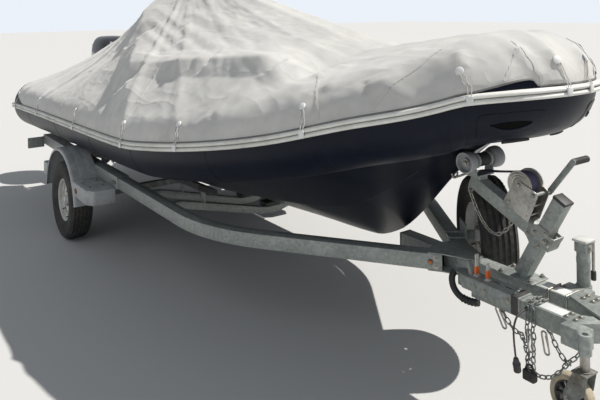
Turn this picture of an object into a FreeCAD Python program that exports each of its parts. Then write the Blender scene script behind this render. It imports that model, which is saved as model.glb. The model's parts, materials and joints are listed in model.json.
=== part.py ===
"""Rigid inflatable boat under its mooring cover, on a single axle trailer with a folding tongue.

+X points to the bow, +Y to port and +Z up. Everything is placed from the middle of the trailer's
axle at floor level, and the whole model is then shifted by SHIFT_X to stand over its own middle.
"""
import FreeCAD, Part
import math
import os

V = FreeCAD.Vector
UP = V(0, 0, 1)
FORE = V(1, 0, 0)
PORT = V(0, 1, 0)

# Gaps between pieces
SEAT = 0.3
RUN = 6.0

# Boat
TUBE_RADIUS = 225.0
TUBE_HALF_SPAN = 825.0
TUBE_STRAIGHT_END = 1450.0
TUBE_NOSE = 3595.0
TUBE_NOSE_RADIUS = 350.0
CONE_LENGTH = 260.0
CONE_END_RADIUS = 95.0
STRAKE_HEIGHT = 44.0
STRAKE_DEPTH = 26.0
STRAKE_GROOVE = 9.0
TRANSOM_X = -1380.0
TRANSOM_THICKNESS = 55.0
TRANSOM_HALF_WIDTH = 330.0
TRANSOM_TOP = 945.0
TRANSOM_FOOT = 560.0
WELL_LENGTH = 420.0
WELL_FLOOR = 800.0
COVER_PROUD = 8.0
COVER_STEP = 3.0
COVER_TURNS = (7.0, 36.0, 65.0, 94.0)
COVER_NOTCH_LENGTH = 680.0
COVER_NOTCH_HALF = 330.0

# Outboard motor
TILT_SETBACK = 70.0
TILT_DROP = -40.0
SWIVEL_SETBACK = 150.0
CLAMP_WIDTH = 36.0
CLAMP_GAP = 150.0
COWL_LENGTH = 620.0
COWL_WIDTH = 380.0
COWL_BASE = 150.0
COWL_HEIGHT = 440.0
PLATE_DROP = 508.0
PROP_DROP = 190.0
PROP_RADIUS = 165.0
SKEG_DROP = 320.0

# Trailer frame
RAIL_SIZE = 76.0
RAIL_WALL = 4.0
SLEEVE_WALL = 6.0
FRAME_TOP = 610.0
RAIL_HALF_SPAN = 805.0
RAIL_AFT = -1300.0
RAIL_SLEEVE_END = 780.0
SLEEVE_LAP = 160.0
RAIL_BEND_RADIUS = 1000.0
RAIL_ANGLE = 35.0
RAIL_END_X = 3152.0
TONGUE_AFT = 2830.0
TONGUE_FORE = 3930.0
CAP_LENGTH = 10.0
AXLE_SIZE = 50.0
CROSS_SIZE = 50.0
CROSS_DROP = 14.0
CROSS_MIDDLE = 60.0
CROSS_END = 90.0
KEEL_PAD = 36.0
JOINT_PLATE = 6.0
JOINT_LAP = 70.0
JOINT_REACH = 140.0

# Wheels
TYRE_RADIUS = 305.0
TYRE_WIDTH = 175.0
RIM_RADIUS = 165.0
RIM_WIDTH = 140.0
TYRE_GAP = 13.0
HUB_RADIUS = 52.0
HUB_INSIDE = 40.0
HUB_OUTSIDE = 62.0
SPINDLE_RADIUS = 16.0
SPINDLE_DEPTH = 60.0
FENDER_RADIUS = 416.0
FENDER_OVERHANG = 10.0
FENDER_SKIN = 3.0
FENDER_LIP = 24.0
STEP_LENGTH = 420.0
STEP_HEIGHT = 110.0
STEP_TOP = 535.0

# Folding tongue and jack
PIVOT_X = 4000.0
PIVOT_Y = -85.0
PIVOT_PIN = 12.0
HINGE_PLATE = 10.0
JACK_X = 3760.0
JACK_Y = 135.0
JACK_OUTER = 28.0
JACK_INNER = 21.0
JACK_TOP = 805.0
JACK_HEAD = 30.0
JACK_HEAD_HEIGHT = 56.0
JACK_FOOT = 380.0
JACK_CRANK = 8.0
JACK_HANDLE = 170.0
CASTER_RADIUS = 100.0
CASTER_WIDTH = 50.0
CASTER_TRAIL = 60.0
CASTER_PIN = 8.0
CASTER_STEM = 12.0
CASTER_STEM_DEPTH = 60.0
FOLD_LENGTH = 560.0
FOLD_SETBACK = 60.0
COUPLER_LENGTH = 110.0
COUPLER_LAP = 250.0
COUPLER_SHEET = 5.0
COUPLER_SKIRT = 60.0
CABLE_X = 3725.0
CABLE_Z = 588.0
CABLE_RADIUS = 4.0
GLAND_RADIUS = 9.0
GLAND_LENGTH = 14.0
PLUG_RADIUS = 16.0
PLUG_LENGTH = 58.0
# Route of the lighting cable from its gland: distance out from the bar's side, and drop
CABLE_ROUTE = ((0.0, 0.0), (46.0, 0.0), (78.0, 42.0), (77.0, 108.0), (66.0, 172.0))
# Share of a run that each bend of the cable takes
CABLE_BEND = 0.45
PIN_FIT = 0.05
BALL_FIT = 25.8
SOCKET_WALL = 6.0
SOCKET_LENGTH = 24.0

# Bunks
BUNK_INSET = 285.0
BUNK_AFT = -1330.0
BUNK_FORE = 1560.0
BUNK_WIDTH = 140.0
BUNK_THICKNESS = 44.0
BUNK_GAP = 0.5
BUNK_BRACKET = 6.0

# Winch stand
POST_SIZE = 60.0
POST_WALL = 4.0
POST_X = 3548.0
POST_TOP_X = 3752.0
POST_TOP_Z = 985.0
POST_BASE_LENGTH = 190.0
POST_BASE_WIDTH = 116.0
POST_BASE_THICKNESS = 6.0
POST_CAP = 14.0
ARM_JOINT = 233.0
ARM_GAP = 4.0
ARM_TIP_X = 3290.0
ARM_TIP_Z = 985.0
ARM_PLATE = 6.0
WINCH_X = 3569.0
WINCH_Z = 1022.0
WINCH_PIN = 8.0
WINCH_HALF = 39.0
WINCH_SHEET = 4.0
DRUM_RADIUS = 62.0
DRUM_CORE = 30.0
DRUM_FLANGE = 4.0
GEAR_RADIUS = 60.0
GEAR_WIDTH = 8.0
PINION_RADIUS = 12.0
STRAP_TURNS = 50.0
CRANK_X = 3640.0
CRANK_Z = 990.0
CRANK_OFFSET = 37.0
CRANK_LENGTH = 182.0
CRANK_ANGLE = 53.0
CRANK_BAR = 22.0
GRIP_RADIUS = 15.0
GRIP_LENGTH = 104.0
ROLLER_X = 3332.0
ROLLER_Z = 1085.0
ROLLER_LENGTH = 240.0
ROLLER_RADIUS = 50.0
ROLLER_PIN = 8.0
SPOOL_RADIUS = 36.0
SPOOL_HALF = 50.0
EAR_INSIDE = 56.0
EAR_SHEET = 6.0
# Outline of the winch's sides: reach along the arm from its joint, and height over its middle line
WINCH_SIDE = ((64.0, 30.3), (70.0, 158.0), (82.0, 170.0), (100.0, 172.0), (150.0, 168.0), (178.0, 170.0),
              (192.0, 150.0), (205.0, 60.0), (205.0, 30.3))

# Spare wheel and lamps
SPARE_BACK = 141.0
SPARE_Z = 615.0
SPARE_GAP = 32.0
SIDE_LAMP_BACK = 56.0

# Motor pins
TILT_PIN = 14.0
SWIVEL_PIN = 18.0
SWIVEL_RADIUS = 42.0
PROP_SHAFT = 12.0

# Heading along the plan curve in degrees and height of the tube's middle there
SHEER = ((0.0, 993.0), (6.0, 1042.0), (12.0, 1106.0), (18.0, 1188.0), (24.0, 1300.0), (29.6, 1400.0),
         (40.0, 1432.0), (52.0, 1446.0), (65.0, 1454.0), (78.0, 1458.0), (90.0, 1459.0))
# X and height of the tube's middle along its straight part
STRAIGHT = ((-1600.0, 891.0), (-500.0, 931.0), (600.0, 962.0))
# Points of the hull's bottom as shares of its chine half width and of its rise to the chine
HULL_BOTTOM = ((0.0, 0.0), (0.46, 0.5), (0.5, 0.48), (0.93, 0.97), (1.0, 0.97), (1.0, 1.0))
# X, keel height, chine half width, chine height, deck height of the hull
HULL = ((-1380.0, 405.0, 800.0, 682.0, 880.0), (0.0, 425.0, 800.0, 722.0, 930.0),
        (1400.0, 462.0, 795.0, 772.0, 975.0), (2100.0, 505.0, 730.0, 862.0, 1040.0),
        (2600.0, 536.0, 600.0, 968.0, 1120.0), (2780.0, 604.0, 540.0, 1018.0, 1160.0),
        (2900.0, 695.0, 490.0, 1052.0, 1190.0), (3050.0, 848.0, 420.0, 1098.0, 1230.0),
        (3170.0, 984.0, 350.0, 1138.0, 1270.0), (3300.0, 1120.0, 255.0, 1175.0, 1310.0))
# X, half width and height of the cover's knee, then of its crown
CROWN = ((-1560.0, 600.0, 1182.0, 560.0, 1185.0), (-1200.0, 600.0, 1262.0, 440.0, 1330.0),
         (-600.0, 530.0, 1400.0, 250.0, 1600.0), (250.0, 690.0, 1430.0, 60.0, 2130.0),
         (450.0, 700.0, 1436.0, 60.0, 2090.0), (1000.0, 730.0, 1443.0, 60.0, 1975.0),
         (1400.0, 690.0, 1470.0, 60.0, 1880.0), (2250.0, 615.0, 1528.0, 80.0, 1680.0),
         (2430.0, 590.0, 1535.0, 100.0, 1632.0), (2700.0, 480.0, 1465.0, 160.0, 1575.0),
         (3050.0, 340.0, 1580.0, 200.0, 1625.0), (3300.0, 260.0, 1640.0, 150.0, 1662.0),
         (3560.0, 190.0, 1662.0, 110.0, 1668.0), (3700.0, 120.0, 1640.0, 60.0, 1645.0),
         (3790.0, 60.0, 1564.0, 30.0, 1568.0), (3818.0, 30.0, 1514.0, 15.0, 1518.0))
# X of each section of the cover
COVER_ROWS = (-1560.0, -1380.0, -1200.0, -900.0, -600.0, -175.0, 250.0, 450.0, 725.0, 1000.0, 1200.0,
              1400.0, 1750.0,
              2100.0, 2250.0, 2430.0, 2560.0, 2700.0, 2900.0, 3050.0, 3180.0, 3300.0, 3400.0, 3480.0,
              3560.0,
              3620.0, 3670.0, 3710.0, 3745.0, 3775.0, 3800.0, 3818.0)
# X of each crossmember
CROSSMEMBERS = (-1240.0, -420.0, 1150.0, 1480.0)

# Widths and places that follow from the sizes above
RAIL_OUTSIDE = RAIL_HALF_SPAN + RAIL_SIZE / 2 + SEAT + SLEEVE_WALL
HALF_TRACK = RAIL_OUTSIDE + TYRE_GAP + TYRE_WIDTH / 2
FENDER_OUTSIDE = HALF_TRACK + TYRE_WIDTH / 2 + FENDER_OVERHANG
FENDER_WIDTH = FENDER_OUTSIDE - RAIL_OUTSIDE - SEAT
BUNK_Y = RAIL_HALF_SPAN - BUNK_INSET

NODES = {}


def box(x0, x1, y0, y1, z0, z1):
    """A box between two corners."""
    return Part.makeBox(x1 - x0, y1 - y0, z1 - z0, V(x0, y0, z0))


def rod(start, end, radius):
    """A round bar from one point to another."""
    return Part.makeCylinder(radius, (end - start).Length, start, end - start)


def polygon(points):
    """A flat face inside a closed run of points."""
    return Part.Face(Part.makePolygon(list(points) + [points[0]]))


def plate(points, thickness, along):
    """A flat outline given a thickness along one direction."""
    return polygon(points).extrude(along * thickness)


def beam(start, end, size, wall=None, side=PORT):
    """A square tube, or a solid bar where no wall is given, between two points."""
    along = end - start
    across = along.cross(side).normalize()
    flat = across.cross(along).normalize()

    def bar(half, back, length):
        foot = start - along.normalize() * back
        ring = [foot + across * a * half + flat * b * half for a, b in ((-1, -1), (1, -1), (1, 1), (-1, 1))]
        return plate(ring, length, V(along).normalize())

    length = along.Length
    shape = bar(size / 2, 0, length)
    if wall:
        shape = shape.cut(bar(size / 2 - wall, 1, length + 2))
    return shape


def mirrored(shape):
    """The same shape on the other side of the boat."""
    return shape.mirror(V(0, 0, 0), PORT)


def mirrored_point(point):
    """The same point on the other side of the boat."""
    return V(point.x, -point.y, point.z)


def pair(shape):
    """A starboard shape and its port twin as separate solids."""
    return Part.Compound([shape, mirrored(shape)])


def turned(points, axis_foot, axis, angle=360):
    """A solid of revolution from a flat outline."""
    return polygon(points).revolve(axis_foot, axis, angle)


def add(name, shape):
    """Keeps a finished piece under its node name."""
    NODES[name] = shape


def bow_arc():
    """Angle and radius of the long arc that joins the straight tube to its round nose."""
    run = TUBE_NOSE - TUBE_STRAIGHT_END - TUBE_NOSE_RADIUS
    drop = TUBE_HALF_SPAN - TUBE_NOSE_RADIUS
    angle = 2 * math.atan(drop / run)
    return angle, run / math.sin(angle) + TUBE_NOSE_RADIUS


ARC_ANGLE, ARC_RADIUS = bow_arc()
ARC_CENTRE = V(TUBE_STRAIGHT_END, ARC_RADIUS - TUBE_HALF_SPAN, 0)
NOSE_X = TUBE_STRAIGHT_END + (ARC_RADIUS - TUBE_NOSE_RADIUS) * math.sin(ARC_ANGLE)


def plan_point(heading, height, out=0.0):
    """A point beside the starboard tube's middle line, where its heading is given in degrees."""
    turn = math.radians(heading)
    side = V(math.sin(turn), -math.cos(turn), 0)
    if turn <= ARC_ANGLE:
        foot = ARC_CENTRE + side * ARC_RADIUS
    else:
        foot = V(NOSE_X, 0, 0) + side * TUBE_NOSE_RADIUS
    return V(foot.x, foot.y, height) + side * out


def stations():
    """Middle point and outward direction at each station of the starboard tube."""
    rows = [(V(x, -TUBE_HALF_SPAN, z), V(0, -1, 0)) for x, z in STRAIGHT]
    for heading, height in SHEER:
        turn = math.radians(heading)
        rows.append((plan_point(heading, height), V(math.sin(turn), -math.cos(turn), 0)))
    return rows


def between(rows, x):
    """The value in the second column of a table at one value of its first."""
    for (x0, z0), (x1, z1) in zip(rows, rows[1:]):
        if x <= x1:
            return z0 + (z1 - z0) * max(0.0, x - x0) / (x1 - x0)
    return rows[-1][1]


def tube_at(x, out):
    """Distance from the keel line and height of a line beside the tube's middle, where it crosses one X."""
    if x <= TUBE_STRAIGHT_END:
        return TUBE_HALF_SPAN + out, between(STRAIGHT + ((TUBE_STRAIGHT_END, SHEER[0][1]),), x)
    low, high = SHEER[0][0], SHEER[-1][0]
    for _ in range(24):
        heading = (low + high) / 2
        if plan_point(heading, 0, out).x < x:
            low = heading
        else:
            high = heading
    return -plan_point(high, 0, out).y, between(SHEER, high)


def tube_loft(radius):
    """The U shaped buoyancy tube as a loft through round sections."""
    rings = []
    for middle, out in stations():
        ring = Part.Circle(V(0, 0, 0), UP, radius).toShape()
        ring.Placement = FreeCAD.Placement(middle, FreeCAD.Rotation(out, UP, out.cross(UP), "ZXY"))
        rings.append(Part.Wire(ring))
    half = Part.makeLoft(rings, True, True)
    return half.fuse(mirrored(half))


def strake(spare=0.0):
    """The rubbing strake with its two beads, round the widest line of the tube, or the room it takes."""
    half = STRAKE_HEIGHT / 2 + spare
    rings = []
    for middle, out in stations():
        root = middle + out * (TUBE_RADIUS + SEAT - spare)
        rim = STRAKE_DEPTH + 2 * spare
        dip = rim - STRAKE_GROOVE
        ring = ((0, -half), (rim, -half * 0.8), (rim, -half * 0.2), (dip, 0), (rim, half * 0.2),
                (rim, half * 0.8),
                (0, half))
        points = [root + out * a + UP * b for a, b in ring]
        rings.append(Part.makePolygon(points + [points[0]]))
    half_ring = Part.makeLoft(rings, True, True)
    return half_ring.fuse(mirrored(half_ring))


def hull():
    """The deep V hull, with a flat at its chine and one lifting strake a side."""
    rings = []
    for x, keel, chine, edge, deck in HULL:
        rise = edge - keel
        side = [(chine * a, keel + rise * b) for a, b in HULL_BOTTOM] + [(chine * 0.96, deck)]
        points = [V(x, -y, z) for y, z in side] + [V(x, y, z) for y, z in reversed(side[1:])]
        rings.append(Part.makePolygon(points + [points[0]]))
    return Part.makeLoft(rings, True, True)


def cover():
    """The mooring cover's outer form, from its hem over the tubes to the raised crown."""
    rings = []
    reach = (TUBE_RADIUS + COVER_PROUD) / math.cos(math.radians(COVER_TURNS[1] - COVER_TURNS[0]) / 2)
    hem, over = COVER_TURNS[0], COVER_TURNS[-1]
    for x in COVER_ROWS:
        knee, knee_top, half, top = [between([(row[0], row[column]) for row in CROWN],
                                             x) for column in (1, 2, 3, 4)]
        past = max(0.0, x - TUBE_NOSE) / reach
        limit = min(over, math.degrees(math.acos(past))) if past else over
        side = []
        for turn in COVER_TURNS:
            angle = math.radians(hem + (turn - hem) * (limit - hem) / (over - hem))
            y, z = tube_at(x, reach * math.cos(angle))
            side.append((max(y, knee + COVER_STEP), z + reach * math.sin(angle)))
        side.append((knee, max(knee_top, side[-1][1] + COVER_STEP)))
        side.append((half, max(top, side[-1][1] + COVER_STEP)))
        points = [V(x, -y, z) for y, z in side] + [V(x, y, z) for y, z in reversed(side)]
        rings.append(Part.makePolygon(points + [points[0]]))
    return Part.makeLoft(rings, True, True)


def build_boat():
    """Hull, tubes, strake, cover and what is fixed to them."""
    tube = tube_loft(TUBE_RADIUS)
    room = tube_loft(TUBE_RADIUS + SEAT)
    add("buoyancy_tube", tube)
    aft = stations()[0][0] - FORE * SEAT
    cone = Part.makeCone(TUBE_RADIUS, CONE_END_RADIUS, CONE_LENGTH, aft, FORE * -1)
    cap = Part.makeSphere(CONE_END_RADIUS, aft - FORE * CONE_LENGTH)
    add("tube_cones", pair(cone.fuse(cap)))
    add("rubbing_strake", strake())
    half = TRANSOM_HALF_WIDTH
    high = CROWN[0][4]
    well = box(TRANSOM_X - 50, TRANSOM_X + WELL_LENGTH, -half, half, WELL_FLOOR, high)
    add("hull", hull().cut(room).cut(well))
    aft, fore = TRANSOM_X - TRANSOM_THICKNESS, TRANSOM_X - SEAT
    board = box(aft, fore, -half, half, TRANSOM_FOOT, TRANSOM_TOP)
    add("transom", board)
    start = CROWN[0][0]
    wide, peak = COVER_NOTCH_HALF, max(row[4] for row in CROWN)
    notch = box(start - 10, start + COVER_NOTCH_LENGTH, -wide, wide, WELL_FLOOR, peak)
    cloth = cover().cut(room).cut(hull()).cut(notch).cut(strake(1.0))
    add("mooring_cover", max(cloth.Solids, key=lambda solid: solid.Volume))


def tyre(centre, axis, radius, width, rim):
    """A tyre with rounded shoulders, round an axis through its centre."""
    half = width / 2
    outline = ((rim, -half * 0.72), (rim + 30, -half * 0.92), (radius - 70, -half),
               (radius - 25, -half * 0.93),
               (radius - 6, -half * 0.72), (radius, 0), (radius - 6, half * 0.72),
               (radius - 25, half * 0.93),
               (radius - 70, half), (rim + 30, half * 0.92), (rim, half * 0.72))
    out = UP
    points = [centre + out * r + axis * a for r, a in outline]
    return turned(points, centre, axis)


def rim(centre, axis, face):
    """A spoked steel wheel with its hub; face is +1 or -1, the side of its dish."""
    wide = RIM_WIDTH / 2
    barrel = ((RIM_RADIUS - SEAT, -wide * 0.88), (RIM_RADIUS - SEAT, wide * 0.88),
              (RIM_RADIUS - 12, wide * 0.88),
              (RIM_RADIUS - 22, wide * 0.4), (RIM_RADIUS - 22, -wide * 0.4),
              (RIM_RADIUS - 12, -wide * 0.88))
    body = turned([centre + UP * r + axis * a for r, a in barrel], centre, axis)
    disc = ((0.0, 12.0), (0.0, 20.0), (70.0, 20.0), (100.0, 30.0), (RIM_RADIUS - 20, 8.0),
            (RIM_RADIUS - 20, 0.0),
            (100.0, 22.0), (70.0, 12.0))
    web = turned([centre + UP * r + axis * (a * face) for r, a in disc], centre, axis)
    inside = centre - axis * (face * HUB_INSIDE)
    hub = rod(inside, centre + axis * (face * HUB_OUTSIDE), HUB_RADIUS)
    bore = rod(inside - axis * face, inside + axis * (face * SPINDLE_DEPTH), SPINDLE_RADIUS + PIN_FIT)
    return body.fuse(web).fuse(hub).cut(bore)


def fender():
    """The starboard round fender with its step box and lamp boss."""
    y0 = -FENDER_OUTSIDE
    axle = V(0, y0, TYRE_RADIUS)
    outer = Part.makeCylinder(FENDER_RADIUS, FENDER_WIDTH, axle, PORT)
    inner = Part.makeCylinder(FENDER_RADIUS - FENDER_SKIN, FENDER_WIDTH + 2, axle - PORT, PORT)
    low = box(-600, 600, y0 - 5, y0 + FENDER_WIDTH + 5, -200, TYRE_RADIUS + 40)
    arch = outer.cut(inner).cut(low)
    lip = Part.makeCylinder(FENDER_RADIUS, FENDER_SKIN, axle, PORT)
    lip = lip.cut(Part.makeCylinder(FENDER_RADIUS - FENDER_LIP, FENDER_SKIN + 2, axle - PORT,
                                    PORT)).cut(low)
    x0 = FENDER_RADIUS * 0.8
    step = box(x0, x0 + STEP_LENGTH, y0, y0 + FENDER_WIDTH, STEP_TOP - STEP_HEIGHT, STEP_TOP)
    room = (y0 + 4, y0 + FENDER_WIDTH + 5, STEP_TOP - STEP_HEIGHT - 5, STEP_TOP - 4)
    step = step.cut(box(x0 - 5, x0 + STEP_LENGTH - 4, *room))
    step = step.cut(inner)
    rear = box(-x0 - 150, -x0, y0, y0 + FENDER_WIDTH, STEP_TOP - STEP_HEIGHT, STEP_TOP)
    rear = rear.cut(box(-x0 - 146, -x0 + 5, *room))
    rear = rear.cut(inner)
    return arch.fuse(lip).fuse(step).fuse(rear)


def build_wheels():
    """Axle, springs, road wheels and fenders."""
    z = TYRE_RADIUS
    reach = HALF_TRACK - 60
    axle = box(-AXLE_SIZE / 2, AXLE_SIZE / 2, -reach + 30, reach - 30, z - AXLE_SIZE / 2, z + AXLE_SIZE / 2)
    tip = HALF_TRACK - HUB_INSIDE + SPINDLE_DEPTH - 1
    spindle = rod(V(0, -tip, z), V(0, tip, z), SPINDLE_RADIUS)
    add("axle", axle.fuse(spindle))
    for side, tag in ((-1, "right"), (1, "left")):
        centre = V(0, side * HALF_TRACK, z)
        add("wheel_rim_" + tag, rim(centre, PORT, side))
        add("tyre_" + tag, tyre(centre, PORT, TYRE_RADIUS, TYRE_WIDTH, RIM_RADIUS))
    add("fenders", pair(fender()))
    top = FRAME_TOP - RAIL_SIZE - SEAT - SLEEVE_WALL
    spring_y = -RAIL_HALF_SPAN - 22.5
    leaves = []
    for index in range(3):
        half = 330 - index * 80
        drop = index * 8
        ends = z + AXLE_SIZE / 2 + 70 - drop
        mid = z + AXLE_SIZE / 2 + 24 - drop
        rise = (ends - mid) * half / 330.0
        points = [V(-half, spring_y, mid + rise), V(0, spring_y, mid), V(half, spring_y, mid + rise),
                  V(half, spring_y, mid + rise - 8), V(0, spring_y, mid - 8),
                  V(-half, spring_y, mid + rise - 8)]
        leaves.append(plate(points, 45, PORT))
    pack = leaves[0].fuse(leaves[1]).fuse(leaves[2])
    for x in (-330, 330):
        hanger = box(x - 20, x + 20, spring_y, spring_y + 45, z + AXLE_SIZE / 2 + 60, top - SEAT)
        pack = pack.fuse(hanger)
    seat = box(-35, 35, spring_y - 5, spring_y + 50, z + AXLE_SIZE / 2, z + AXLE_SIZE / 2 + 12)
    add("leaf_springs", pair(pack.fuse(seat)))


def rail_length():
    """Length of the front rail's angled part, from its bend's corner to the side of the tongue."""
    angle = math.radians(RAIL_ANGLE)
    room = RAIL_HALF_SPAN - RAIL_SIZE / 2 - SEAT - RAIL_SIZE / 2 * math.cos(angle)
    return room / math.sin(angle)


def rail_corner():
    """Corner of the starboard front rail's bend, so that the rail ends at its place on the tongue."""
    return V(RAIL_END_X - rail_length() * math.cos(math.radians(RAIL_ANGLE)), -RAIL_HALF_SPAN, 0)


def front_rail():
    """The starboard front rail: straight, then one bend, then in to the tongue."""
    angle = math.radians(RAIL_ANGLE)
    tangent = RAIL_BEND_RADIUS * math.tan(angle / 2)
    corner = rail_corner()
    heading = V(math.cos(angle), math.sin(angle), 0)
    start = V(RAIL_SLEEVE_END - SLEEVE_LAP, -RAIL_HALF_SPAN, 0)
    end = corner + heading * rail_length()
    enter = corner - FORE * tangent
    leave = corner + heading * tangent
    centre = enter + PORT * RAIL_BEND_RADIUS

    def band(half, spare):
        a, b = start - FORE * spare, end + heading * spare
        normal = V(heading.y, -heading.x, 0)
        mid_dir = V(math.sin(angle / 2), -math.cos(angle / 2), 0)
        out, inn = RAIL_BEND_RADIUS + half, RAIL_BEND_RADIUS - half
        edges = [Part.LineSegment(a - PORT * half, enter - PORT * half).toShape(),
                 Part.Arc(enter - PORT * half, centre + mid_dir * out, leave + normal * half).toShape(),
                 Part.LineSegment(leave + normal * half, b + normal * half).toShape(),
                 Part.LineSegment(b + normal * half, b - normal * half).toShape(),
                 Part.LineSegment(b - normal * half, leave - normal * half).toShape(),
                 Part.Arc(leave - normal * half, centre + mid_dir * inn, enter + PORT * half).toShape(),
                 Part.LineSegment(enter + PORT * half, a + PORT * half).toShape(),
                 Part.LineSegment(a + PORT * half, a - PORT * half).toShape()]
        return Part.Face(Part.Wire(edges))

    outer = band(RAIL_SIZE / 2, 0).extrude(UP * RAIL_SIZE)
    outer.translate(UP * (FRAME_TOP - RAIL_SIZE))
    inner = band(RAIL_SIZE / 2 - RAIL_WALL, 5).extrude(UP * (RAIL_SIZE - 2 * RAIL_WALL))
    inner.translate(UP * (FRAME_TOP - RAIL_SIZE + RAIL_WALL))
    return outer.cut(inner)


def keel_at(x):
    """Height of the keel at one X."""
    for row, after in zip(HULL, HULL[1:]):
        if x <= after[0]:
            return row[1] + (after[1] - row[1]) * (x - row[0]) / (after[0] - row[0])
    return HULL[-1][1]


def cross_path(x):
    """Middle line of one crossmember, from starboard to port, as pairs of Y and height."""
    rail = RAIL_SIZE / 2 + (SLEEVE_WALL + SEAT if x < RAIL_SLEEVE_END else 0)
    reach = RAIL_HALF_SPAN - rail - SEAT
    end = FRAME_TOP - RAIL_SIZE / 2 - CROSS_DROP
    low = keel_at(x) - KEEL_PAD - CROSS_SIZE / 2
    knee = reach - CROSS_END
    return ((-reach, end), (-knee, end), (-CROSS_MIDDLE, low), (CROSS_MIDDLE, low), (knee, end),
            (reach, end))


def cross_top(x, y):
    """Height of a crossmember's top beside the middle, on its slanted arm."""
    path = cross_path(x)
    (y0, z0), (y1, z1) = path[3], path[4]
    return z0 + (z1 - z0) * (y - y0) / (y1 - y0) + CROSS_SIZE / 2


def crossmember(x):
    """A bent crossmember that hangs between the side rails and carries the keel over its dip."""
    half = CROSS_SIZE / 2
    path = cross_path(x)
    above = [V(x - half, y, z + half) for y, z in path]
    below = [V(x - half, y, z - half) for y, z in reversed(path)]
    return plate(above + below, CROSS_SIZE, FORE)


def build_frame():
    """Rails, crossmembers, tongue and bunks."""
    half = RAIL_SIZE / 2
    mid = FRAME_TOP - half
    y = -RAIL_HALF_SPAN
    out = half + SEAT + SLEEVE_WALL
    rear = box(RAIL_AFT, RAIL_SLEEVE_END, y - out, y + out, mid - out, mid + out)
    hole = half + SEAT
    rear = rear.cut(box(RAIL_AFT - 5, RAIL_SLEEVE_END + 5, y - hole, y + hole, mid - hole, mid + hole))
    add("side_rails", pair(rear))
    add("front_rails", pair(front_rail()))
    add("crossmembers", Part.Compound([crossmember(x) for x in CROSSMEMBERS]))
    pads = []
    for x in CROSSMEMBERS:
        low = keel_at(x) - KEEL_PAD
        pads.append(box(x - 45, x + 45, -CROSS_MIDDLE, CROSS_MIDDLE, low + SEAT, low + KEEL_PAD - 4))
    add("keel_pads", Part.Compound(pads))
    tongue = box(TONGUE_AFT, TONGUE_FORE, -half, half, FRAME_TOP - RAIL_SIZE, FRAME_TOP)
    inner = half - RAIL_WALL
    tongue = tongue.cut(box(TONGUE_AFT - 5, TONGUE_FORE + 5, -inner, inner, mid - inner, mid + inner))
    add("tongue", tongue)


def bunk_under(x, y):
    """Height of the hull's bottom over a bunk, on a straight line along the boat."""
    aft, fore = HULL[1], HULL[2]
    share = y / aft[2]
    rise = between(HULL_BOTTOM[2:4], share) * (aft[3] - aft[1])
    return aft[1] + rise + (x - aft[0]) * (fore[1] - aft[1]) / (fore[0] - aft[0])


def build_bunks():
    """Carpeted bunks under the hull, on brackets from the crossmembers."""
    half = BUNK_WIDTH / 2
    inner, outer = BUNK_Y - half, BUNK_Y + half
    rings = []
    for x in (BUNK_AFT, BUNK_FORE):
        low, high = bunk_under(x, inner) - BUNK_GAP, bunk_under(x, outer) - BUNK_GAP
        points = [V(x, -inner, low), V(x, -outer, high), V(x, -outer, high - BUNK_THICKNESS),
                  V(x, -inner, low - BUNK_THICKNESS)]
        rings.append(Part.makePolygon(points + [points[0]]))
    add("bunks", pair(Part.makeLoft(rings, True, True)))
    posts = []
    side = BUNK_BRACKET / 2
    for x in CROSSMEMBERS:
        top = bunk_under(x - 30, BUNK_Y - side) - BUNK_GAP - BUNK_THICKNESS - SEAT
        posts.append(box(x - 30, x + 30, -BUNK_Y - side, -BUNK_Y + side,
                         cross_top(x, BUNK_Y + side) + SEAT, top))
    add("bunk_brackets", Part.Compound([p for post in posts for p in (post, mirrored(post))]))


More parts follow.
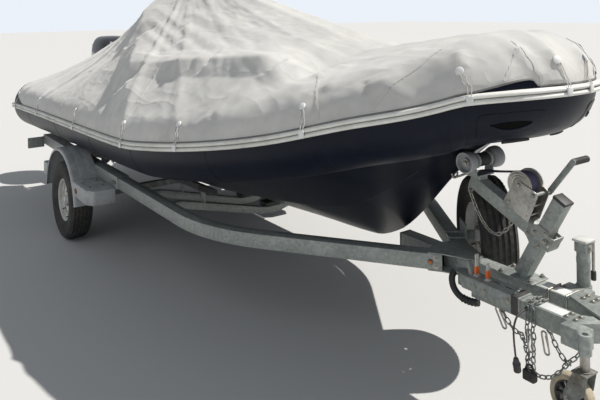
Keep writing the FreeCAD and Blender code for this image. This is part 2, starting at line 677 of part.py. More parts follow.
def build_motor():
    """The outboard motor: clamp, swivel, leg with gearcase, cowl and propeller."""
    face = TRANSOM_X - TRANSOM_THICKNESS - SEAT
    top = TRANSOM_TOP
    tilt = V(face - TILT_SETBACK, 0, top - TILT_DROP)
    clamps = []
    for side in (-1, 1):
        y0 = side * CLAMP_GAP / 2 - CLAMP_WIDTH / 2
        outline = [V(face, y0, top - 300), V(face, y0, top + 1), V(face + 70, y0, top + 1),
                   V(face + 70, y0, top + 30),
                   V(tilt.x + 30, y0, tilt.z + 34), V(tilt.x - 30, y0, tilt.z + 34),
                   V(tilt.x - 34, y0, tilt.z - 30),
                   V(face - 34, y0, top - 300)]
        clamps.append(plate(outline, CLAMP_WIDTH, PORT))
    clamps.append(rod(tilt - PORT * (CLAMP_GAP / 2 + 30), tilt + PORT * (CLAMP_GAP / 2 + 30), TILT_PIN))
    bracket = clamps[0].fuse(clamps[1]).fuse(clamps[2])
    add("motor_clamp", bracket)
    steer_x = tilt.x - SWIVEL_SETBACK
    wide = CLAMP_GAP - CLAMP_WIDTH - 2 * RUN
    block = box(tilt.x - 110, tilt.x + 26, -wide / 2, wide / 2, tilt.z - 26, tilt.z + 26)
    post = rod(V(steer_x, 0, top - 330), V(steer_x, 0, top + 60), SWIVEL_RADIUS)
    arm = box(steer_x, tilt.x - 60, -wide / 2 + 8, wide / 2 - 8, top - 300, tilt.z + 20)
    swivel = post.fuse(arm).fuse(block)
    swivel = swivel.cut(rod(tilt - PORT * wide, tilt + PORT * wide, TILT_PIN + PIN_FIT))
    swivel = swivel.cut(rod(V(steer_x, 0, top - 400), V(steer_x, 0, top + 100), SWIVEL_PIN + PIN_FIT))
    add("motor_swivel", swivel)
    leg_x = steer_x - SWIVEL_RADIUS - RUN
    water = top - PLATE_DROP
    pin = rod(V(steer_x, 0, top - 360), V(steer_x, 0, top + COWL_BASE - 45), SWIVEL_PIN)
    low = box(leg_x - 90, steer_x + 20, -55, 55, top - 400, top - 336)
    high = box(leg_x - 120, steer_x + 60, -60, 60, top + 72, top + COWL_BASE - SEAT)
    case = [V(leg_x, 0, top + 70), V(leg_x, 0, top - 400), V(leg_x + 40, 0, water + 20),
            V(leg_x + 70, 0, water - 60),
            V(leg_x - 120, 0, water - 60), V(leg_x - 130, 0, water + 40), V(leg_x - 150, 0, top + 70)]
    column = plate([q - PORT * 46 for q in case], 92, PORT)
    cav = box(leg_x - 240, leg_x + 90, -95, 95, water - 8, water)
    hub_z = water - PROP_DROP
    foot = water - SKEG_DROP
    strut = [V(leg_x + 60, 0, water - 4), V(leg_x + 74, 0, hub_z), V(leg_x + 20, 0, hub_z - 10),
             V(leg_x - 60, 0, foot),
             V(leg_x - 120, 0, foot + 10), V(leg_x - 130, 0, hub_z), V(leg_x - 120, 0, water - 4)]
    strut = plate([q - PORT * 14 for q in strut], 28, PORT)
    bullet = Part.makeCylinder(48, 200, V(leg_x - 150, 0, hub_z), FORE)
    nose = Part.makeCone(48, 12, 110, V(leg_x + 50, 0, hub_z), FORE)
    gear = strut.fuse(bullet).fuse(nose)
    shaft = rod(V(leg_x - 260, 0, hub_z), V(leg_x - 150, 0, hub_z), PROP_SHAFT)
    leg = column.fuse(pin).fuse(low).fuse(high).fuse(cav).fuse(gear).fuse(shaft)
    add("motor_leg", leg)
    hub = rod(V(leg_x - 250, 0, hub_z), V(leg_x - 156, 0, hub_z), 40)
    blades = []
    for index in range(3):
        blade = Part.makeCylinder(PROP_RADIUS, 9, V(leg_x - 206, 0, hub_z), FORE, 78)
        blade.rotate(V(leg_x - 206, 0, hub_z), FORE, index * 120.0)
        blades.append(blade)
    bore = rod(V(leg_x - 300, 0, hub_z), V(leg_x - 100, 0, hub_z), PROP_SHAFT + PIN_FIT)
    prop = hub.fuse(blades).cut(bore)
    add("propeller", prop)
    base = top + COWL_BASE
    fore = steer_x + COWL_LENGTH * 0.32
    half = COWL_WIDTH / 2
    tray = []
    for z, share in ((base, 0.8), (base + 60, 0.97), (base + 90, 1.0)):
        tray.append(cowl_ring(fore, half, share, z))
    add("motor_tray", Part.makeLoft(tray, True, True))
    rings = []
    for rise, share in ((90 + SEAT, 1.0), (220, 1.03), (330, 0.97), (400, 0.84), (COWL_HEIGHT, 0.55)):
        rings.append(cowl_ring(fore, half, share, base + rise))
    add("motor_cowl", Part.makeLoft(rings, True, True))


def cowl_ring(fore, half, share, z):
    """One level outline of the cowl, round at the front and tapered aft."""
    middle = fore - COWL_LENGTH / 2
    outline = ((0.5, 0.0), (0.47, 0.55), (0.36, 0.88), (0.1, 1.0), (-0.25, 0.92), (-0.45, 0.6), (-0.5, 0.0))
    left = [V(middle + a * COWL_LENGTH * share, b * half * share, z) for a, b in outline]
    right = [V(q.x, -q.y, z) for q in reversed(left[1:-1])]
    ring = left + right
    return Part.makePolygon(ring + [ring[0]])


def post_line():
    """Foot and head of the winch post's middle line."""
    return V(POST_X, 0, FRAME_TOP + SEAT), V(POST_TOP_X, 0, POST_TOP_Z)


def arm_joint():
    """Point on the winch post's middle line that the arm points at."""
    foot, head = post_line()
    return foot + (head - foot).normalize() * ARM_JOINT


def arm_spot(reach, rise):
    """A point beside the arm's middle line, by its reach from the joint and its height over the line."""
    joint = arm_joint()
    along = (V(ARM_TIP_X, 0, ARM_TIP_Z) - joint).normalize()
    return joint + along * reach + V(along.z, 0, -along.x) * rise


def arm_bar(size, wall=None):
    """The square tube between the winch post and the bow roller."""
    return beam(arm_spot(POST_SIZE / 2 + ARM_GAP, 0), V(ARM_TIP_X, 0, ARM_TIP_Z), size, wall)


def build_post():
    """Winch post on its base plate, the plates at the arm's joint and the end caps."""
    half = POST_SIZE / 2
    foot, head = post_line()
    lean = (head - foot).normalize()
    base = box(POST_X - POST_BASE_LENGTH / 2, POST_X + POST_BASE_LENGTH / 2, -POST_BASE_WIDTH / 2,
               POST_BASE_WIDTH / 2,
               foot.z, foot.z + POST_BASE_THICKNESS)
    post = beam(foot + lean * (half * lean.x / lean.z), head, POST_SIZE, POST_WALL)
    add("winch_post", post.fuse(base))
    joint = arm_joint()
    front = V(lean.z, 0, -lean.x)
    outline = [arm_spot(60, 26), joint + lean * 52 - front * 24, joint + lean * 52 + front * 28,
               joint - lean * 52 + front * 28, joint - lean * 52 - front * 24, arm_spot(60, -26)]
    side = plate([q - PORT * (half + SEAT + ARM_PLATE) for q in outline], ARM_PLATE, PORT)
    add("arm_plates", pair(side))
    cap = beam(head + lean * SEAT, head + lean * POST_CAP, POST_SIZE + 4)
    half = RAIL_SIZE / 2
    low, high = FRAME_TOP - RAIL_SIZE - 1, FRAME_TOP + 1
    tongue_cap = box(TONGUE_AFT - CAP_LENGTH, TONGUE_AFT - SEAT, -half - 1, half + 1, low, high)
    add("end_caps", Part.Compound([cap, tongue_cap]))


def build_winch():
    """Winch frame on the arm, its drum with the gear and wound strap, and its crank."""
    winch = V(WINCH_X, 0, WINCH_Z)
    pinion = V(CRANK_X, 0, CRANK_Z)
    outside = WINCH_HALF + WINCH_SHEET
    side = plate([arm_spot(*q) - PORT * outside for q in WINCH_SIDE], WINCH_SHEET, PORT)
    aft, fore = WINCH_SIDE[-1][0], WINCH_SIDE[0][0]
    low, high = WINCH_SIDE[0][1], WINCH_SIDE[0][1] + WINCH_SHEET
    floor = plate([q - PORT * outside for q in (arm_spot(aft, low), arm_spot(fore, low),
                                                arm_spot(fore, high),
                                                arm_spot(aft, high))], 2 * outside, PORT)
    channel = side.fuse(mirrored(side)).fuse(floor)
    for axis in (winch, pinion):
        channel = channel.cut(rod(axis - PORT * 2 * outside, axis + PORT * 2 * outside,
                                  WINCH_PIN + PIN_FIT))
    add("winch_frame", channel)
    wide = WINCH_HALF - 2
    core = rod(winch - PORT * wide, winch + PORT * wide, DRUM_CORE)
    flanges = [rod(winch - PORT * wide, winch - PORT * (wide - DRUM_FLANGE), DRUM_RADIUS),
               rod(winch + PORT * (wide - DRUM_FLANGE), winch + PORT * wide, DRUM_RADIUS)]
    gear_y = outside + 4
    shaft = rod(winch - PORT * (outside + 8), winch + PORT * (gear_y + GEAR_WIDTH + 8), WINCH_PIN)
    gear = rod(winch + PORT * gear_y, winch + PORT * (gear_y + GEAR_WIDTH), GEAR_RADIUS)
    add("winch_drum", core.fuse(flanges).fuse(shaft).fuse(gear))
    edge = wide - DRUM_FLANGE - 2
    turns = rod(winch - PORT * edge, winch + PORT * edge, STRAP_TURNS)
    add("winch_strap_turns", turns.cut(rod(winch - PORT * wide, winch + PORT * wide, DRUM_CORE + SEAT)))
    bar_y = outside + CRANK_OFFSET
    shaft = rod(pinion - PORT * (outside + 8), pinion + PORT * (bar_y + 8), WINCH_PIN)
    small = rod(pinion + PORT * gear_y, pinion + PORT * (gear_y + GEAR_WIDTH), PINION_RADIUS)
    swing = V(math.cos(math.radians(CRANK_ANGLE)), 0, math.sin(math.radians(CRANK_ANGLE)))
    across = swing.cross(PORT) * (CRANK_BAR / 2)
    tip = pinion + swing * CRANK_LENGTH + PORT * bar_y
    foot = pinion - swing * 20 + PORT * bar_y
    bar = plate([foot - across, foot + across, tip + swing * 14 + across, tip + swing * 14 - across], 6,
                PORT)
    grip = rod(tip + PORT * 6, tip + PORT * (6 + GRIP_LENGTH), GRIP_RADIUS)
    add("winch_crank", shaft.fuse(small).fuse(bar).fuse(grip))


def build_roller():
    """The bow roller, a spool between two bells on one pin, and the arm that carries it."""
    centre = V(ROLLER_X, 0, ROLLER_Z)
    reach = ROLLER_LENGTH / 2
    bore = ROLLER_PIN + PIN_FIT
    bell_y = EAR_INSIDE + EAR_SHEET + 1
    big = ROLLER_RADIUS
    bell = ((bore, bell_y), (big - 16, bell_y), (big - 4, bell_y + 14), (big, bell_y + 26),
            (big, reach - 4),
            (big - 3, reach), (big - 9, reach), (big - 12, reach - 24), (18, reach - 24), (18, reach - 12),
            (bore, reach - 12))
    cup = turned([centre + UP * r + PORT * a for r, a in bell], centre, PORT)
    low = SPOOL_RADIUS - 7
    spool = ((bore, -SPOOL_HALF), (SPOOL_RADIUS, -SPOOL_HALF), (SPOOL_RADIUS, -SPOOL_HALF + 14),
             (low, -SPOOL_HALF + 18),
             (low, SPOOL_HALF - 18), (SPOOL_RADIUS, SPOOL_HALF - 14), (SPOOL_RADIUS, SPOOL_HALF),
             (bore, SPOOL_HALF))
    middle = turned([centre + UP * r + PORT * a for r, a in spool], centre, PORT)
    add("bow_roller", Part.Compound([middle, cup, mirrored(cup)]))
    pin = rod(centre - PORT * (reach - 6), centre + PORT * (reach - 6), ROLLER_PIN)
    ears = []
    foot_z = centre.z - ROLLER_RADIUS - RUN
    for y in (-EAR_INSIDE - EAR_SHEET, EAR_INSIDE):
        outline = [V(centre.x - 16, y, centre.z + 18), V(centre.x + 16, y, centre.z + 18),
                   V(centre.x + 26, y, foot_z - 10),
                   V(centre.x - 26, y, foot_z - 10)]
        ears.append(plate(outline, EAR_SHEET, PORT))
    wide = EAR_INSIDE + EAR_SHEET
    web = box(centre.x - 30, centre.x + 26, -wide, wide, foot_z - 16, foot_z - 10)
    saddle = box(centre.x - 28, centre.x + 14, -POST_SIZE / 2 + 2, POST_SIZE / 2 - 2, foot_z - 40,
                 foot_z - 12)
    saddle = saddle.cut(arm_bar(POST_SIZE - 2))
    add("winch_arm", arm_bar(POST_SIZE, POST_WALL).fuse(pin).fuse(ears).fuse(web).fuse(saddle))


def build_jack():
    """Tongue jack with its gear head, leg, caster and wheel."""
    x, y = JACK_X, JACK_Y
    neck = JACK_TOP - JACK_HEAD_HEIGHT
    outer = rod(V(x, y, JACK_FOOT), V(x, y, neck), JACK_OUTER)
    outer = outer.cut(rod(V(x, y, JACK_FOOT - 10), V(x, y, neck - 20), JACK_INNER + 1))
    head = box(x - JACK_HEAD, x + JACK_HEAD, y - JACK_HEAD, y + JACK_HEAD, neck, JACK_TOP)
    rim_half = JACK_HEAD + 4
    lid = box(x - rim_half, x + rim_half, y - rim_half, y + rim_half, JACK_TOP - 12, JACK_TOP - 6)
    turn_z = neck + JACK_HEAD_HEIGHT / 2
    crank = rod(V(x, y + JACK_HEAD, turn_z), V(x, y + JACK_HEAD + 52, turn_z), JACK_CRANK)
    hang = V(x, y + JACK_HEAD + 46, turn_z)
    handle = rod(hang, hang - UP * JACK_HANDLE, JACK_CRANK - 1)
    clamp = box(x - 60, x + 60, RAIL_SIZE / 2 + SEAT, y - JACK_OUTER + 4, FRAME_TOP - RAIL_SIZE + 6,
                FRAME_TOP - 6)
    clamp = clamp.cut(rod(V(x, y, JACK_FOOT), V(x, y, JACK_TOP), JACK_OUTER - 1))
    add("jack_tube", outer.fuse(head).fuse(lid).fuse(crank).fuse(handle).fuse(clamp))
    fork_top = 2 * CASTER_RADIUS + 30
    foot = V(x, y, fork_top + 12)
    leg = rod(foot, V(x, y, JACK_FOOT + 40), JACK_INNER)
    add("jack_leg", leg.cut(rod(foot - UP, foot + UP * CASTER_STEM_DEPTH, CASTER_STEM + PIN_FIT)))
    axle = V(x - CASTER_TRAIL, y, CASTER_RADIUS)
    plate_top = box(x - 40, x + 34, y - 42, y + 42, fork_top, fork_top + 6)
    cheeks = []
    for side in (-1, 1):
        outline = [V(x - 36, 0, fork_top), V(x + 32, 0, fork_top), V(x + 18, 0, 150), V(axle.x + 24, 0, 84),
                   V(axle.x - 20, 0, 84), V(axle.x - 24, 0, 120)]
        y0 = y + side * (CASTER_WIDTH / 2 + 9) - 2
        cheeks.append(plate([V(q.x, y0, q.z) for q in outline], 4, PORT))
    pin = rod(axle - PORT * 42, axle + PORT * 42, CASTER_PIN)
    stem = rod(foot - UP * 2, foot + UP * (CASTER_STEM_DEPTH - 1), CASTER_STEM)
    stem = stem.fuse(rod(V(x, y, fork_top), foot - UP, 30))
    fork = plate_top.fuse(cheeks).fuse(pin).fuse(stem)
    add("caster_fork", fork)
    half = CASTER_WIDTH / 2
    big = CASTER_RADIUS
    side = ((30, half), (32, half - 8), (big - 24, half - 8), (big - 20, half), (big - 6, half),
            (big, half - 8))
    bore = CASTER_PIN + PIN_FIT
    outline = [(bore, half)] + list(side) + [(r, -a) for r, a in reversed(side)] + [(bore, -half)]
    add("caster_wheel", turned([axle + UP * r + PORT * a for r, a in outline], axle, PORT))


def build_fold():
    """The folding front of the tongue with its hinge and coupler, folded back along the tongue."""
    half = RAIL_SIZE / 2
    low, high = FRAME_TOP - RAIL_SIZE, FRAME_TOP
    plates = []
    for z in (low - HINGE_PLATE - SEAT, high + SEAT):
        outline = [V(TONGUE_FORE - 130, half, z), V(PIVOT_X - 10, half + 48, z),
                   V(PIVOT_X + 26, half + 48, z),
                   V(PIVOT_X + 26, PIVOT_Y - 26, z), V(PIVOT_X - 26, PIVOT_Y - 26, z),
                   V(TONGUE_FORE - 130, -half, z)]
        plates.append(plate(outline, HINGE_PLATE, UP))
    pin = rod(V(PIVOT_X, PIVOT_Y, low - HINGE_PLATE - 8), V(PIVOT_X, PIVOT_Y, high + HINGE_PLATE + 8),
              PIVOT_PIN)
    add("hinge_plates", plates[0].fuse(pin).fuse(plates[1]))
    y = 2 * PIVOT_Y
    aft = PIVOT_X - FOLD_LENGTH
    root = PIVOT_X - FOLD_SETBACK
    bar = box(aft, root, y - half, y + half, low + 1, high - 1)
    inner = half - RAIL_WALL
    bar = bar.cut(box(aft - 5, root - 30, y - inner, y + inner, low + 1 + RAIL_WALL, high - 1 - RAIL_WALL))
    knuckle = rod(V(PIVOT_X, PIVOT_Y, low + 1), V(PIVOT_X, PIVOT_Y, high - 1), 26)
    web = plate([V(root - 30, y - half, low + 1), V(root, y - half, low + 1),
                 V(PIVOT_X + 20, PIVOT_Y - 18, low + 1),
                 V(PIVOT_X, PIVOT_Y + 20, low + 1), V(root - 30, y + half, low + 1)], RAIL_SIZE - 2, UP)
    latch = rod(V(PIVOT_X - 2, y + PIVOT_Y, low + 1), V(PIVOT_X - 2, y + PIVOT_Y, high - 1), 24)
    latch_web = box(root - 40, PIVOT_X - 2, y + PIVOT_Y, y - half + 10, low + 1, high - 1)
    swing = bar.fuse(knuckle).fuse(web).fuse(latch).fuse(latch_web)
    swing = swing.cut(rod(V(PIVOT_X, PIVOT_Y, low - 5), V(PIVOT_X, PIVOT_Y, high + 5), PIVOT_PIN + PIN_FIT))
    swing = swing.cut(rod(V(PIVOT_X - 2, y + PIVOT_Y, low - 5), V(PIVOT_X - 2, y + PIVOT_Y, high + 5),
                          PIVOT_PIN))
    add("folding_tongue", swing)
    nose = aft - COUPLER_LENGTH
    body = [(aft + COUPLER_LAP, half + 5), (nose + 60, half + 2), (nose + 22, half - 6), (nose, 16)]
    lid = high - 1 + SEAT
    ring = [V(a, y - b, lid) for a, b in body] + [V(a, y + b, lid) for a, b in reversed(body)]
    top = plate(ring, COUPLER_SHEET, UP)
    sides = []
    for side in (-1, 1):
        y0 = y + side * (half + 2.6) - 2.3
        sides.append(box(nose + 60, aft + COUPLER_LAP, y0, y0 + 4.6, high - COUPLER_SKIRT, high))
    ball = V(nose + 44, y, high - 26)
    mouth = ball - UP * SOCKET_LENGTH
    socket = Part.makeSphere(BALL_FIT + SOCKET_WALL, ball).fuse(rod(mouth, ball, BALL_FIT + SOCKET_WALL))
    room = Part.makeSphere(BALL_FIT, ball).fuse(rod(mouth - UP * 20, ball, BALL_FIT))
    below = box(nose - 40, nose + 120, y - 60, y + 60, high - 90, mouth.z)
    lever = plate([V(nose + 96, y - 14, high + 2), V(nose + 74, y - 14, high + 60),
                   V(nose + 64, y - 14, high + 60),
                   V(nose + 76, y - 14, high + 2)], 28, PORT)
    add("coupler", top.fuse(sides).fuse(socket).fuse(lever).cut(room).cut(below))


def bent_path(points, share):
    """Straight runs through points with a tangent arc at each corner."""
    edges = []
    last = points[0]
    for before, corner, after in zip(points, points[1:], points[2:]):
        inward, onward = (corner - before).normalize(), (after - corner).normalize()
        cut = share * min((corner - before).Length, (after - corner).Length)
        enter, leave = corner - inward * cut, corner + onward * cut
        half = inward.getAngle(onward) / 2
        radius = cut / math.tan(half)
        print("bend radius", round(radius, 1))
        side = (onward - inward).normalize()
        middle = corner + side * (radius / math.cos(half) - radius)
        edges.append(Part.LineSegment(last, enter).toShape())
        edges.append(Part.Arc(enter, middle, leave).toShape())
        last = leave
    edges.append(Part.LineSegment(last, points[-1]).toShape())
    return Part.Wire(edges)


def build_cable():
    """The lighting cable from its gland on the folded bar's side, hanging down to its plug."""
    wall = V(CABLE_X, 2 * PIVOT_Y - RAIL_SIZE / 2 - SEAT, CABLE_Z)
    start = wall - PORT * GLAND_LENGTH
    add("cable_gland", rod(wall, start, GLAND_RADIUS))
    points = [start - PORT * out - UP * drop for out, drop in CABLE_ROUTE]
    path = bent_path(points, CABLE_BEND)
    section = Part.Wire(Part.Circle(start, PORT, CABLE_RADIUS).toShape())
    cable = path.makePipeShell([section], True, False)
    print("cable", round(path.Length, 1), round(cable.Volume / path.Length / CABLE_RADIUS ** 2 / math.pi,
                                                4))
    add("tow_cable", cable)
    foot, down = points[-1], (points[-1] - points[-2]).normalize()
    add("tow_plug", rod(foot, foot + down * PLUG_LENGTH, PLUG_RADIUS))


def build_spare():
    """Spare wheel outside the port front rail, with its clamp."""
    angle = math.radians(RAIL_ANGLE)
    along = V(math.cos(angle), -math.sin(angle), 0)
    out = V(math.sin(angle), math.cos(angle), 0)
    seat = mirrored_point(rail_spot(SPARE_BACK, 0))
    half = RAIL_SIZE / 2
    centre = seat + out * (half + SPARE_GAP + TYRE_WIDTH / 2) + UP * SPARE_Z
    add("spare_rim", rim(centre, out, -1))
    add("spare_tyre", tyre(centre, out, TYRE_RADIUS, TYRE_WIDTH, RIM_RADIUS))
    foot = seat + out * (half + SEAT)
    ring = [foot - along * 60, foot + along * 60, foot + along * 60 + out * 8, foot - along * 60 + out * 8]
    pad = plate([q + UP * (FRAME_TOP - RAIL_SIZE - 14) for q in ring], RAIL_SIZE + 90, UP)
    reach = SPARE_GAP + TYRE_WIDTH / 2 - HUB_OUTSIDE - 2 * SEAT
    arm = rod(foot + out * 8 + UP * SPARE_Z, foot + out * reach + UP * SPARE_Z, 26)
    back = seat - out * (half + SEAT)
    ring = [back - along * 60, back + along * 60, back + along * 60 - out * 8, back - along * 60 - out * 8]
    clamp = plate([q + UP * (FRAME_TOP - RAIL_SIZE - 14) for q in ring], RAIL_SIZE + 28, UP)
    bolts = []
    for step in (-44, 44):
        for z in (FRAME_TOP + 7, FRAME_TOP - RAIL_SIZE - 7):
            start = seat + along * step + UP * z
            bolts.append(rod(start - out * (half + 20), start + out * (half + 20), 5))
    add("spare_carrier", pad.fuse(arm).fuse(clamp).fuse(bolts))


def rail_spot(back, out):
    """A point beside the starboard front rail at floor level, measured back from its end."""
    angle = math.radians(RAIL_ANGLE)
    heading = V(math.cos(angle), math.sin(angle), 0)
    side = V(math.sin(angle), -math.cos(angle), 0)
    return rail_corner() + heading * (rail_length() - back) + side * out


def build_lamps():
    """Side lamps, tail lamps and their brackets."""
    half = RAIL_SIZE / 2
    level = UP * (FRAME_TOP - half)
    front = rod(rail_spot(SIDE_LAMP_BACK, half + SEAT) + level,
                rail_spot(SIDE_LAMP_BACK, half + 9) + level, 12)
    lamp = V(FENDER_RADIUS + 40, -FENDER_OUTSIDE - SEAT, STEP_TOP - STEP_HEIGHT / 2)
    beside = rod(lamp, lamp - PORT * 10, 20)
    add("marker_lamps", Part.Compound([front, mirrored(front), beside, mirrored(beside)]))
    rail_out = RAIL_OUTSIDE + SEAT
    x = RAIL_AFT + 30
    arm = box(x - 3, x + 3, -rail_out - 150, -rail_out, FRAME_TOP - 110, FRAME_TOP - 10)
    lug = box(x - 40, x + 3, -rail_out - 4, -rail_out, FRAME_TOP - 70, FRAME_TOP - 10)
    lens = box(x - 45, x - 3 - SEAT, -rail_out - 148, -rail_out - 8, FRAME_TOP - 108, FRAME_TOP - 14)
    add("lamp_brackets", pair(arm.fuse(lug.cut(box(x - 50, x - 3, -rail_out - 10, -rail_out - 3, 400,
                                                   700)))))
    add("tail_lamps", pair(lens))


def build_joint():
    """Plates over and under the front rails' ends, where they meet the tongue."""
    half = RAIL_SIZE / 2
    end = rail_spot(0, half)
    corners = [rail_spot(JOINT_LAP, -half), rail_spot(JOINT_LAP, half), end,
               V(end.x + JOINT_REACH, -half, 0)]
    outline = corners + [V(q.x, -q.y, 0) for q in reversed(corners)]
    tops = []
    for z in (FRAME_TOP + SEAT, FRAME_TOP - RAIL_SIZE - SEAT - JOINT_PLATE):
        tops.append(plate([q + UP * z for q in outline], JOINT_PLATE, UP))
    add("tongue_joint_plates", Part.Compound(tops))


build_boat()
build_wheels()
build_frame()
build_bunks()
build_motor()
build_post()
build_winch()
build_roller()
build_jack()
build_fold()
build_cable()
build_spare()
build_lamps()
build_joint()

AFT_END = min(shape.BoundBox.XMin for shape in NODES.values())
FORE_END = max(shape.BoundBox.XMax for shape in NODES.values())
SHIFT_X = -(AFT_END + FORE_END) / 2
print("shift", SHIFT_X)
os.makedirs("parts", exist_ok=True)
for name, shape in NODES.items():
    shape.translate(FORE * SHIFT_X)
    shape.exportStep("parts/" + name + ".step")
    print(name, len(shape.Solids), shape.isValid(), round(shape.Volume / 1e9, 5))
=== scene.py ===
"""A rigid inflatable boat under its mooring cover, on a galvanised trailer with a folding tongue."""
import json
import logging
import math
import random
from dataclasses import dataclass
from enum import Enum
from typing import Sequence

import bmesh
import bpy
from mathutils import Matrix, Vector, noise

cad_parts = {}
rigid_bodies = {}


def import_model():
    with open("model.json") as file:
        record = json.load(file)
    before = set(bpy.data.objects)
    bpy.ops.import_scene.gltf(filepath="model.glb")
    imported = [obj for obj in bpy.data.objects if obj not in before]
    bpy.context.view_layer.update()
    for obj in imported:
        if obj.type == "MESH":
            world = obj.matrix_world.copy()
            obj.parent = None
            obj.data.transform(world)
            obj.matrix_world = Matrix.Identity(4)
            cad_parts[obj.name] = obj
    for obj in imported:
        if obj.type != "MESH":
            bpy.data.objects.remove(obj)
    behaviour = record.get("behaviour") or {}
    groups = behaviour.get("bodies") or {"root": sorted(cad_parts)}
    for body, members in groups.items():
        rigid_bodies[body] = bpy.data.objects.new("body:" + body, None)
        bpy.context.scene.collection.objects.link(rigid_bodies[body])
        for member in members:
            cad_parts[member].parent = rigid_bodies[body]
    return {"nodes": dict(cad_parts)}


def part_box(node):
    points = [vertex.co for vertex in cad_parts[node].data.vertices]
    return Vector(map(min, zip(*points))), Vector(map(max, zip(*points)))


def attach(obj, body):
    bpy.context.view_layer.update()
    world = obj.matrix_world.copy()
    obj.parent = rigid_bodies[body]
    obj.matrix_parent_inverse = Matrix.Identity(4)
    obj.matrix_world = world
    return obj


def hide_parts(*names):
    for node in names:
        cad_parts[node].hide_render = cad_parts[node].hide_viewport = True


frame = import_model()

LOG = logging.getLogger("boat")
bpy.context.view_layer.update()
ROOT = "frame"
ORIGIN_X = (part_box("axle")[0].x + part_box("axle")[1].x) / 2
FORE, PORT, UP = Vector((1, 0, 0)), Vector((0, 1, 0)), Vector((0, 0, 1))
Point = tuple[float, float, float]
Piece, Material = bpy.types.Object, bpy.types.Material
Tree, Node, Socket = bpy.types.NodeTree, bpy.types.Node, bpy.types.NodeSocket


def at(x: float, y: float, z: float) -> Vector:
    """A point given from the middle of the axle at floor level, moved into the row frame."""
    return Vector((x + ORIGIN_X, y, z))


def turns(count: int, start: float = 0.0) -> list[float]:
    """Evenly spaced angles of one whole turn, in radians."""
    return [start + 2 * math.pi * k / count for k in range(count)]


def linked(name: str, data: bpy.types.ID) -> Piece:
    """A new object of the scene that holds some data."""
    obj = bpy.data.objects.new(name, data)
    bpy.context.scene.collection.objects.link(obj)
    return obj


def mirrored(point: Vector) -> Vector:
    """The same point or direction on the boat's other side."""
    return Vector((point.x, -point.y, point.z))


def ways(axis: Vector, count: int, start: float = 0.0) -> list[Vector]:
    """Evenly spaced directions round an axis.

    Args:
        axis: the axis.
        count: how many directions there are.
        start: the angle of the first one, in radians.

    Returns:
        The directions, each of length one.
    """
    first = axis.normalized().orthogonal().normalized()
    other = axis.normalized().cross(first)
    return [first * math.cos(t) + other * math.sin(t) for t in turns(count, start)]


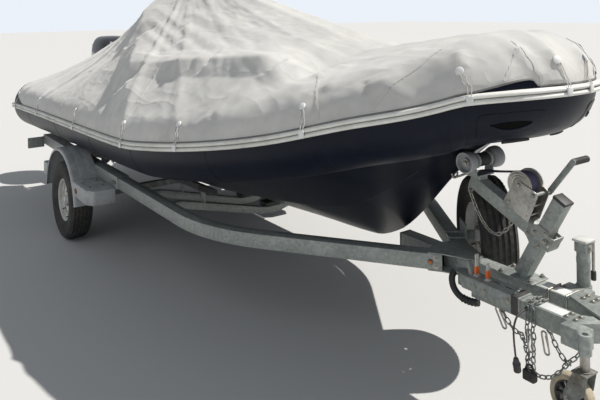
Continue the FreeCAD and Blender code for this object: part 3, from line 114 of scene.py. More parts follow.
# Mesh tools
class Meshes:
    """Small builders that turn points and faces into finished mesh objects."""

    @staticmethod
    def solid(name: str, verts: Sequence[Vector], faces: Sequence[Sequence[int]],
              smooth: bool = True) -> Piece:
        """Makes a linked mesh object.

        Args:
            name: the piece's name.
            verts: its points in the row frame.
            faces: its faces as point numbers.
            smooth: whether faces shade smoothly below the crease angle.

        Returns:
            The new object, at the origin.
        """
        mesh = bpy.data.meshes.new(name)
        mesh.from_pydata([tuple(v) for v in verts], [], [tuple(f) for f in faces])
        mesh.validate()
        obj = linked(name, mesh)
        Meshes.clean(obj, smooth=smooth)
        return obj

    @staticmethod
    def clean(obj: Piece, merge: float = 1e-5, smooth: bool = True, crease: float = 32.0) -> None:
        """Merges doubles, points the faces outwards and sets the shading.

        Args:
            obj: the mesh object.
            merge: how close two points have to be to merge.
            smooth: whether the faces shade smoothly.
            crease: the angle in degrees past which an edge stays sharp.
        """
        work = bmesh.new()
        work.from_mesh(obj.data)
        bmesh.ops.remove_doubles(work, verts=work.verts, dist=merge)
        bmesh.ops.recalc_face_normals(work, faces=work.faces)
        work.to_mesh(obj.data)
        work.free()
        if smooth:
            Meshes.shade(obj, crease)

    @staticmethod
    def shade(obj: Piece, crease: float) -> None:
        """Shades a mesh smoothly, but for edges past an angle in degrees."""
        obj.data.shade_smooth()
        obj.data.set_sharp_from_angle(angle=math.radians(crease))

    @staticmethod
    def carve(obj: Piece, tool: Piece) -> None:
        """Cuts a closed tool out of a closed mesh and removes the tool.

        Args:
            obj: the mesh that is cut.
            tool: what is cut away.
        """
        step = obj.modifiers.new("cut", "BOOLEAN")
        step.object, step.operation, step.solver = tool, "DIFFERENCE", "EXACT"
        Meshes.apply(obj)
        bpy.data.objects.remove(tool)

    @staticmethod
    def rings(name: str, rings: Sequence[Sequence[Vector]], closed: bool = True, capped: bool = True,
              looped: bool = False) -> Piece:
        """A skin over rings of equal length.

        Args:
            name: the piece's name.
            rings: the rings, in order.
            closed: whether each ring closes on itself.
            capped: whether the first and last ring get a face.
            looped: whether the last ring joins the first.

        Returns:
            The new object.
        """
        verts = [p for ring in rings for p in ring]
        size = len(rings[0])
        faces = []
        last = size if closed else size - 1
        count = len(rings) if looped else len(rings) - 1
        for i in range(count):
            low, high = i * size, ((i + 1) % len(rings)) * size
            for j in range(last):
                k = (j + 1) % size
                faces.append((low + j, low + k, high + k, high + j))
        if capped and closed and not looped:
            faces.append(tuple(range(size)))
            faces.append(tuple(range((len(rings) - 1) * size, len(rings) * size)))
        return Meshes.solid(name, verts, faces)

    @staticmethod
    def lathe(name: str, outline: Sequence[tuple[float, float]], foot: Vector, axis: Vector,
              steps: int = 48) -> Piece:
        """A solid of revolution, whose outline closes on itself unless it touches the axis.

        Args:
            name: the piece's name.
            outline: radius and distance along the axis of each point.
            foot: where the axis starts.
            axis: its direction.
            steps: how many steps go round.

        Returns:
            The new object.
        """
        along = axis.normalized()
        rings = [[foot + out * r + along * a for r, a in outline] for out in ways(axis, steps)]
        return Meshes.rings(name, rings, closed=min(r for r, _ in outline) > 0, looped=True)

    @staticmethod
    def tube(name: str, path: Sequence[Vector], radius: float, sides: int = 10,
             looped: bool = False) -> Piece:
        """A round bar that follows points.

        Args:
            name: the piece's name.
            path: the points of its middle line.
            radius: its radius.
            sides: how many sides it has.
            looped: whether it closes on itself.

        Returns:
            The new object.
        """
        rings = []
        count = len(path)
        up = None
        for i, p in enumerate(path):
            before = path[i - 1] if i or looped else path[i]
            after = path[(i + 1) % count] if i < count - 1 or looped else path[i]
            along = (after - before).normalized()
            side = up.cross(along) if up else along.orthogonal()
            if side.length < 1e-6:
                side = along.orthogonal()
            side.normalize()
            up = along.cross(side)
            rings.append([p + (side * math.cos(t) + up * math.sin(t)) * radius
                          for t in turns(sides)])
        return Meshes.rings(name, rings, looped=looped)

    @staticmethod
    def box(name: str, low: Sequence[float], high: Sequence[float], bevel: float = 0.002) -> Piece:
        """A box with rounded edges.

        Args:
            name: the piece's name.
            low: its lowest corner in the row frame.
            high: its highest corner.
            bevel: how far its edges are rounded.

        Returns:
            The new object.
        """
        x0, y0, z0 = low
        x1, y1, z1 = high
        verts = [Vector(p) for p in ((x0, y0, z0), (x1, y0, z0), (x1, y1, z0), (x0, y1, z0),
                                     (x0, y0, z1), (x1, y0, z1), (x1, y1, z1), (x0, y1, z1))]
        faces = [(0, 3, 2, 1), (4, 5, 6, 7), (0, 1, 5, 4), (1, 2, 6, 5), (2, 3, 7, 6), (3, 0, 4, 7)]
        obj = Meshes.solid(name, verts, faces, smooth=False)
        Meshes.bevel(obj, bevel)
        return obj

    @staticmethod
    def plate(name: str, outline: Sequence[Vector], depth: Vector, bevel: float = 0.001) -> Piece:
        """A flat outline given a thickness.

        Args:
            name: the piece's name.
            outline: its corners in order.
            depth: the direction and length of its thickness.
            bevel: how far its edges are rounded.

        Returns:
            The new object.
        """
        size = len(outline)
        verts = list(outline) + [p + depth for p in outline]
        faces = [tuple(range(size)), tuple(range(2 * size - 1, size - 1, -1))]
        faces += [(i, (i + 1) % size, (i + 1) % size + size, i + size) for i in range(size)]
        obj = Meshes.solid(name, verts, faces, smooth=False)
        Meshes.bevel(obj, bevel)
        return obj

    @staticmethod
    def bevel(obj: Piece, width: float, segments: int = 2, angle: float = 28.0) -> None:
        """Rounds the sharp edges of a mesh for good.

        Args:
            obj: the mesh object.
            width: how far each edge is rounded.
            segments: how many faces go round an edge.
            angle: the angle in degrees past which an edge is rounded.
        """
        if width > 0:
            step = obj.modifiers.new("round", "BEVEL")
            step.width = width
            step.segments = segments
            step.limit_method = "ANGLE"
            step.angle_limit = math.radians(angle)
            step.use_clamp_overlap = True
            Meshes.apply(obj)
        Meshes.shade(obj, angle)

    @staticmethod
    def apply(obj: Piece) -> None:
        """Turns the object with its modifiers into a plain mesh.

        Args:
            obj: the mesh object.
        """
        bpy.context.view_layer.update()
        graph = bpy.context.evaluated_depsgraph_get()
        mesh = bpy.data.meshes.new_from_object(obj.evaluated_get(graph), depsgraph=graph)
        mesh.name = obj.name
        obj.modifiers.clear()
        obj.data = mesh

    @staticmethod
    def join(name: str, objects: Sequence[Piece]) -> Piece:
        """Joins finished meshes into one object, with their materials.

        Args:
            name: the joined piece's name.
            objects: the meshes.

        Returns:
            The joined object.
        """
        work = bmesh.new()
        slots: list[Material] = []
        for obj in objects:
            base = len(work.faces)
            work.from_mesh(obj.data)
            work.faces.ensure_lookup_table()
            own = list(obj.data.materials) or [None]
            for face in work.faces[base:]:
                material = own[min(face.material_index, len(own) - 1)]
                if material not in slots:
                    slots.append(material)
                face.material_index = slots.index(material)
        mesh = bpy.data.meshes.new(name)
        work.to_mesh(mesh)
        work.free()
        for material in slots:
            if material:
                mesh.materials.append(material)
        for obj in objects:
            bpy.data.objects.remove(obj)
        joined = linked(name, mesh)
        return joined


def curve_between(rows: Sequence[Sequence[float]], x: float, column: int = 1) -> float:
    """A smooth value between the rows of a table, without overshoot.

    Args:
        rows: rows whose first column rises.
        x: where in the first column.
        column: which column is asked for.

    Returns:
        The value there.
    """
    if x <= rows[0][0]:
        return rows[0][column]
    if x >= rows[-1][0]:
        return rows[-1][column]
    slopes = [(b[column] - a[column]) / (b[0] - a[0]) for a, b in zip(rows, rows[1:])]
    for i, (a, b) in enumerate(zip(rows, rows[1:])):
        if x <= b[0]:
            break

    def tangent(k: int) -> float:
        """The slope at one row, zero where the values turn.

        Args:
            k: the row's number.

        Returns:
            The slope.
        """
        if k == 0 or k == len(rows) - 1:
            return slopes[min(k, len(slopes) - 1)]
        before, after = slopes[k - 1], slopes[k]
        if before * after <= 0:
            return 0.0
        return 2 * before * after / (before + after)

    run = b[0] - a[0]
    t = (x - a[0]) / run
    m0, m1 = tangent(i) * run, tangent(i + 1) * run
    t2, t3 = t * t, t * t * t
    smooth = 3 * t2 - 2 * t3
    return (1 - smooth) * a[column] + (t3 - 2 * t2 + t) * m0 + smooth * b[column] + (t3 - t2) * m1


def spaced(start: float, end: float, count: int) -> list[float]:
    """Evenly spaced values from start to end."""
    return [start + (end - start) * i / (count - 1) for i in range(count)]


# Repeated pieces
class Repeater:
    """Copies one template mesh onto many places with a Geometry Nodes tree."""

    @staticmethod
    def tree(name: str, template: Piece, material: Material) -> Tree:
        """Builds the tree that sets the template on each point.

        Args:
            name: the tree's name.
            template: the object that is repeated.
            material: the material that every copy gets.

        Returns:
            The node tree, with the inputs Geometry and Size.
        """
        tree = bpy.data.node_groups.new(name, "GeometryNodeTree")
        tree.interface.new_socket("Geometry", in_out="INPUT", socket_type="NodeSocketGeometry")
        tree.interface.new_socket("Size", in_out="INPUT", socket_type="NodeSocketFloat").default_value = 1.0
        tree.interface.new_socket("Geometry", in_out="OUTPUT", socket_type="NodeSocketGeometry")
        make = tree.nodes.new
        start, end = make("NodeGroupInput"), make("NodeGroupOutput")
        points, info = make("GeometryNodeMeshToPoints"), make("GeometryNodeObjectInfo")
        turn, place = make("GeometryNodeInputNamedAttribute"), make("GeometryNodeInstanceOnPoints")
        size, scale = make("GeometryNodeInputNamedAttribute"), make("ShaderNodeVectorMath")
        whole, coat = make("GeometryNodeRealizeInstances"), make("GeometryNodeSetMaterial")
        turn.data_type, size.data_type = "FLOAT_VECTOR", "FLOAT_VECTOR"
        turn.inputs["Name"].default_value, size.inputs["Name"].default_value = "turn", "size"
        scale.operation = "SCALE"
        info.inputs["Object"].default_value = template
        coat.inputs["Material"].default_value = material
        link = tree.links.new
        link(start.outputs["Geometry"], points.inputs["Mesh"])
        link(points.outputs["Points"], place.inputs["Points"])
        link(info.outputs["Geometry"], place.inputs["Instance"])
        link(turn.outputs["Attribute"], place.inputs["Rotation"])
        link(size.outputs["Attribute"], scale.inputs[0])
        link(start.outputs["Size"], scale.inputs["Scale"])
        link(scale.outputs["Vector"], place.inputs["Scale"])
        link(place.outputs["Instances"], whole.inputs["Geometry"])
        link(whole.outputs["Geometry"], coat.inputs["Geometry"])
        link(coat.outputs["Geometry"], end.inputs["Geometry"])
        return tree

    @staticmethod
    def spread(name: str, template: Piece, places: Sequence[Matrix], material: Material,
               size: float = 1.0) -> Piece:
        """Repeats a template and returns the copies as one plain mesh.

        Args:
            name: the new piece's name.
            template: the object that is repeated; it is removed afterwards.
            places: where each copy goes, with its turn and scale.
            material: the copies' material.
            size: one scale for all of them.

        Returns:
            One object that holds every copy.
        """
        mesh = bpy.data.meshes.new(name)
        mesh.from_pydata([tuple(m.translation) for m in places], [], [])
        for label, values in (("turn", [m.to_euler() for m in places]),
                              ("size", [m.to_scale() for m in places])):
            layer = mesh.attributes.new(label, "FLOAT_VECTOR", "POINT")
            layer.data.foreach_set("vector", [c for v in values for c in v])
        obj = linked(name, mesh)
        tree = Repeater.tree(name + "_tree", template, material)
        step = obj.modifiers.new("repeat", "NODES")
        step.node_group = tree
        for item in tree.interface.items_tree:
            if item.item_type == "SOCKET" and item.in_out == "INPUT" and item.name == "Size":
                step[item.identifier] = size
        Meshes.apply(obj)
        bpy.data.objects.remove(template)
        bpy.data.node_groups.remove(tree)
        Meshes.shade(obj, 35)
        return obj


def facing(point: Vector, out: Vector, spin: float = 0.0, scale: float = 1.0) -> Matrix:
    """A place at a point whose Z axis looks along a direction.

    Args:
        point: the place's point.
        out: the direction.
        spin: a turn about it, in degrees.
        scale: its scale.

    Returns:
        The place as a matrix.
    """
    turn = out.normalized().to_track_quat("Z", "Y").to_matrix().to_4x4()
    place = Matrix.Translation(point) @ turn @ Matrix.Rotation(math.radians(spin), 4, "Z")
    return place @ Matrix.Scale(scale, 4)


# Finishes
class Effect(Enum):
    """Named surface effects that several finishes share."""

    SPANGLE = "spangle"
    GRIME = "grime"
    WEAVE = "weave"
    GRAIN = "grain"


class Effects:
    """Builds each shared effect once, as a shader node group that puts out masks and heights."""

    made: dict[Effect, Tree] = {}

    @classmethod
    def group(cls, effect: Effect) -> Tree:
        """The node group of an effect, with Vector and Scale in and Mask and Height out.

        Args:
            effect: which effect.

        Returns:
            The group.
        """
        if effect not in cls.made:
            tree = bpy.data.node_groups.new(effect.value, "ShaderNodeTree")
            tree.interface.new_socket("Vector", in_out="INPUT", socket_type="NodeSocketVector")
            tree.interface.new_socket("Scale", in_out="INPUT",
                                      socket_type="NodeSocketFloat").default_value = 10.0
            tree.interface.new_socket("Mask", in_out="OUTPUT", socket_type="NodeSocketFloat")
            tree.interface.new_socket("Height", in_out="OUTPUT", socket_type="NodeSocketFloat")
            start, end = tree.nodes.new("NodeGroupInput"), tree.nodes.new("NodeGroupOutput")
            getattr(cls, effect.value)(tree, start, end)
            cls.made[effect] = tree
        return cls.made[effect]

    @staticmethod
    def texture(tree: Tree, kind: str, start: Node, factor: float, **values: float) -> Node:
        """A texture node fed by the group's Vector and its Scale times a factor.

        Args:
            tree: the group.
            kind: the texture node's type.
            start: the group's input node.
            factor: what the scale is multiplied by.
            values: further inputs by name.

        Returns:
            The texture node.
        """
        node, times = tree.nodes.new(kind), tree.nodes.new("ShaderNodeMath")
        times.operation = "MULTIPLY"
        times.inputs[1].default_value = factor
        tree.links.new(start.outputs["Scale"], times.inputs[0])
        tree.links.new(start.outputs["Vector"], node.inputs["Vector"])
        tree.links.new(times.outputs[0], node.inputs["Scale"])
        for name, value in values.items():
            node.inputs[name.replace("_", " ")].default_value = value
        return node

    @staticmethod
    def math(tree: Tree, operation: str, *values: object) -> Socket:
        """A math node's result, from sockets or numbers.

        Args:
            tree: the tree it stands in.
            operation: what it works out.
            values: its inputs.

        Returns:
            The socket of its result.
        """
        node = tree.nodes.new("ShaderNodeMath")
        node.operation = operation
        for i, value in enumerate(values):
            if isinstance(value, (int, float)):
                node.inputs[i].default_value = value
            else:
                tree.links.new(value, node.inputs[i])
        return node.outputs[0]

    @classmethod
    def spangle(cls, tree: Tree, start: Node, end: Node) -> None:
        """Zinc crystals: cells of differing tone over soft blotches.

        Args:
            tree: the group.
            start: its input node.
            end: its output node.
        """
        cells = cls.texture(tree, "ShaderNodeTexVoronoi", start, 1.0)
        soft = cls.texture(tree, "ShaderNodeTexNoise", start, 0.16, Detail=4.0)
        fine = cls.texture(tree, "ShaderNodeTexNoise", start, 3.0, Detail=3.0)
        tone = cls.math(tree, "MULTIPLY", cells.outputs["Color"], 0.45)
        mixed = cls.math(tree, "ADD", tone, cls.math(tree, "MULTIPLY", soft.outputs["Fac"], 0.75))
        tree.links.new(mixed, end.inputs["Mask"])
        tree.links.new(fine.outputs["Fac"], end.inputs["Height"])

    @classmethod
    def grime(cls, tree: Tree, start: Node, end: Node) -> None:
        """Patches of dirt, worn thin by a finer noise.

        Args:
            tree: the group.
            start: its input node.
            end: its output node.
        """
        wide = cls.texture(tree, "ShaderNodeTexNoise", start, 1.0, Detail=6.0, Roughness=0.65)
        fine = cls.texture(tree, "ShaderNodeTexNoise", start, 9.0, Detail=3.0)
        both = cls.math(tree, "MULTIPLY", wide.outputs["Fac"],
                        cls.math(tree, "ADD", fine.outputs["Fac"], 0.5))
        sharp = tree.nodes.new("ShaderNodeMapRange")
        sharp.inputs["From Min"].default_value = 0.42
        sharp.inputs["From Max"].default_value = 0.72
        tree.links.new(both, sharp.inputs["Value"])
        tree.links.new(sharp.outputs["Result"], end.inputs["Mask"])
        tree.links.new(fine.outputs["Fac"], end.inputs["Height"])

    @classmethod
    def weave(cls, tree: Tree, start: Node, end: Node) -> None:
        """Crossed threads with a little unevenness.

        Args:
            tree: the group.
            start: its input node.
            end: its output node.
        """
        bands = []
        for direction in ("X", "Y", "Z"):
            wave = cls.texture(tree, "ShaderNodeTexWave", start, 1.0, Distortion=0.35, Detail=1.0)
            wave.bands_direction = direction
            bands.append(wave.outputs["Fac"])
        height = cls.math(tree, "MAXIMUM", cls.math(tree, "MAXIMUM", bands[0], bands[1]), bands[2])
        cloud = cls.texture(tree, "ShaderNodeTexNoise", start, 0.012, Detail=5.0, Roughness=0.6)
        tree.links.new(cloud.outputs["Fac"], end.inputs["Mask"])
        tree.links.new(height, end.inputs["Height"])

    @classmethod
    def grain(cls, tree: Tree, start: Node, end: Node) -> None:
        """The fine pebbled face of coated fabric, rubber and moulded plastic.

        Args:
            tree: the group.
            start: its input node.
            end: its output node.
        """
        cells = cls.texture(tree, "ShaderNodeTexVoronoi", start, 1.0)
        cloud = cls.texture(tree, "ShaderNodeTexNoise", start, 0.03, Detail=5.0, Roughness=0.6)
        tree.links.new(cloud.outputs["Fac"], end.inputs["Mask"])
        tree.links.new(cells.outputs["Distance"], end.inputs["Height"])


@dataclass(frozen=True)
class Finish:
    """One finish: two tones mixed by an effect's mask, with roughness and relief to match."""

    name: str
    tone: Point
    second: Point
    effect: Effect = Effect.GRAIN
    scale: float = 300.0
    rough: tuple[float, float] = (0.4, 0.6)
    metallic: float = 0.0
    relief: float = 0.1
    depth: float = 0.001
    coat: float = 0.0
    gloss: float = 0.5
    sheen: float = 0.0
    dirt: Point = (0.16, 0.14, 0.11)
    dirt_amount: float = 0.15
    dirt_scale: float = 3.0
    spread: tuple[float, float] = (0.3, 0.7)
    stretch: Point = (1.0, 1.0, 1.0)

    def build(self) -> Material:
        """Builds the material, or returns the one already built.

        Returns:
            The material.
        """
        title = self.name + "_finish"
        if title in bpy.data.materials:
            return bpy.data.materials[title]
        material = bpy.data.materials.new(title)
        material.use_nodes = True
        tree = material.node_tree
        link = tree.links.new
        shader = tree.nodes["Principled BSDF"]
        place, mapping = tree.nodes.new("ShaderNodeTexCoord"), tree.nodes.new("ShaderNodeMapping")
        mapping.inputs["Scale"].default_value = self.stretch
        link(place.outputs["Object"], mapping.inputs["Vector"])
        face = self.placed(tree, self.effect, mapping, self.scale)
        soil = self.placed(tree, Effect.GRIME, mapping, self.dirt_scale)
        spread = tree.nodes.new("ShaderNodeMapRange")
        spread.inputs["From Min"].default_value, spread.inputs["From Max"].default_value = self.spread
        link(face.outputs["Mask"], spread.inputs["Value"])
        tones, dirty = tree.nodes.new("ShaderNodeMix"), tree.nodes.new("ShaderNodeMix")
        for mix in (tones, dirty):
            mix.data_type = "RGBA"
        tones.inputs[6].default_value = (*self.tone, 1.0)
        tones.inputs[7].default_value = (*self.second, 1.0)
        link(spread.outputs["Result"], tones.inputs[0])
        amount = Effects.math(tree, "MULTIPLY", soil.outputs["Mask"], self.dirt_amount)
        link(amount, dirty.inputs[0])
        link(tones.outputs[2], dirty.inputs[6])
        dirty.inputs[7].default_value = (*self.dirt, 1.0)
        link(dirty.outputs[2], shader.inputs["Base Color"])
        rough = tree.nodes.new("ShaderNodeMapRange")
        rough.inputs["To Min"].default_value, rough.inputs["To Max"].default_value = self.rough
        link(Effects.math(tree, "ADD", face.outputs["Mask"], amount), rough.inputs["Value"])
        link(rough.outputs["Result"], shader.inputs["Roughness"])
        bump = tree.nodes.new("ShaderNodeBump")
        bump.inputs["Strength"].default_value = self.relief
        bump.inputs["Distance"].default_value = self.depth
        link(face.outputs["Height"], bump.inputs["Height"])
        link(bump.outputs["Normal"], shader.inputs["Normal"])
        shader.inputs["Metallic"].default_value = self.metallic
        shader.inputs["Coat Weight"].default_value = self.coat
        shader.inputs["Specular IOR Level"].default_value = self.gloss
        shader.inputs["Sheen Weight"].default_value = self.sheen
        self.extras(tree, shader, mapping, dirty)
        return material

    def extras(self, tree: Tree, shader: Node, mapping: Node, colour: Node) -> None:
        """What a finish of its own adds to the shared build; the plain one adds nothing.

        Args:
            tree: the material's nodes.
            shader: its shader.
            mapping: the node that places its pattern.
            colour: the node of its colour; not used.
        """

    @staticmethod
    def placed(tree: Tree, effect: Effect, mapping: Node, scale: float) -> Node:
        """An effect's group node in a material, at one scale.

        Args:
            tree: the material's nodes.
            effect: which effect.
            mapping: the node that places its pattern.
            scale: the pattern's scale.

        Returns:
            The group's node.
        """
        node = tree.nodes.new("ShaderNodeGroup")
        node.node_tree = Effects.group(effect)
        node.inputs["Scale"].default_value = scale
        tree.links.new(mapping.outputs["Vector"], node.inputs["Vector"])
        return node


@dataclass(frozen=True)
class Cloth(Finish):
    """Stretched cloth, crumpled finely all over."""

    def extras(self, tree: Tree, shader: Node, mapping: Node, colour: Node) -> None:
        """Adds two sizes of fine creases to the weave's relief.

        Args:
            tree: the material's nodes.
            shader: its shader.
            mapping: the node that places its pattern.
            colour: the node of its colour; not used.
        """
        weave, pulled = shader.inputs["Normal"].links[0].from_node, tree.nodes.new("ShaderNodeMapping")
        pulled.inputs["Scale"].default_value = (0.5, 1.25, 1.25)
        pulled.inputs["Rotation"].default_value = (0.0, 0.35, 0.2)
        tree.links.new(mapping.outputs["Vector"], pulled.inputs["Vector"])
        for scale, depth in ((1.5, 0.012), (4.6, 0.0045)):
            swirl, wave = tree.nodes.new("ShaderNodeTexNoise"), tree.nodes.new("ShaderNodeTexNoise")
            shift = tree.nodes.new("ShaderNodeVectorMath")
            shift.operation = "MULTIPLY_ADD"
            swirl.inputs["Scale"].default_value = scale * 0.6
            tree.links.new(pulled.outputs["Vector"], swirl.inputs["Vector"])
            tree.links.new(swirl.outputs["Color"], shift.inputs[0])
            shift.inputs[1].default_value = (0.3 / scale,) * 3
            tree.links.new(pulled.outputs["Vector"], shift.inputs[2])
            tree.links.new(shift.outputs["Vector"], wave.inputs["Vector"])
            wave.inputs["Scale"].default_value = scale
            wave.inputs["Detail"].default_value = 2.0
            off = Effects.math(tree, "ABSOLUTE", Effects.math(tree, "SUBTRACT", wave.outputs["Fac"], 0.5))
            ridge = Effects.math(tree, "SUBTRACT", 1.0, Effects.math(tree, "MULTIPLY", off, 2.0))
            bump = tree.nodes.new("ShaderNodeBump")
            bump.inputs["Strength"].default_value = 0.5
            bump.inputs["Distance"].default_value = depth
            tree.links.new(Effects.math(tree, "POWER", ridge, 5.0), bump.inputs["Height"])
            tree.links.new(weave.outputs["Normal"], bump.inputs["Normal"])
            tree.links.new(bump.outputs["Normal"], shader.inputs["Normal"])
            weave = bump


@dataclass(frozen=True)
class Lens(Finish):
    """A clear coloured lamp lens."""

    def extras(self, tree: Tree, shader: Node, mapping: Node, colour: Node) -> None:
        """Lets some light into the lens."""
        shader.inputs["Transmission Weight"].default_value = 0.35
        shader.inputs["IOR"].default_value = 1.49


GALVANISED = Finish("galvanised", (0.225, 0.25, 0.24), (0.36, 0.39, 0.372), Effect.SPANGLE, 75.0,
                    (0.34, 0.6), 0.25, 0.15, dirt=(0.16, 0.15, 0.12), dirt_amount=0.42, dirt_scale=6.0,
                    spread=(0.36, 0.82))
OLD_GALVANISED = Finish("old_galvanised", (0.13, 0.145, 0.14), (0.30, 0.325, 0.315), Effect.SPANGLE, 50.0,
                        (0.5, 0.75), 0.35, 0.2, dirt=(0.15, 0.11, 0.07), dirt_amount=0.7, dirt_scale=7.0,
                        spread=(0.42, 0.78))
ZINC = Finish("zinc_plate", (0.30, 0.30, 0.29), (0.46, 0.455, 0.42), Effect.SPANGLE, 160.0, (0.25, 0.5),
              0.9, 0.05, dirt=(0.25, 0.18, 0.1), dirt_amount=0.4, dirt_scale=9.0)
FENDER_GREY = Finish("fender_grey", (0.33, 0.345, 0.36), (0.42, 0.435, 0.45), Effect.GRAIN, 420.0,
                     (0.4, 0.55), 0.0, 0.15, dirt=(0.2, 0.18, 0.15), dirt_amount=0.5, dirt_scale=4.0)
COVER_CLOTH = Cloth("cover_cloth", (0.47, 0.468, 0.455), (0.57, 0.56, 0.535), Effect.WEAVE, 330.0,
                    (0.8, 0.95), 0.0, 0.25, 0.0006, sheen=0.25, dirt=(0.36, 0.35, 0.33), dirt_amount=0.35,
                    dirt_scale=1.6)
# The hem tape is real, but its dark tone is painted shadow: it stands for the shadow line between the hem and
# the strake.
HEM_TAPE_AND_SHADOW = Finish("hem_tape", (0.16, 0.155, 0.155), (0.24, 0.235, 0.23), Effect.WEAVE, 500.0, (0.75, 0.95),
                  relief=0.3)
TUBE_FABRIC = Finish("tube_fabric", (0.0018, 0.0036, 0.011), (0.003, 0.0055, 0.015), Effect.GRAIN, 900.0,
                     (0.32, 0.46), 0.0, 0.08, 0.0004, gloss=0.16, dirt=(0.03, 0.04, 0.055),
                     dirt_amount=0.08, dirt_scale=2.2)
CONE_PLASTIC = Finish("cone_plastic", (0.02, 0.021, 0.023), (0.032, 0.033, 0.035), Effect.GRAIN, 500.0,
                      (0.45, 0.6))
GEL_COAT = Finish("gel_coat", (0.0012, 0.0028, 0.009), (0.0024, 0.0048, 0.013), Effect.GRAIN, 120.0,
                  (0.24, 0.36), 0.0, 0.02, coat=0.08, gloss=0.3, dirt=(0.04, 0.045, 0.05), dirt_amount=0.15,
                  dirt_scale=1.8)
STRAKE_WHITE = Finish("strake_white", (0.66, 0.66, 0.62), (0.76, 0.755, 0.72), Effect.GRAIN, 300.0,
                      (0.42, 0.6), dirt=(0.34, 0.32, 0.27), dirt_amount=0.4, dirt_scale=4.0)
STRAKE_LINE = Finish("strake_line", (0.20, 0.20, 0.19), (0.28, 0.28, 0.27), Effect.GRAIN, 300.0, (0.5, 0.7))
TYRE_RUBBER = Finish("tyre_rubber", (0.018, 0.018, 0.018), (0.034, 0.033, 0.032), Effect.GRAIN, 420.0,
                     (0.7, 0.9), 0.0, 0.3, dirt=(0.13, 0.12, 0.105), dirt_amount=0.55, dirt_scale=6.0)
RIM_ENAMEL = Finish("rim_enamel", (0.55, 0.56, 0.55), (0.66, 0.66, 0.64), Effect.GRAIN, 260.0, (0.35, 0.5),
                    dirt=(0.25, 0.16, 0.09), dirt_amount=0.55, dirt_scale=11.0)
MOTOR_DARK = Finish("motor_dark", (0.028, 0.032, 0.04), (0.04, 0.046, 0.055), Effect.GRAIN, 800.0,
                    (0.15, 0.28), 0.35, 0.03, coat=0.7)
MOTOR_MAROON = Finish("motor_maroon", (0.075, 0.012, 0.016), (0.10, 0.018, 0.02), Effect.GRAIN, 500.0,
                      (0.3, 0.45), coat=0.4)
MOTOR_GREY = Finish("motor_grey", (0.035, 0.04, 0.048), (0.055, 0.06, 0.07), Effect.GRAIN, 500.0,
                    (0.3, 0.45), 0.2, coat=0.3, dirt=(0.12, 0.12, 0.11), dirt_amount=0.3)
MOTOR_STRIPE = Finish("motor_stripe", (0.42, 0.46, 0.5), (0.5, 0.54, 0.58), Effect.GRAIN, 500.0, (0.2, 0.3),
                      0.4, coat=0.6)
BLACK_PLASTIC = Finish("black_plastic", (0.018, 0.018, 0.019), (0.03, 0.03, 0.031), Effect.GRAIN, 600.0,
                       (0.45, 0.65), dirt=(0.12, 0.11, 0.1), dirt_amount=0.4)
ROLLER_RUBBER = Finish("roller_rubber", (0.028, 0.028, 0.028), (0.05, 0.05, 0.048), Effect.GRAIN, 380.0,
                       (0.55, 0.75), dirt=(0.15, 0.14, 0.12), dirt_amount=0.5)
BELL_GREY = Finish("bell_grey", (0.30, 0.31, 0.32), (0.38, 0.39, 0.40), Effect.GRAIN, 380.0, (0.45, 0.6))
CARPET = Finish("bunk_carpet", (0.03, 0.03, 0.033), (0.055, 0.055, 0.06), Effect.GRAIN, 700.0, (0.9, 1.0),
                0.0, 1.0, 0.002, sheen=0.4)
WEBBING = Finish("strap_webbing", (0.055, 0.05, 0.11), (0.10, 0.09, 0.17), Effect.WEAVE, 900.0, (0.7, 0.85),
                 0.0, 0.5)
CASTER_TAN = Finish("caster_tan", (0.36, 0.31, 0.22), (0.46, 0.40, 0.30), Effect.GRAIN, 300.0, (0.5, 0.7),
                    dirt_amount=0.5, dirt_scale=9.0)
BUTTON_WHITE = Finish("button_white", (0.66, 0.67, 0.67), (0.74, 0.74, 0.73), Effect.GRAIN, 300.0,
                      (0.4, 0.55))
SHOCK_CORD = Finish("shock_cord", (0.5, 0.5, 0.49), (0.62, 0.61, 0.58), Effect.WEAVE, 1500.0, (0.7, 0.9),
                    relief=0.4)
# Painted shade: a near-black colour that stands for the shade inside the handles' recesses.
PAINTED_RECESS_SHADE = Finish("hollow_black", (0.002, 0.002, 0.002), (0.003, 0.003, 0.003), rough=(0.8, 0.95),
                dirt_amount=0.0, gloss=0.1)
LENS_RED = Lens("lens_red", (0.38, 0.012, 0.012), (0.48, 0.02, 0.018), Effect.GRAIN, 200.0, (0.12, 0.2),
                coat=0.6)
LENS_AMBER = Lens("lens_amber", (0.60, 0.17, 0.02), (0.70, 0.24, 0.035), Effect.GRAIN, 200.0, (0.12, 0.2),
                  coat=0.6)
ORANGE = Finish("latch_orange", (0.72, 0.13, 0.02), (0.80, 0.18, 0.03), Effect.GRAIN, 400.0, (0.4, 0.55))


def dress(obj: Piece, finish: Finish, body: str = ROOT,
          replaces: Sequence[str] = ()) -> Piece:
    """Gives a finished piece its material, its body and the nodes that it stands for.

    Args:
        obj: the piece.
        finish: its finish; a piece that already has materials keeps them.
        body: the body that it rides on.
        replaces: the nodes that it stands for.

    Returns:
        The same piece.
    """
    if not obj.data.materials:
        obj.data.materials.append(finish.build())
    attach(obj, body)
    if replaces:
        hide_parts(*replaces)
    return obj


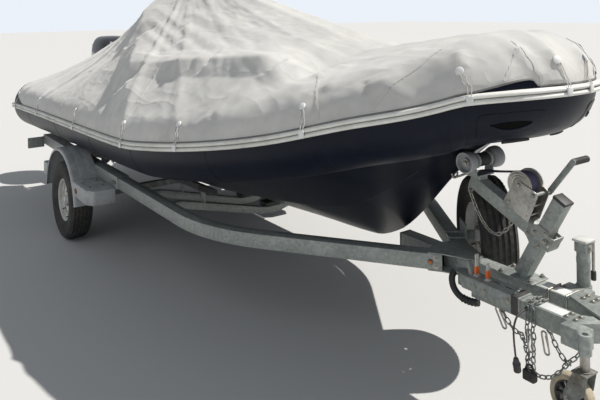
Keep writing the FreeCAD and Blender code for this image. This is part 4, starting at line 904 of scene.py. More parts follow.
# The view
@dataclass
class Studio:
    """The camera at the photograph's place, the pale floor, the sun and the sky."""

    eye: Point = (5.3212, -2.4377, 1.8002)
    heading: float = 0.6161
    roll: float = 0.014
    focal_px: float = 645.3
    horizon_px: float = 9.617
    picture: tuple[int, int] = (600, 400)
    floor_size: float = 60.0
    surround: float = 0.34
    sun_way: Point = (0.34, 0.60, 0.95)
    sun_power: float = 5.0
    sky_way: Point = (0.4, -0.75, 0.5)
    sky_power: float = 0.40

    def camera(self) -> None:
        """Sets the level camera with its shift, so that verticals stay as the photograph has them."""
        data = bpy.data.cameras.new("camera")
        data.sensor_width = 36.0
        data.lens = data.sensor_width * self.focal_px / self.picture[0]
        data.shift_y = -(self.picture[1] / 2 - self.horizon_px) / self.picture[0]
        data.clip_end = 200.0
        right = Vector((math.sin(self.heading), math.cos(self.heading), 0))
        ahead = Vector((-math.cos(self.heading), math.sin(self.heading), 0))
        up = UP
        cos, sin = math.cos(self.roll), math.sin(self.roll)
        columns = (right * cos - up * sin, right * sin + up * cos, -ahead)
        turn = Matrix([[columns[c][r] for c in range(3)] for r in range(3)]).to_4x4()
        camera = linked("camera", data)
        camera.matrix_world = Matrix.Translation(at(*self.eye)) @ turn
        bpy.context.scene.camera = camera

    def floor(self) -> None:
        """Lays a pale plain floor that runs out to the horizon."""
        half = self.floor_size
        obj = Meshes.solid("floor", [Vector((-half, -half, 0)), Vector((half, -half, 0)),
                                     Vector((half, half, 0)), Vector((-half, half, 0))], [(0, 1, 2, 3)],
                           smooth=False)
        material = bpy.data.materials.new("floor_pale")
        material.use_nodes = True
        shader = material.node_tree.nodes["Principled BSDF"]
        shader.inputs["Base Color"].default_value = (0.52, 0.52, 0.515, 1)
        shader.inputs["Roughness"].default_value = 0.9
        obj.data.materials.append(material)

    def world(self) -> None:
        """A pale surround that lights softly and shows as nearly white behind the object."""
        world = bpy.data.worlds.new("surround")
        world.use_nodes = True
        tree = world.node_tree
        back = tree.nodes["Background"]
        back.inputs["Color"].default_value = (0.88, 0.93, 1.0, 1)
        path, scale = (tree.nodes.new(k) for k in ("ShaderNodeLightPath", "ShaderNodeMapRange"))
        scale.inputs["To Min"].default_value = self.surround
        scale.inputs["To Max"].default_value = 0.95
        tree.links.new(path.outputs["Is Camera Ray"], scale.inputs["Value"])
        tree.links.new(scale.outputs["Result"], back.inputs["Strength"])
        bpy.context.scene.world = world

    @staticmethod
    def sun(name: str, way: Point, power: float, width: float, tone: Point = (1, 1, 1)) -> None:
        """A sun lamp: one hard and high, as in the photograph, or a wide soft one.

        Args:
            name: the lamp's name.
            way: direction towards the sun in the axle's frame.
            power: its strength.
            width: its apparent width in degrees.
            tone: its colour.
        """
        data = bpy.data.lights.new(name, "SUN")
        data.energy, data.angle, data.color = power, math.radians(width), tone
        linked(name, data).matrix_world = facing(at(0, 0, 6), Vector(way).normalized())

    def build(self) -> None:
        """Sets up the whole view."""
        self.camera()
        self.floor()
        self.world()
        self.sun("sun", self.sun_way, self.sun_power, 0.9, (1.0, 0.965, 0.91))
        self.sun("sky", self.sky_way, self.sky_power, 50.0, (0.9, 0.95, 1.0))
        bpy.context.scene.view_settings.view_transform = "Standard"


# The boat
@dataclass
class TubeLine:
    """The middle line of the buoyancy tube: straight, a long arc and a round nose, rising to the bow."""

    half_span: float = 0.825
    radius: float = 0.225
    aft: float = -1.600
    straight_end: float = 1.450
    nose: float = 3.595
    nose_radius: float = 0.350
    straight: tuple = ((-1.600, 0.891), (-0.500, 0.931), (0.600, 0.962))
    sheer: tuple = ((0.0, 0.993), (6.0, 1.042), (12.0, 1.106), (18.0, 1.188), (24.0, 1.300), (29.6, 1.400),
                    (40.0, 1.432), (52.0, 1.446), (65.0, 1.454), (78.0, 1.458), (90.0, 1.459))

    def __post_init__(self) -> None:
        """Works out the arcs and the line's height along its length."""
        run = self.nose - self.straight_end - self.nose_radius
        self.turn = 2 * math.atan((self.half_span - self.nose_radius) / run)
        self.arc = run / math.sin(self.turn) + self.nose_radius
        self.centre = Vector((self.straight_end, self.arc - self.half_span, 0))
        self.nose_x = self.straight_end + (self.arc - self.nose_radius) * math.sin(self.turn)
        self.bend = self.straight_end - self.aft
        rows = [(x - self.aft, z) for x, z in self.straight]
        rows += [(self.length_at(math.radians(h)), z) for h, z in self.sheer]
        self.heights = rows
        self.length = rows[-1][0]

    def length_at(self, heading: float) -> float:
        """Length along the line up to one heading of its curve, in radians."""
        past = max(0.0, heading - self.turn)
        return self.bend + self.arc * min(heading, self.turn) + self.nose_radius * past

    def station(self, along: float) -> tuple[Vector, Vector]:
        """Middle point and outward direction on the starboard side.

        Args:
            along: length from the aft end.

        Returns:
            The point, in the axle's frame, and the level direction outwards.
        """
        z = curve_between(self.heights, along)
        if along <= self.bend:
            return Vector((self.aft + along, -self.half_span, z)), Vector((0, -1, 0))
        heading = (along - self.bend) / self.arc
        if heading > self.turn:
            heading = self.turn + (along - self.length_at(self.turn)) / self.nose_radius
        out = Vector((math.sin(heading), -math.cos(heading), 0))
        if heading <= self.turn:
            foot = self.centre + out * self.arc
        else:
            foot = FORE * self.nose_x + out * self.nose_radius
        return Vector((foot.x, foot.y, z)), out

    def whole(self, count: int = 90) -> list[tuple[Vector, Vector]]:
        """Stations from the starboard stern round the bow to the port stern, closer together at the bow.

        Args:
            count: how many stations a side has.

        Returns:
            Middle points in the row frame, with the outward direction of each.
        """
        side = [self.station(self.length * (1 - (1 - t) ** 1.35)) for t in spaced(0, 1, count)]
        port = [(mirrored(m), mirrored(d)) for m, d in reversed(side[:-1])]
        return [(at(*m), d) for m, d in side + port]

    def skin(self, along: float, turn: float, lift: float = 0.0, side: int = 1) -> Vector:
        """A point on the tube's skin or off it, in the row frame.

        Args:
            along: length from the aft end.
            turn: its height round the tube, in radians.
            lift: how far it stands off.
            side: 1 for starboard and -1 for port.

        Returns:
            The point.
        """
        middle, out = self.station(along)
        reach = self.radius + lift
        spot = middle + out * (reach * math.cos(turn)) + UP * (reach * math.sin(turn))
        return at(spot.x, spot.y * side, spot.z)


LINE = TubeLine()


@dataclass
class Boat:
    """Tube, end cones, rubbing strake and hull."""

    tube_sides: int = 56
    glued_seams: tuple = (0.55, 1.45, 2.35, 3.15, 3.9, 4.6, 5.15)
    strake_height: float = 0.044
    strake_depth: float = 0.026
    hull_aft: float = -1.380
    hull_fore: float = 3.3
    hull_rows: tuple = ((-1.380, 0.405, 0.800, 0.682, 0.880), (0.0, 0.425, 0.800, 0.722, 0.930),
                        (1.400, 0.462, 0.795, 0.772, 0.975), (2.100, 0.505, 0.730, 0.862, 1.040),
                        (2.600, 0.536, 0.600, 0.968, 1.120), (2.780, 0.604, 0.540, 1.018, 1.160),
                        (2.900, 0.695, 0.490, 1.052, 1.190), (3.050, 0.848, 0.420, 1.098, 1.230),
                        (3.170, 0.984, 0.350, 1.138, 1.270), (3.300, 1.120, 0.255, 1.175, 1.310))
    bottom: tuple = ((0.0, 0.0), (0.46, 0.5), (0.5, 0.48), (0.93, 0.97), (1.0, 0.97), (1.0, 1.0))

    def tube(self) -> None:
        """The smooth tube, with its glued seams as low bands."""
        rings = []
        for middle, out in LINE.whole(110):
            rings.append([middle + out * LINE.radius * math.cos(t) + UP * LINE.radius * math.sin(t)
                          for t in turns(self.tube_sides)])
        tube = Meshes.rings("tube_skin", rings)
        dress(tube, TUBE_FABRIC, replaces=("buoyancy_tube",))
        bands = []
        for along in self.glued_seams:
            for side in (-1, 1):
                strip = [[LINE.skin(along + offset, t, lift, side) for t in spaced(-math.pi * 0.95, 0.0, 40)]
                         for offset, lift in ((-0.02, 0.0), (-0.019, 0.0012), (0.019, 0.0012), (0.02, 0.0))]
                bands.append(Meshes.rings("band", strip, closed=False))
        dress(Meshes.join("tube_seam_bands", bands), TUBE_FABRIC)

    def cones(self) -> None:
        """The moulded end cones of the two tubes, with their ribbed collars."""
        outline = [(0.0, -0.352), (0.045, -0.345), (0.078, -0.320), (0.094, -0.285), (0.099, -0.262),
                   (0.128, -0.200), (0.170, -0.110), (0.205, -0.040), (0.214, -0.032), (0.214, -0.022),
                   (0.2215, -0.014), (0.225, -0.002), (0.0, -0.002)]
        parts = []
        for side in (-1, 1):
            foot = at(LINE.aft, side * LINE.half_span, LINE.straight[0][1])
            parts.append(Meshes.lathe("cone", outline, foot, FORE, 64))
        dress(Meshes.join("tube_end_cones", parts), CONE_PLASTIC,
              replaces=("tube_cones",))

    def strake(self) -> None:
        """The white rubbing strake with two round beads and a dark line in its groove."""
        half, rim = self.strake_height / 2, self.strake_depth
        profile = []
        for low, high in ((-1.0, -0.06), (0.06, 1.0)):
            middle, reach = (low + high) / 2 * half, (high - low) / 2 * half
            for t in spaced(-math.pi / 2, math.pi / 2, 9):
                profile.append((rim * (0.35 + 0.62 * math.cos(t)), middle + reach * math.sin(t)))
        profile = [(-0.004, -half)] + profile + [(-0.004, half)]
        groove = ((0.0, -0.002), (0.0105, -0.002), (0.0105, 0.002), (0.0, 0.002))
        rings, line = [], []
        for middle, out in LINE.whole(120):
            root = middle + out * (LINE.radius + 0.0003)
            rings.append([root + out * a + Vector((0, 0, b)) for a, b in profile])
            line.append([root + out * a + UP * b for a, b in groove])
        dress(Meshes.rings("rubbing_strake_bands", rings), STRAKE_WHITE,
              replaces=("rubbing_strake",))
        dress(Meshes.rings("strake_dark_line", line), STRAKE_LINE)

    def section(self, x: float) -> list[Vector]:
        """Half the hull's section at one place along the boat, from the keel up to the deck.

        Args:
            x: the place, from the axle.

        Returns:
            The section's points.
        """
        keel, chine, edge, deck = (curve_between(self.hull_rows, x, c) for c in (1, 2, 3, 4))
        rise = edge - keel
        points = [at(x, -chine * a, keel + rise * b) for a, b in self.bottom]
        return points + [at(x, -chine * 0.96, deck)]

    def hull(self) -> None:
        """The deep V hull with a chine and a lifting strake a side, and the well ahead of the transom."""
        rings = []
        for x in spaced(self.hull_aft, 2.2, 22) + spaced(2.27, self.hull_fore, 22):
            side = self.section(x)
            rings.append(side + [mirrored(p) for p in reversed(side[1:])])
        hull = Meshes.rings("hull_shell", rings)
        Meshes.bevel(hull, 0.006, 3, 14.0)
        Meshes.carve(hull, Meshes.box("well", at(-1.43, -0.33, 0.80), at(-0.96, 0.33, 1.3), 0.0))
        hull.data.set_sharp_from_angle(angle=math.radians(25))
        dress(hull, GEL_COAT, replaces=("hull",))

    def build(self) -> None:
        """Builds the boat's hard and inflated pieces."""
        self.tube()
        self.cones()
        self.strake()
        self.hull()


# The mooring cover
@dataclass
class MooringCover:
    """The cloth cover: one thin open sheet stretched from a peak over the tubes down to its hem."""

    gap: float = 0.004
    hem_rise: tuple = ((0.0, 40.0), (0.07, 30.0), (0.22, 15.0), (0.42, 6.0), (5.18, 6.0), (5.24, 9.5),
                       (5.31, 14.0), (5.335, 14.5), (5.355, 7.0), (6.0, 5.0))
    peak: Point = (0.300, 0.0, 2.130)
    notch_x: float = -0.880
    notch_half: float = 0.335
    skirt_foot: float = 0.930
    flat_width: float = 3.3
    flat_length: float = 6.0
    rows_out: int = 84
    rows_in: int = 44
    columns_aft: int = 44
    columns_fore: int = 290
    crown: tuple = ((-1.600, 0.600, 1.178, 0.560, 1.181), (-1.200, 0.600, 1.262, 0.440, 1.330),
                    (-0.600, 0.530, 1.400, 0.250, 1.600), (0.250, 0.690, 1.430, 0.060, 2.130),
                    (0.450, 0.700, 1.436, 0.060, 2.090), (1.000, 0.730, 1.443, 0.060, 1.975),
                    (1.400, 0.690, 1.470, 0.060, 1.880), (2.250, 0.615, 1.528, 0.080, 1.680),
                    (2.430, 0.590, 1.535, 0.100, 1.632), (2.700, 0.480, 1.465, 0.160, 1.575),
                    (3.050, 0.340, 1.580, 0.200, 1.625), (3.300, 0.260, 1.640, 0.150, 1.662),
                    (3.560, 0.190, 1.662, 0.110, 1.668), (3.700, 0.120, 1.640, 0.060, 1.645),
                    (3.818, 0.030, 1.514, 0.015, 1.518))
    pleats_end: float = 0.85
    bow_start: float = 4.2
    buttons: tuple = (0.130, 0.967, 2.060, 3.065, 3.690, 4.510, 5.164, 5.412)
    # Seams as stations along the tube with the share of the way up from the hem
    seams: tuple = (((2.921, 0.34), (2.987, 0.223), (3.09, 0.04)),
                    ((4.412, 0.447), (4.52, 0.24), (4.60, 0.03)),
                    ((5.114, 0.362), (5.021, 0.213), (4.925, 0.128), (4.841, 0.02)),
                    ((5.337, 0.223), (5.27, 0.02)), ((5.325, 0.255), (5.362, 0.02)),
                    ((1.35, 0.50), (1.50, 0.25), (1.62, 0.03)))
    # Creases of the starboard side as the photograph has them: height, width, then points, in metres
    creases: tuple = (
        (0.052, 0.24, ((0.0, -0.22, 1.87), (0.40, -0.46, 1.68), (0.91, -0.75, 1.42), (1.43, -1.01, 1.13))),
        (0.030, 0.13, ((0.94, -0.75, 1.42), (1.76, -0.66, 1.49), (2.38, -0.60, 1.53), (2.80, -0.59, 1.46))),
        (0.025, 0.12, ((2.80, -0.59, 1.46), (2.85, -0.40, 1.52))),
        (0.014, 0.06, ((0.37, -0.40, 1.75), (1.12, -0.53, 1.60), (1.82, -0.64, 1.51))),
        (0.012, 0.05, ((0.52, -0.51, 1.63), (1.39, -0.65, 1.49))),
        (0.012, 0.07, ((0.28, -0.33, 1.83), (0.98, -0.42, 1.69), (2.12, -0.59, 1.53))),
        (0.010, 0.08, ((0.82, -0.32, 1.79), (2.26, -0.34, 1.60))),
        (0.010, 0.03, ((0.82, -0.69, 1.46), (1.41, -0.67, 1.48))),
        (0.010, 0.05, ((2.45, -0.62, 1.50), (2.85, -0.68, 1.43))),
        (0.010, 0.05, ((2.36, -0.74, 1.41), (2.38, -0.88, 1.28), (2.20, -0.98, 1.13))),
        (0.012, 0.06, ((3.02, -0.68, 1.43), (2.97, -0.52, 1.51))),
        (0.010, 0.06, ((3.09, -0.71, 1.36), (3.18, -0.63, 1.44), (3.36, -0.52, 1.52))),
        (0.010, 0.04, ((3.53, -0.37, 1.62), (3.60, -0.42, 1.55))),
        (0.014, 0.05, ((3.67, -0.22, 1.64), (3.79, -0.19, 1.51))),
        (0.010, 0.04, ((3.75, -0.10, 1.62), (3.80, -0.09, 1.55))),
        (0.008, 0.04, ((3.71, -0.26, 1.58), (3.71, -0.34, 1.48))),
        (0.008, 0.05, ((3.16, -0.33, 1.60), (3.51, -0.37, 1.62))),
        (0.008, 0.05, ((3.27, -0.58, 1.48), (3.46, -0.54, 1.41))),
    )

    def __post_init__(self) -> None:
        """Sets out each crease as points with the box that it can reach."""
        self.ridges = []
        for height, width, points in self.creases:
            spots = [Vector(point) for point in points]
            room = Vector((1, 1, 1)) * width
            low = Vector([min(s[k] for s in spots) for k in range(3)]) - room
            high = Vector([max(s[k] for s in spots) for k in range(3)]) + room
            self.ridges.append((height, width, low, high, spots))

    def crown_height(self, x: float, y: float) -> float:
        """Height of the sheet between its two knees.

        Args:
            x: the place along the boat.
            y: the place across it.

        Returns:
            The height.
        """
        row = [self.linear(x, c) for c in (1, 2, 3, 4)]
        across = abs(y)
        if across <= row[2]:
            return row[3]
        share = min(1.0, (across - row[2]) / max(1e-6, row[0] - row[2]))
        return row[3] + (row[1] - row[3]) * share

    def linear(self, x: float, column: int) -> float:
        """One column of the crown's table at one place, on straight lines between its rows.

        Args:
            x: the place along the boat.
            column: which column.

        Returns:
            The value there.
        """
        rows = self.crown
        for a, b in zip(rows, rows[1:]):
            if x <= b[0]:
                return a[column] + (b[column] - a[column]) * max(0.0, x - a[0]) / (b[0] - a[0])
        return rows[-1][column]

    def profile(self, along: float) -> tuple[list[Vector], list[Vector]]:
        """The sheet's line from its hem up to the middle of the boat at one station, starboard side.

        Args:
            along: length along the tube from its aft end.

        Returns:
            The points of the outer part and of the inner part, each evenly spaced, in the axle's frame.
        """
        middle, out = LINE.station(along)
        radius = LINE.radius + self.gap
        target = Vector((middle.x if middle.x < 2.6 else 2.6 + (middle.x - 2.6) * 0.7, 0, 0))
        run = Vector((target.x - middle.x, -middle.y, 0))
        reach = run.length
        inward = run / reach
        hem = math.radians(curve_between(self.hem_rise, along))
        share = 0.3
        for _ in range(6):
            x = middle.x + run.x * share
            share = max(0.0, 1 - self.linear(x, 1) / max(abs(middle.y), 1e-6))
        knee = share * reach
        knee_z = self.crown_height(middle.x + run.x * share, abs(middle.y) * (1 - share)) - middle.z
        far = math.hypot(knee, knee_z)
        touch = math.pi / 2
        if far > radius:
            touch = math.pi - math.atan2(knee_z, knee) - math.acos(radius / far)
        touch = min(max(touch, hem), math.pi * 0.75)
        line = [(-radius * math.cos(t), radius * math.sin(t)) for t in spaced(hem, touch, 40)]
        first = line[-1]
        if knee > first[0] + 0.01:
            line += [(first[0] + (knee - first[0]) * t, first[1] + (knee_z - first[1]) * t)
                     for t in spaced(0.05, 1, 14)]
        start = max(line[-1][0], 0.0 if knee <= 0 else knee)
        for t in spaced(0.02, 1, 44):
            a = start + (reach - start) * t
            spot = middle + inward * a
            z = self.crown_height(spot.x, spot.y) - middle.z
            if abs(a) < radius:
                z = max(z, math.sqrt(radius * radius - a * a))
            line.append((a, z))
        points = []
        for a, z in line:
            way = out * -a if a < 0 else inward * a
            points.append(middle + way + Vector((0, 0, z)))
        split = reach * (1 - self.notch_half / LINE.half_span)
        cut = next((k for k, (a, _) in enumerate(line) if a >= split), len(line) - 1)
        before, after = line[cut - 1], line[cut]
        t = (split - before[0]) / max(1e-9, after[0] - before[0])
        edge = points[cut - 1].lerp(points[cut], min(1.0, max(0.0, t)))
        outer = self.even(points[:cut] + [edge], self.rows_out)
        if middle.x < self.notch_x:
            foot = Vector((edge.x, edge.y + 0.004, self.skirt_foot))
            inner = self.even([edge, foot], self.rows_in)
        else:
            inner = self.even([edge] + points[cut:], self.rows_in)
        return outer, inner

    @staticmethod
    def even(points: Sequence[Vector], count: int) -> list[Vector]:
        """The same line with evenly spaced points.

        Args:
            points: the line.
            count: how many points it gets.

        Returns:
            The points.
        """
        lengths = [0.0]
        for a, b in zip(points, points[1:]):
            lengths.append(lengths[-1] + (b - a).length)
        result, k = [], 0
        for goal in spaced(0.0, lengths[-1], count):
            while k < len(points) - 2 and lengths[k + 1] < goal:
                k += 1
            run = max(1e-9, lengths[k + 1] - lengths[k])
            result.append(points[k].lerp(points[k + 1], (goal - lengths[k]) / run))
        return result

    def stations(self) -> list[float]:
        """Lengths along the tube of the sheet's columns, the notch's edge among them.

        Returns:
            The lengths.
        """
        edge = self.notch_x - LINE.aft
        aft = spaced(0.035, edge - 1e-4, self.columns_aft)
        fore = [edge + (LINE.length - edge) * (1 - (1 - t) ** 1.25)
                for t in spaced(1e-5, 1, self.columns_fore)]
        return aft + fore

    def folds(self, spot: Vector, place: float, height: float) -> float:
        """How far a point of the sheet stands off its smooth form, by folds, pleats and crumples.

        Args:
            spot: the point in the axle's frame, starboard side or port.
            place: length along the tube of its column.
            height: share of the way from the hem to the middle.

        Returns:
            The distance along the sheet's normal.
        """
        side = 1.0 if spot.y > 0 else 0.0
        dx, dy = spot.x - self.peak[0], abs(spot.y)
        radius = math.hypot(dx, dy)
        angle = math.atan2(dy, dx)
        fade = min(1.0, radius / 0.5) * min(1.0, (1 - height) * 5 + 0.25)
        value = 0.0
        for index, along in enumerate(self.buttons):
            middle, out = LINE.station(along)
            button = middle + out * LINE.radius
            course = math.atan2(abs(button.y), button.x - self.peak[0])
            off = (angle - course) * max(radius, 0.3)
            width = 0.022 + 0.03 * radius / 1.5
            tall = (0.014 if index in (1, 2, 3) else 0.008) * fade
            value += tall * max(0.0, 1 - abs(off) / width)
            below = abs(place - along)
            if height < 0.34:
                value += 0.005 * math.exp(-(below / 0.03) ** 2) * (0.34 - height) / 0.34
                value -= 0.004 * math.exp(-((below - 0.09) / 0.05) ** 2) * (0.34 - height) / 0.34
        value += self.crease(Vector((spot.x, -abs(spot.y), spot.z)))
        ray = Vector((angle * 9.0 + side * 7.3, radius * 1.6, side * 3.1))
        long_fold = noise.noise(ray) + 0.5 * noise.noise(ray * 2.3)
        value += 0.006 * long_fold * fade * (0.35 + 0.65 * min(1.0, height * 3))
        fine = Vector((angle * 30.0 + side * 11.0, radius * 5.0, side))
        value += 0.0028 * (1 - 2 * abs(noise.noise(fine))) * fade * min(1.0, height * 4)
        crush = spot * 6.0
        value += 0.0016 * noise.noise(crush) + 0.0010 * noise.noise(crush * 2.7)
        if place < self.pleats_end and height < 0.75:
            curve = place + 0.10 * math.sin(height * 4.0)
            pleat = noise.noise(Vector((curve * 22.0, height * 1.4, side * 5.0)))
            fold = abs(math.sin(curve * 34.0 + pleat * 2.0))
            reach = (1 - place / self.pleats_end) * min(1.0, height * 6 + 0.3)
            value += (0.006 * pleat + 0.007 * (1 - fold)) * reach
        if place > self.bow_start and height < 0.8:
            pull = noise.noise(Vector((place * 6.0 + height * 3.0, height * 1.5, side * 9.0)))
            value += 0.006 * pull * min(1.0, (place - self.bow_start) / 0.5)
        return value

    def crease(self, spot: Vector) -> float:
        """How high the photographed creases stand at a point, each one a ridge with a sharp crest.

        Args:
            spot: the point, on the starboard side.

        Returns:
            The height.
        """
        value = 0.0
        for height, width, low, high, points in self.ridges:
            if not (low.x < spot.x < high.x and low.y < spot.y < high.y and low.z < spot.z < high.z):
                continue
            for k, (a, b) in enumerate(zip(points, points[1:])):
                run = b - a
                t = min(1.0, max(0.0, (spot - a).dot(run) / max(1e-9, run.length_squared)))
                gap = (spot - a - run * t).length
                if gap < width:
                    whole = (k + t) / (len(points) - 1)
                    ends = min(1.0, 0.2 + whole * 5, 0.2 + (1 - whole) * 5)
                    value += height * (1 - gap / width) * ends
                    break
        return value

    def grid(self) -> tuple[list[list[Vector]], list[float]]:
        """Every column of the sheet from the starboard stern round the bow to the port stern.

        Returns:
            The columns, and the length along the tube of each.
        """
        places = self.stations()
        side = []
        for along in places:
            outer, inner = self.profile(along)
            side.append(outer + inner[1:])
        port = [[mirrored(p) for p in column] for column in reversed(side[:-1])]
        return side + port, places + places[-2::-1]

    def soften(self, columns: list[list[Vector]], rounds: int = 1) -> None:
        """Rounds the creases of the grid a little, its hem and its stern edges left in place.

        Args:
            columns: the sheet's columns, which are changed.
            rounds: how often it is done.
        """
        breaks = {k for k, (a, b) in enumerate(zip(columns, columns[1:]))
                  if (a[0].x < self.notch_x) != (b[0].x < self.notch_x)}
        last = len(columns[0])
        for _ in range(rounds):
            copy = [[p.copy() for p in column] for column in columns]
            for i in range(1, len(columns) - 1):
                if i in breaks or i - 1 in breaks:
                    continue
                limit = self.rows_out - 1 if columns[i][0].x < self.notch_x else last - 1
                for j in range(1, limit):
                    around = copy[i - 1][j] + copy[i + 1][j] + copy[i][j - 1] + copy[i][j + 1]
                    columns[i][j] = copy[i][j] * 0.5 + around * 0.125

    def shape(self, columns: list[list[Vector]], places: Sequence[float]) -> list[list[Vector]]:
        """Moves each point along its normal by the folds and keeps the sheet off the tube.

        Args:
            columns: the smooth sheet.
            places: the length along the tube of each column.

        Returns:
            The folded sheet's columns.
        """
        shaped = []
        count = len(columns)
        for i, column in enumerate(columns):
            line = []
            before, after = columns[max(0, i - 1)], columns[min(count - 1, i + 1)]
            aft = column[0].x < self.notch_x
            if aft != (before[0].x < self.notch_x):
                before = column
            if aft != (after[0].x < self.notch_x):
                after = column
            for j, spot in enumerate(column):
                low, high = column[max(0, j - 1)], column[min(len(column) - 1, j + 1)]
                normal = (high - low).cross(after[j] - before[j])
                if normal.length < 1e-9:
                    normal = UP
                normal.normalize()
                if normal.dot(spot - Vector((spot.x, 0, 0.7))) < 0:
                    normal = -normal
                height = j / (len(column) - 1)
                edge = min(1.0, j / 3.0)
                off = self.folds(spot, places[i], height) * edge
                if aft and j >= self.rows_out - 1:
                    off *= 0.4
                line.append(self.clear(spot + normal * off, places[i], spot.y > 0))
            shaped.append(line)
        return shaped

    def clear(self, spot: Vector, place: float, port: bool) -> Vector:
        """The same point, moved out where it would lie inside the tube.

        Args:
            spot: the point.
            place: the length along the tube.
            port: whether it lies on the port side.

        Returns:
            The point.
        """
        middle, out = LINE.station(place)
        if port:
            middle, out = mirrored(middle), mirrored(out)
        gap = spot - middle
        along = out.cross(UP)
        flat = gap - along * gap.dot(along)
        least = LINE.radius + 0.0022
        if 0 < flat.length < least:
            return spot + flat * (least / flat.length - 1)
        return spot

    def faces(self, columns: list[list[Vector]]) -> tuple[list[Vector], list[tuple[int, ...]]]:
        """Points and faces of the sheet, with the wall ahead of the motor closed in.

        Args:
            columns: the sheet's columns.

        Returns:
            The points and the faces.
        """
        size = len(columns[0])
        verts = [p for column in columns for p in column]
        faces, walls = [], []
        for i in range(len(columns) - 1):
            aft, fore = columns[i][0].x < self.notch_x, columns[i + 1][0].x < self.notch_x
            last = self.rows_out - 1 if aft != fore else size - 1
            for j in range(last):
                a, b = i * size + j, (i + 1) * size + j
                faces.append((a, b, b + 1, a + 1))
            if aft != fore:
                walls.append((i, i + 1) if aft else (i + 1, i))
        top = [columns[walls[0][1]][j] for j in range(self.rows_out - 1, size)]
        top += [columns[walls[1][1]][j] for j in range(size - 2, self.rows_out - 2, -1)]
        left = columns[walls[0][0]][self.rows_out - 1:]
        base, depth, width = len(verts), len(left), len(top)
        for k, head in enumerate(top):
            foot = Vector((head.x - 0.004, head.y, self.skirt_foot))
            for d in range(depth):
                t = d / (depth - 1)
                spot = head.lerp(foot, t)
                inner = math.sin(math.pi * k / (width - 1))
                spot.x += inner * (0.012 * noise.noise(Vector((head.y * 14, t * 1.5, 2)))
                                   - 0.012 * math.sin(math.pi * t))
                verts.append(spot)
        for k in range(width - 1):
            for d in range(depth - 1):
                a, b = base + k * depth + d, base + (k + 1) * depth + d
                faces.append((a, b, b + 1, a + 1))
        return verts, faces

    def sheet(self) -> Piece:
        """Builds the sheet and lays it in the row frame.

        Returns:
            The sheet.
        """
        columns, places = self.grid()
        self.soften(columns)
        columns = self.shape(columns, places)
        verts, faces = self.faces(columns)
        obj = Meshes.solid("mooring_cover_cloth", [at(*p) for p in verts], faces)
        obj.data.set_sharp_from_angle(angle=math.radians(75))
        self.columns, self.places = columns, places
        return obj

    def hem(self) -> Piece:
        """A tape along the hem, laid just off the sheet's outer face, its dark tone painted as the shadow
        line between hem and strake.

        Returns:
            The tape.
        """
        rings = []
        for column, place in zip(self.columns, self.places):
            _, out = LINE.station(place)
            if column[0].y > 0:
                out = mirrored(out)
            foot, above = at(*column[0]), at(*column[1])
            rise = (above - foot).normalized()
            lift = out * 0.0014
            rings.append([foot - rise * 0.002, foot + lift, foot + lift + rise * 0.006,
                          foot + lift * 0.1 + rise * 0.0065])
        return Meshes.rings("cover_hem_tape", rings, closed=False)

    def spot(self, place: float, row: float, port: bool = False) -> tuple[Vector, Vector]:
        """A point of the shaped sheet and its normal.

        Args:
            place: length along the tube from its aft end.
            row: the row up from the hem.
            port: whether it lies on the port side.

        Returns:
            The point in the row frame and the outward normal.
        """
        half = len(self.places) // 2
        i = min(range(1, half), key=lambda k: abs(self.places[k] - place))
        t = (place - self.places[i - 1]) / max(1e-9, self.places[i] - self.places[i - 1])
        pair = [self.columns[-1 - k] if port else self.columns[k] for k in (i - 1, i)]
        j = min(int(row), len(pair[0]) - 2)
        lows = [column[j].lerp(column[j + 1], row - j) for column in pair]
        point = lows[0].lerp(lows[1], min(1.0, max(0.0, t)))
        normal = (pair[1][j + 1] - pair[1][j]).cross(lows[1] - lows[0]).normalized()
        if normal.dot(point - Vector((point.x, 0, 0.7))) < 0:
            normal = -normal
        return at(*point), normal

    def row_at(self, along: float, angle: float) -> float:
        """The row of the sheet that lies at one angle round the tube, in degrees.

        Args:
            along: length along the tube.
            angle: the angle.

        Returns:
            The row.
        """
        half = len(self.places) // 2
        i = min(range(half), key=lambda k: abs(self.places[k] - along))
        middle, out = LINE.station(along)
        angles = [math.degrees(math.atan2(p.z - middle.z, (p - middle).dot(out)))
                  for p in self.columns[i][:self.rows_out]]
        return float(min(range(len(angles)), key=lambda k: abs(angles[k] - angle)))

    def fittings(self) -> list[Piece]:
        """Round buttons, the doubled shock cords below them and the clips on the strake.

        Returns:
            The buttons, the clips and the cords.
        """
        discs, strands, clips = [], [], []
        cap = [(0.0, 0.0), (0.018, 0.0), (0.018, 0.0026), (0.0165, 0.0056), (0.012, 0.0076), (0.0, 0.0082)]
        for along in self.buttons:
            low, high = self.row_at(along, 12.0), self.row_at(along, 30.0)
            for port in (False, True):
                middle, out = LINE.station(along + 0.02)
                if port:
                    middle, out = mirrored(middle), mirrored(out)
                point, normal = self.spot(along, high, port)
                discs.append(Meshes.lathe("disc", cap, point, normal, 24))
                course = UP.cross(out)
                base = at(*middle) + out * (LINE.radius + 0.0285)
                for side in (-1, 1):
                    shift = course * 0.0085 * side
                    line = [point + normal * 0.003 + shift * 0.8]
                    for row in spaced(high - 1, low, 4):
                        p, n = self.spot(along + 0.02 * (high - row) / max(1.0, high - low), row, port)
                        line.append(p + n * 0.0042 + shift)
                    line += [base + Vector((0, 0, 0.024)) + shift * 0.8 - out * 0.002,
                             base + Vector((0, 0, 0.010)) + shift * 0.5]
                    strands.append(Meshes.tube("strand", line, 0.0021, 8))
                turn = Matrix((course, out, UP)).transposed().to_4x4()
                clip = Meshes.box("clip", (-0.014, -0.0035, -0.018), (0.014, 0.0035, 0.017), 0.0025)
                clip.data.transform(Matrix.Translation(base) @ turn)
                clips.append(clip)
        white = [Meshes.join("cover_buttons", discs), Meshes.join("cover_clips", clips)]
        made = [dress(obj, BUTTON_WHITE) for obj in white]
        return made + [dress(Meshes.join("cover_shock_cords", strands), SHOCK_CORD)]

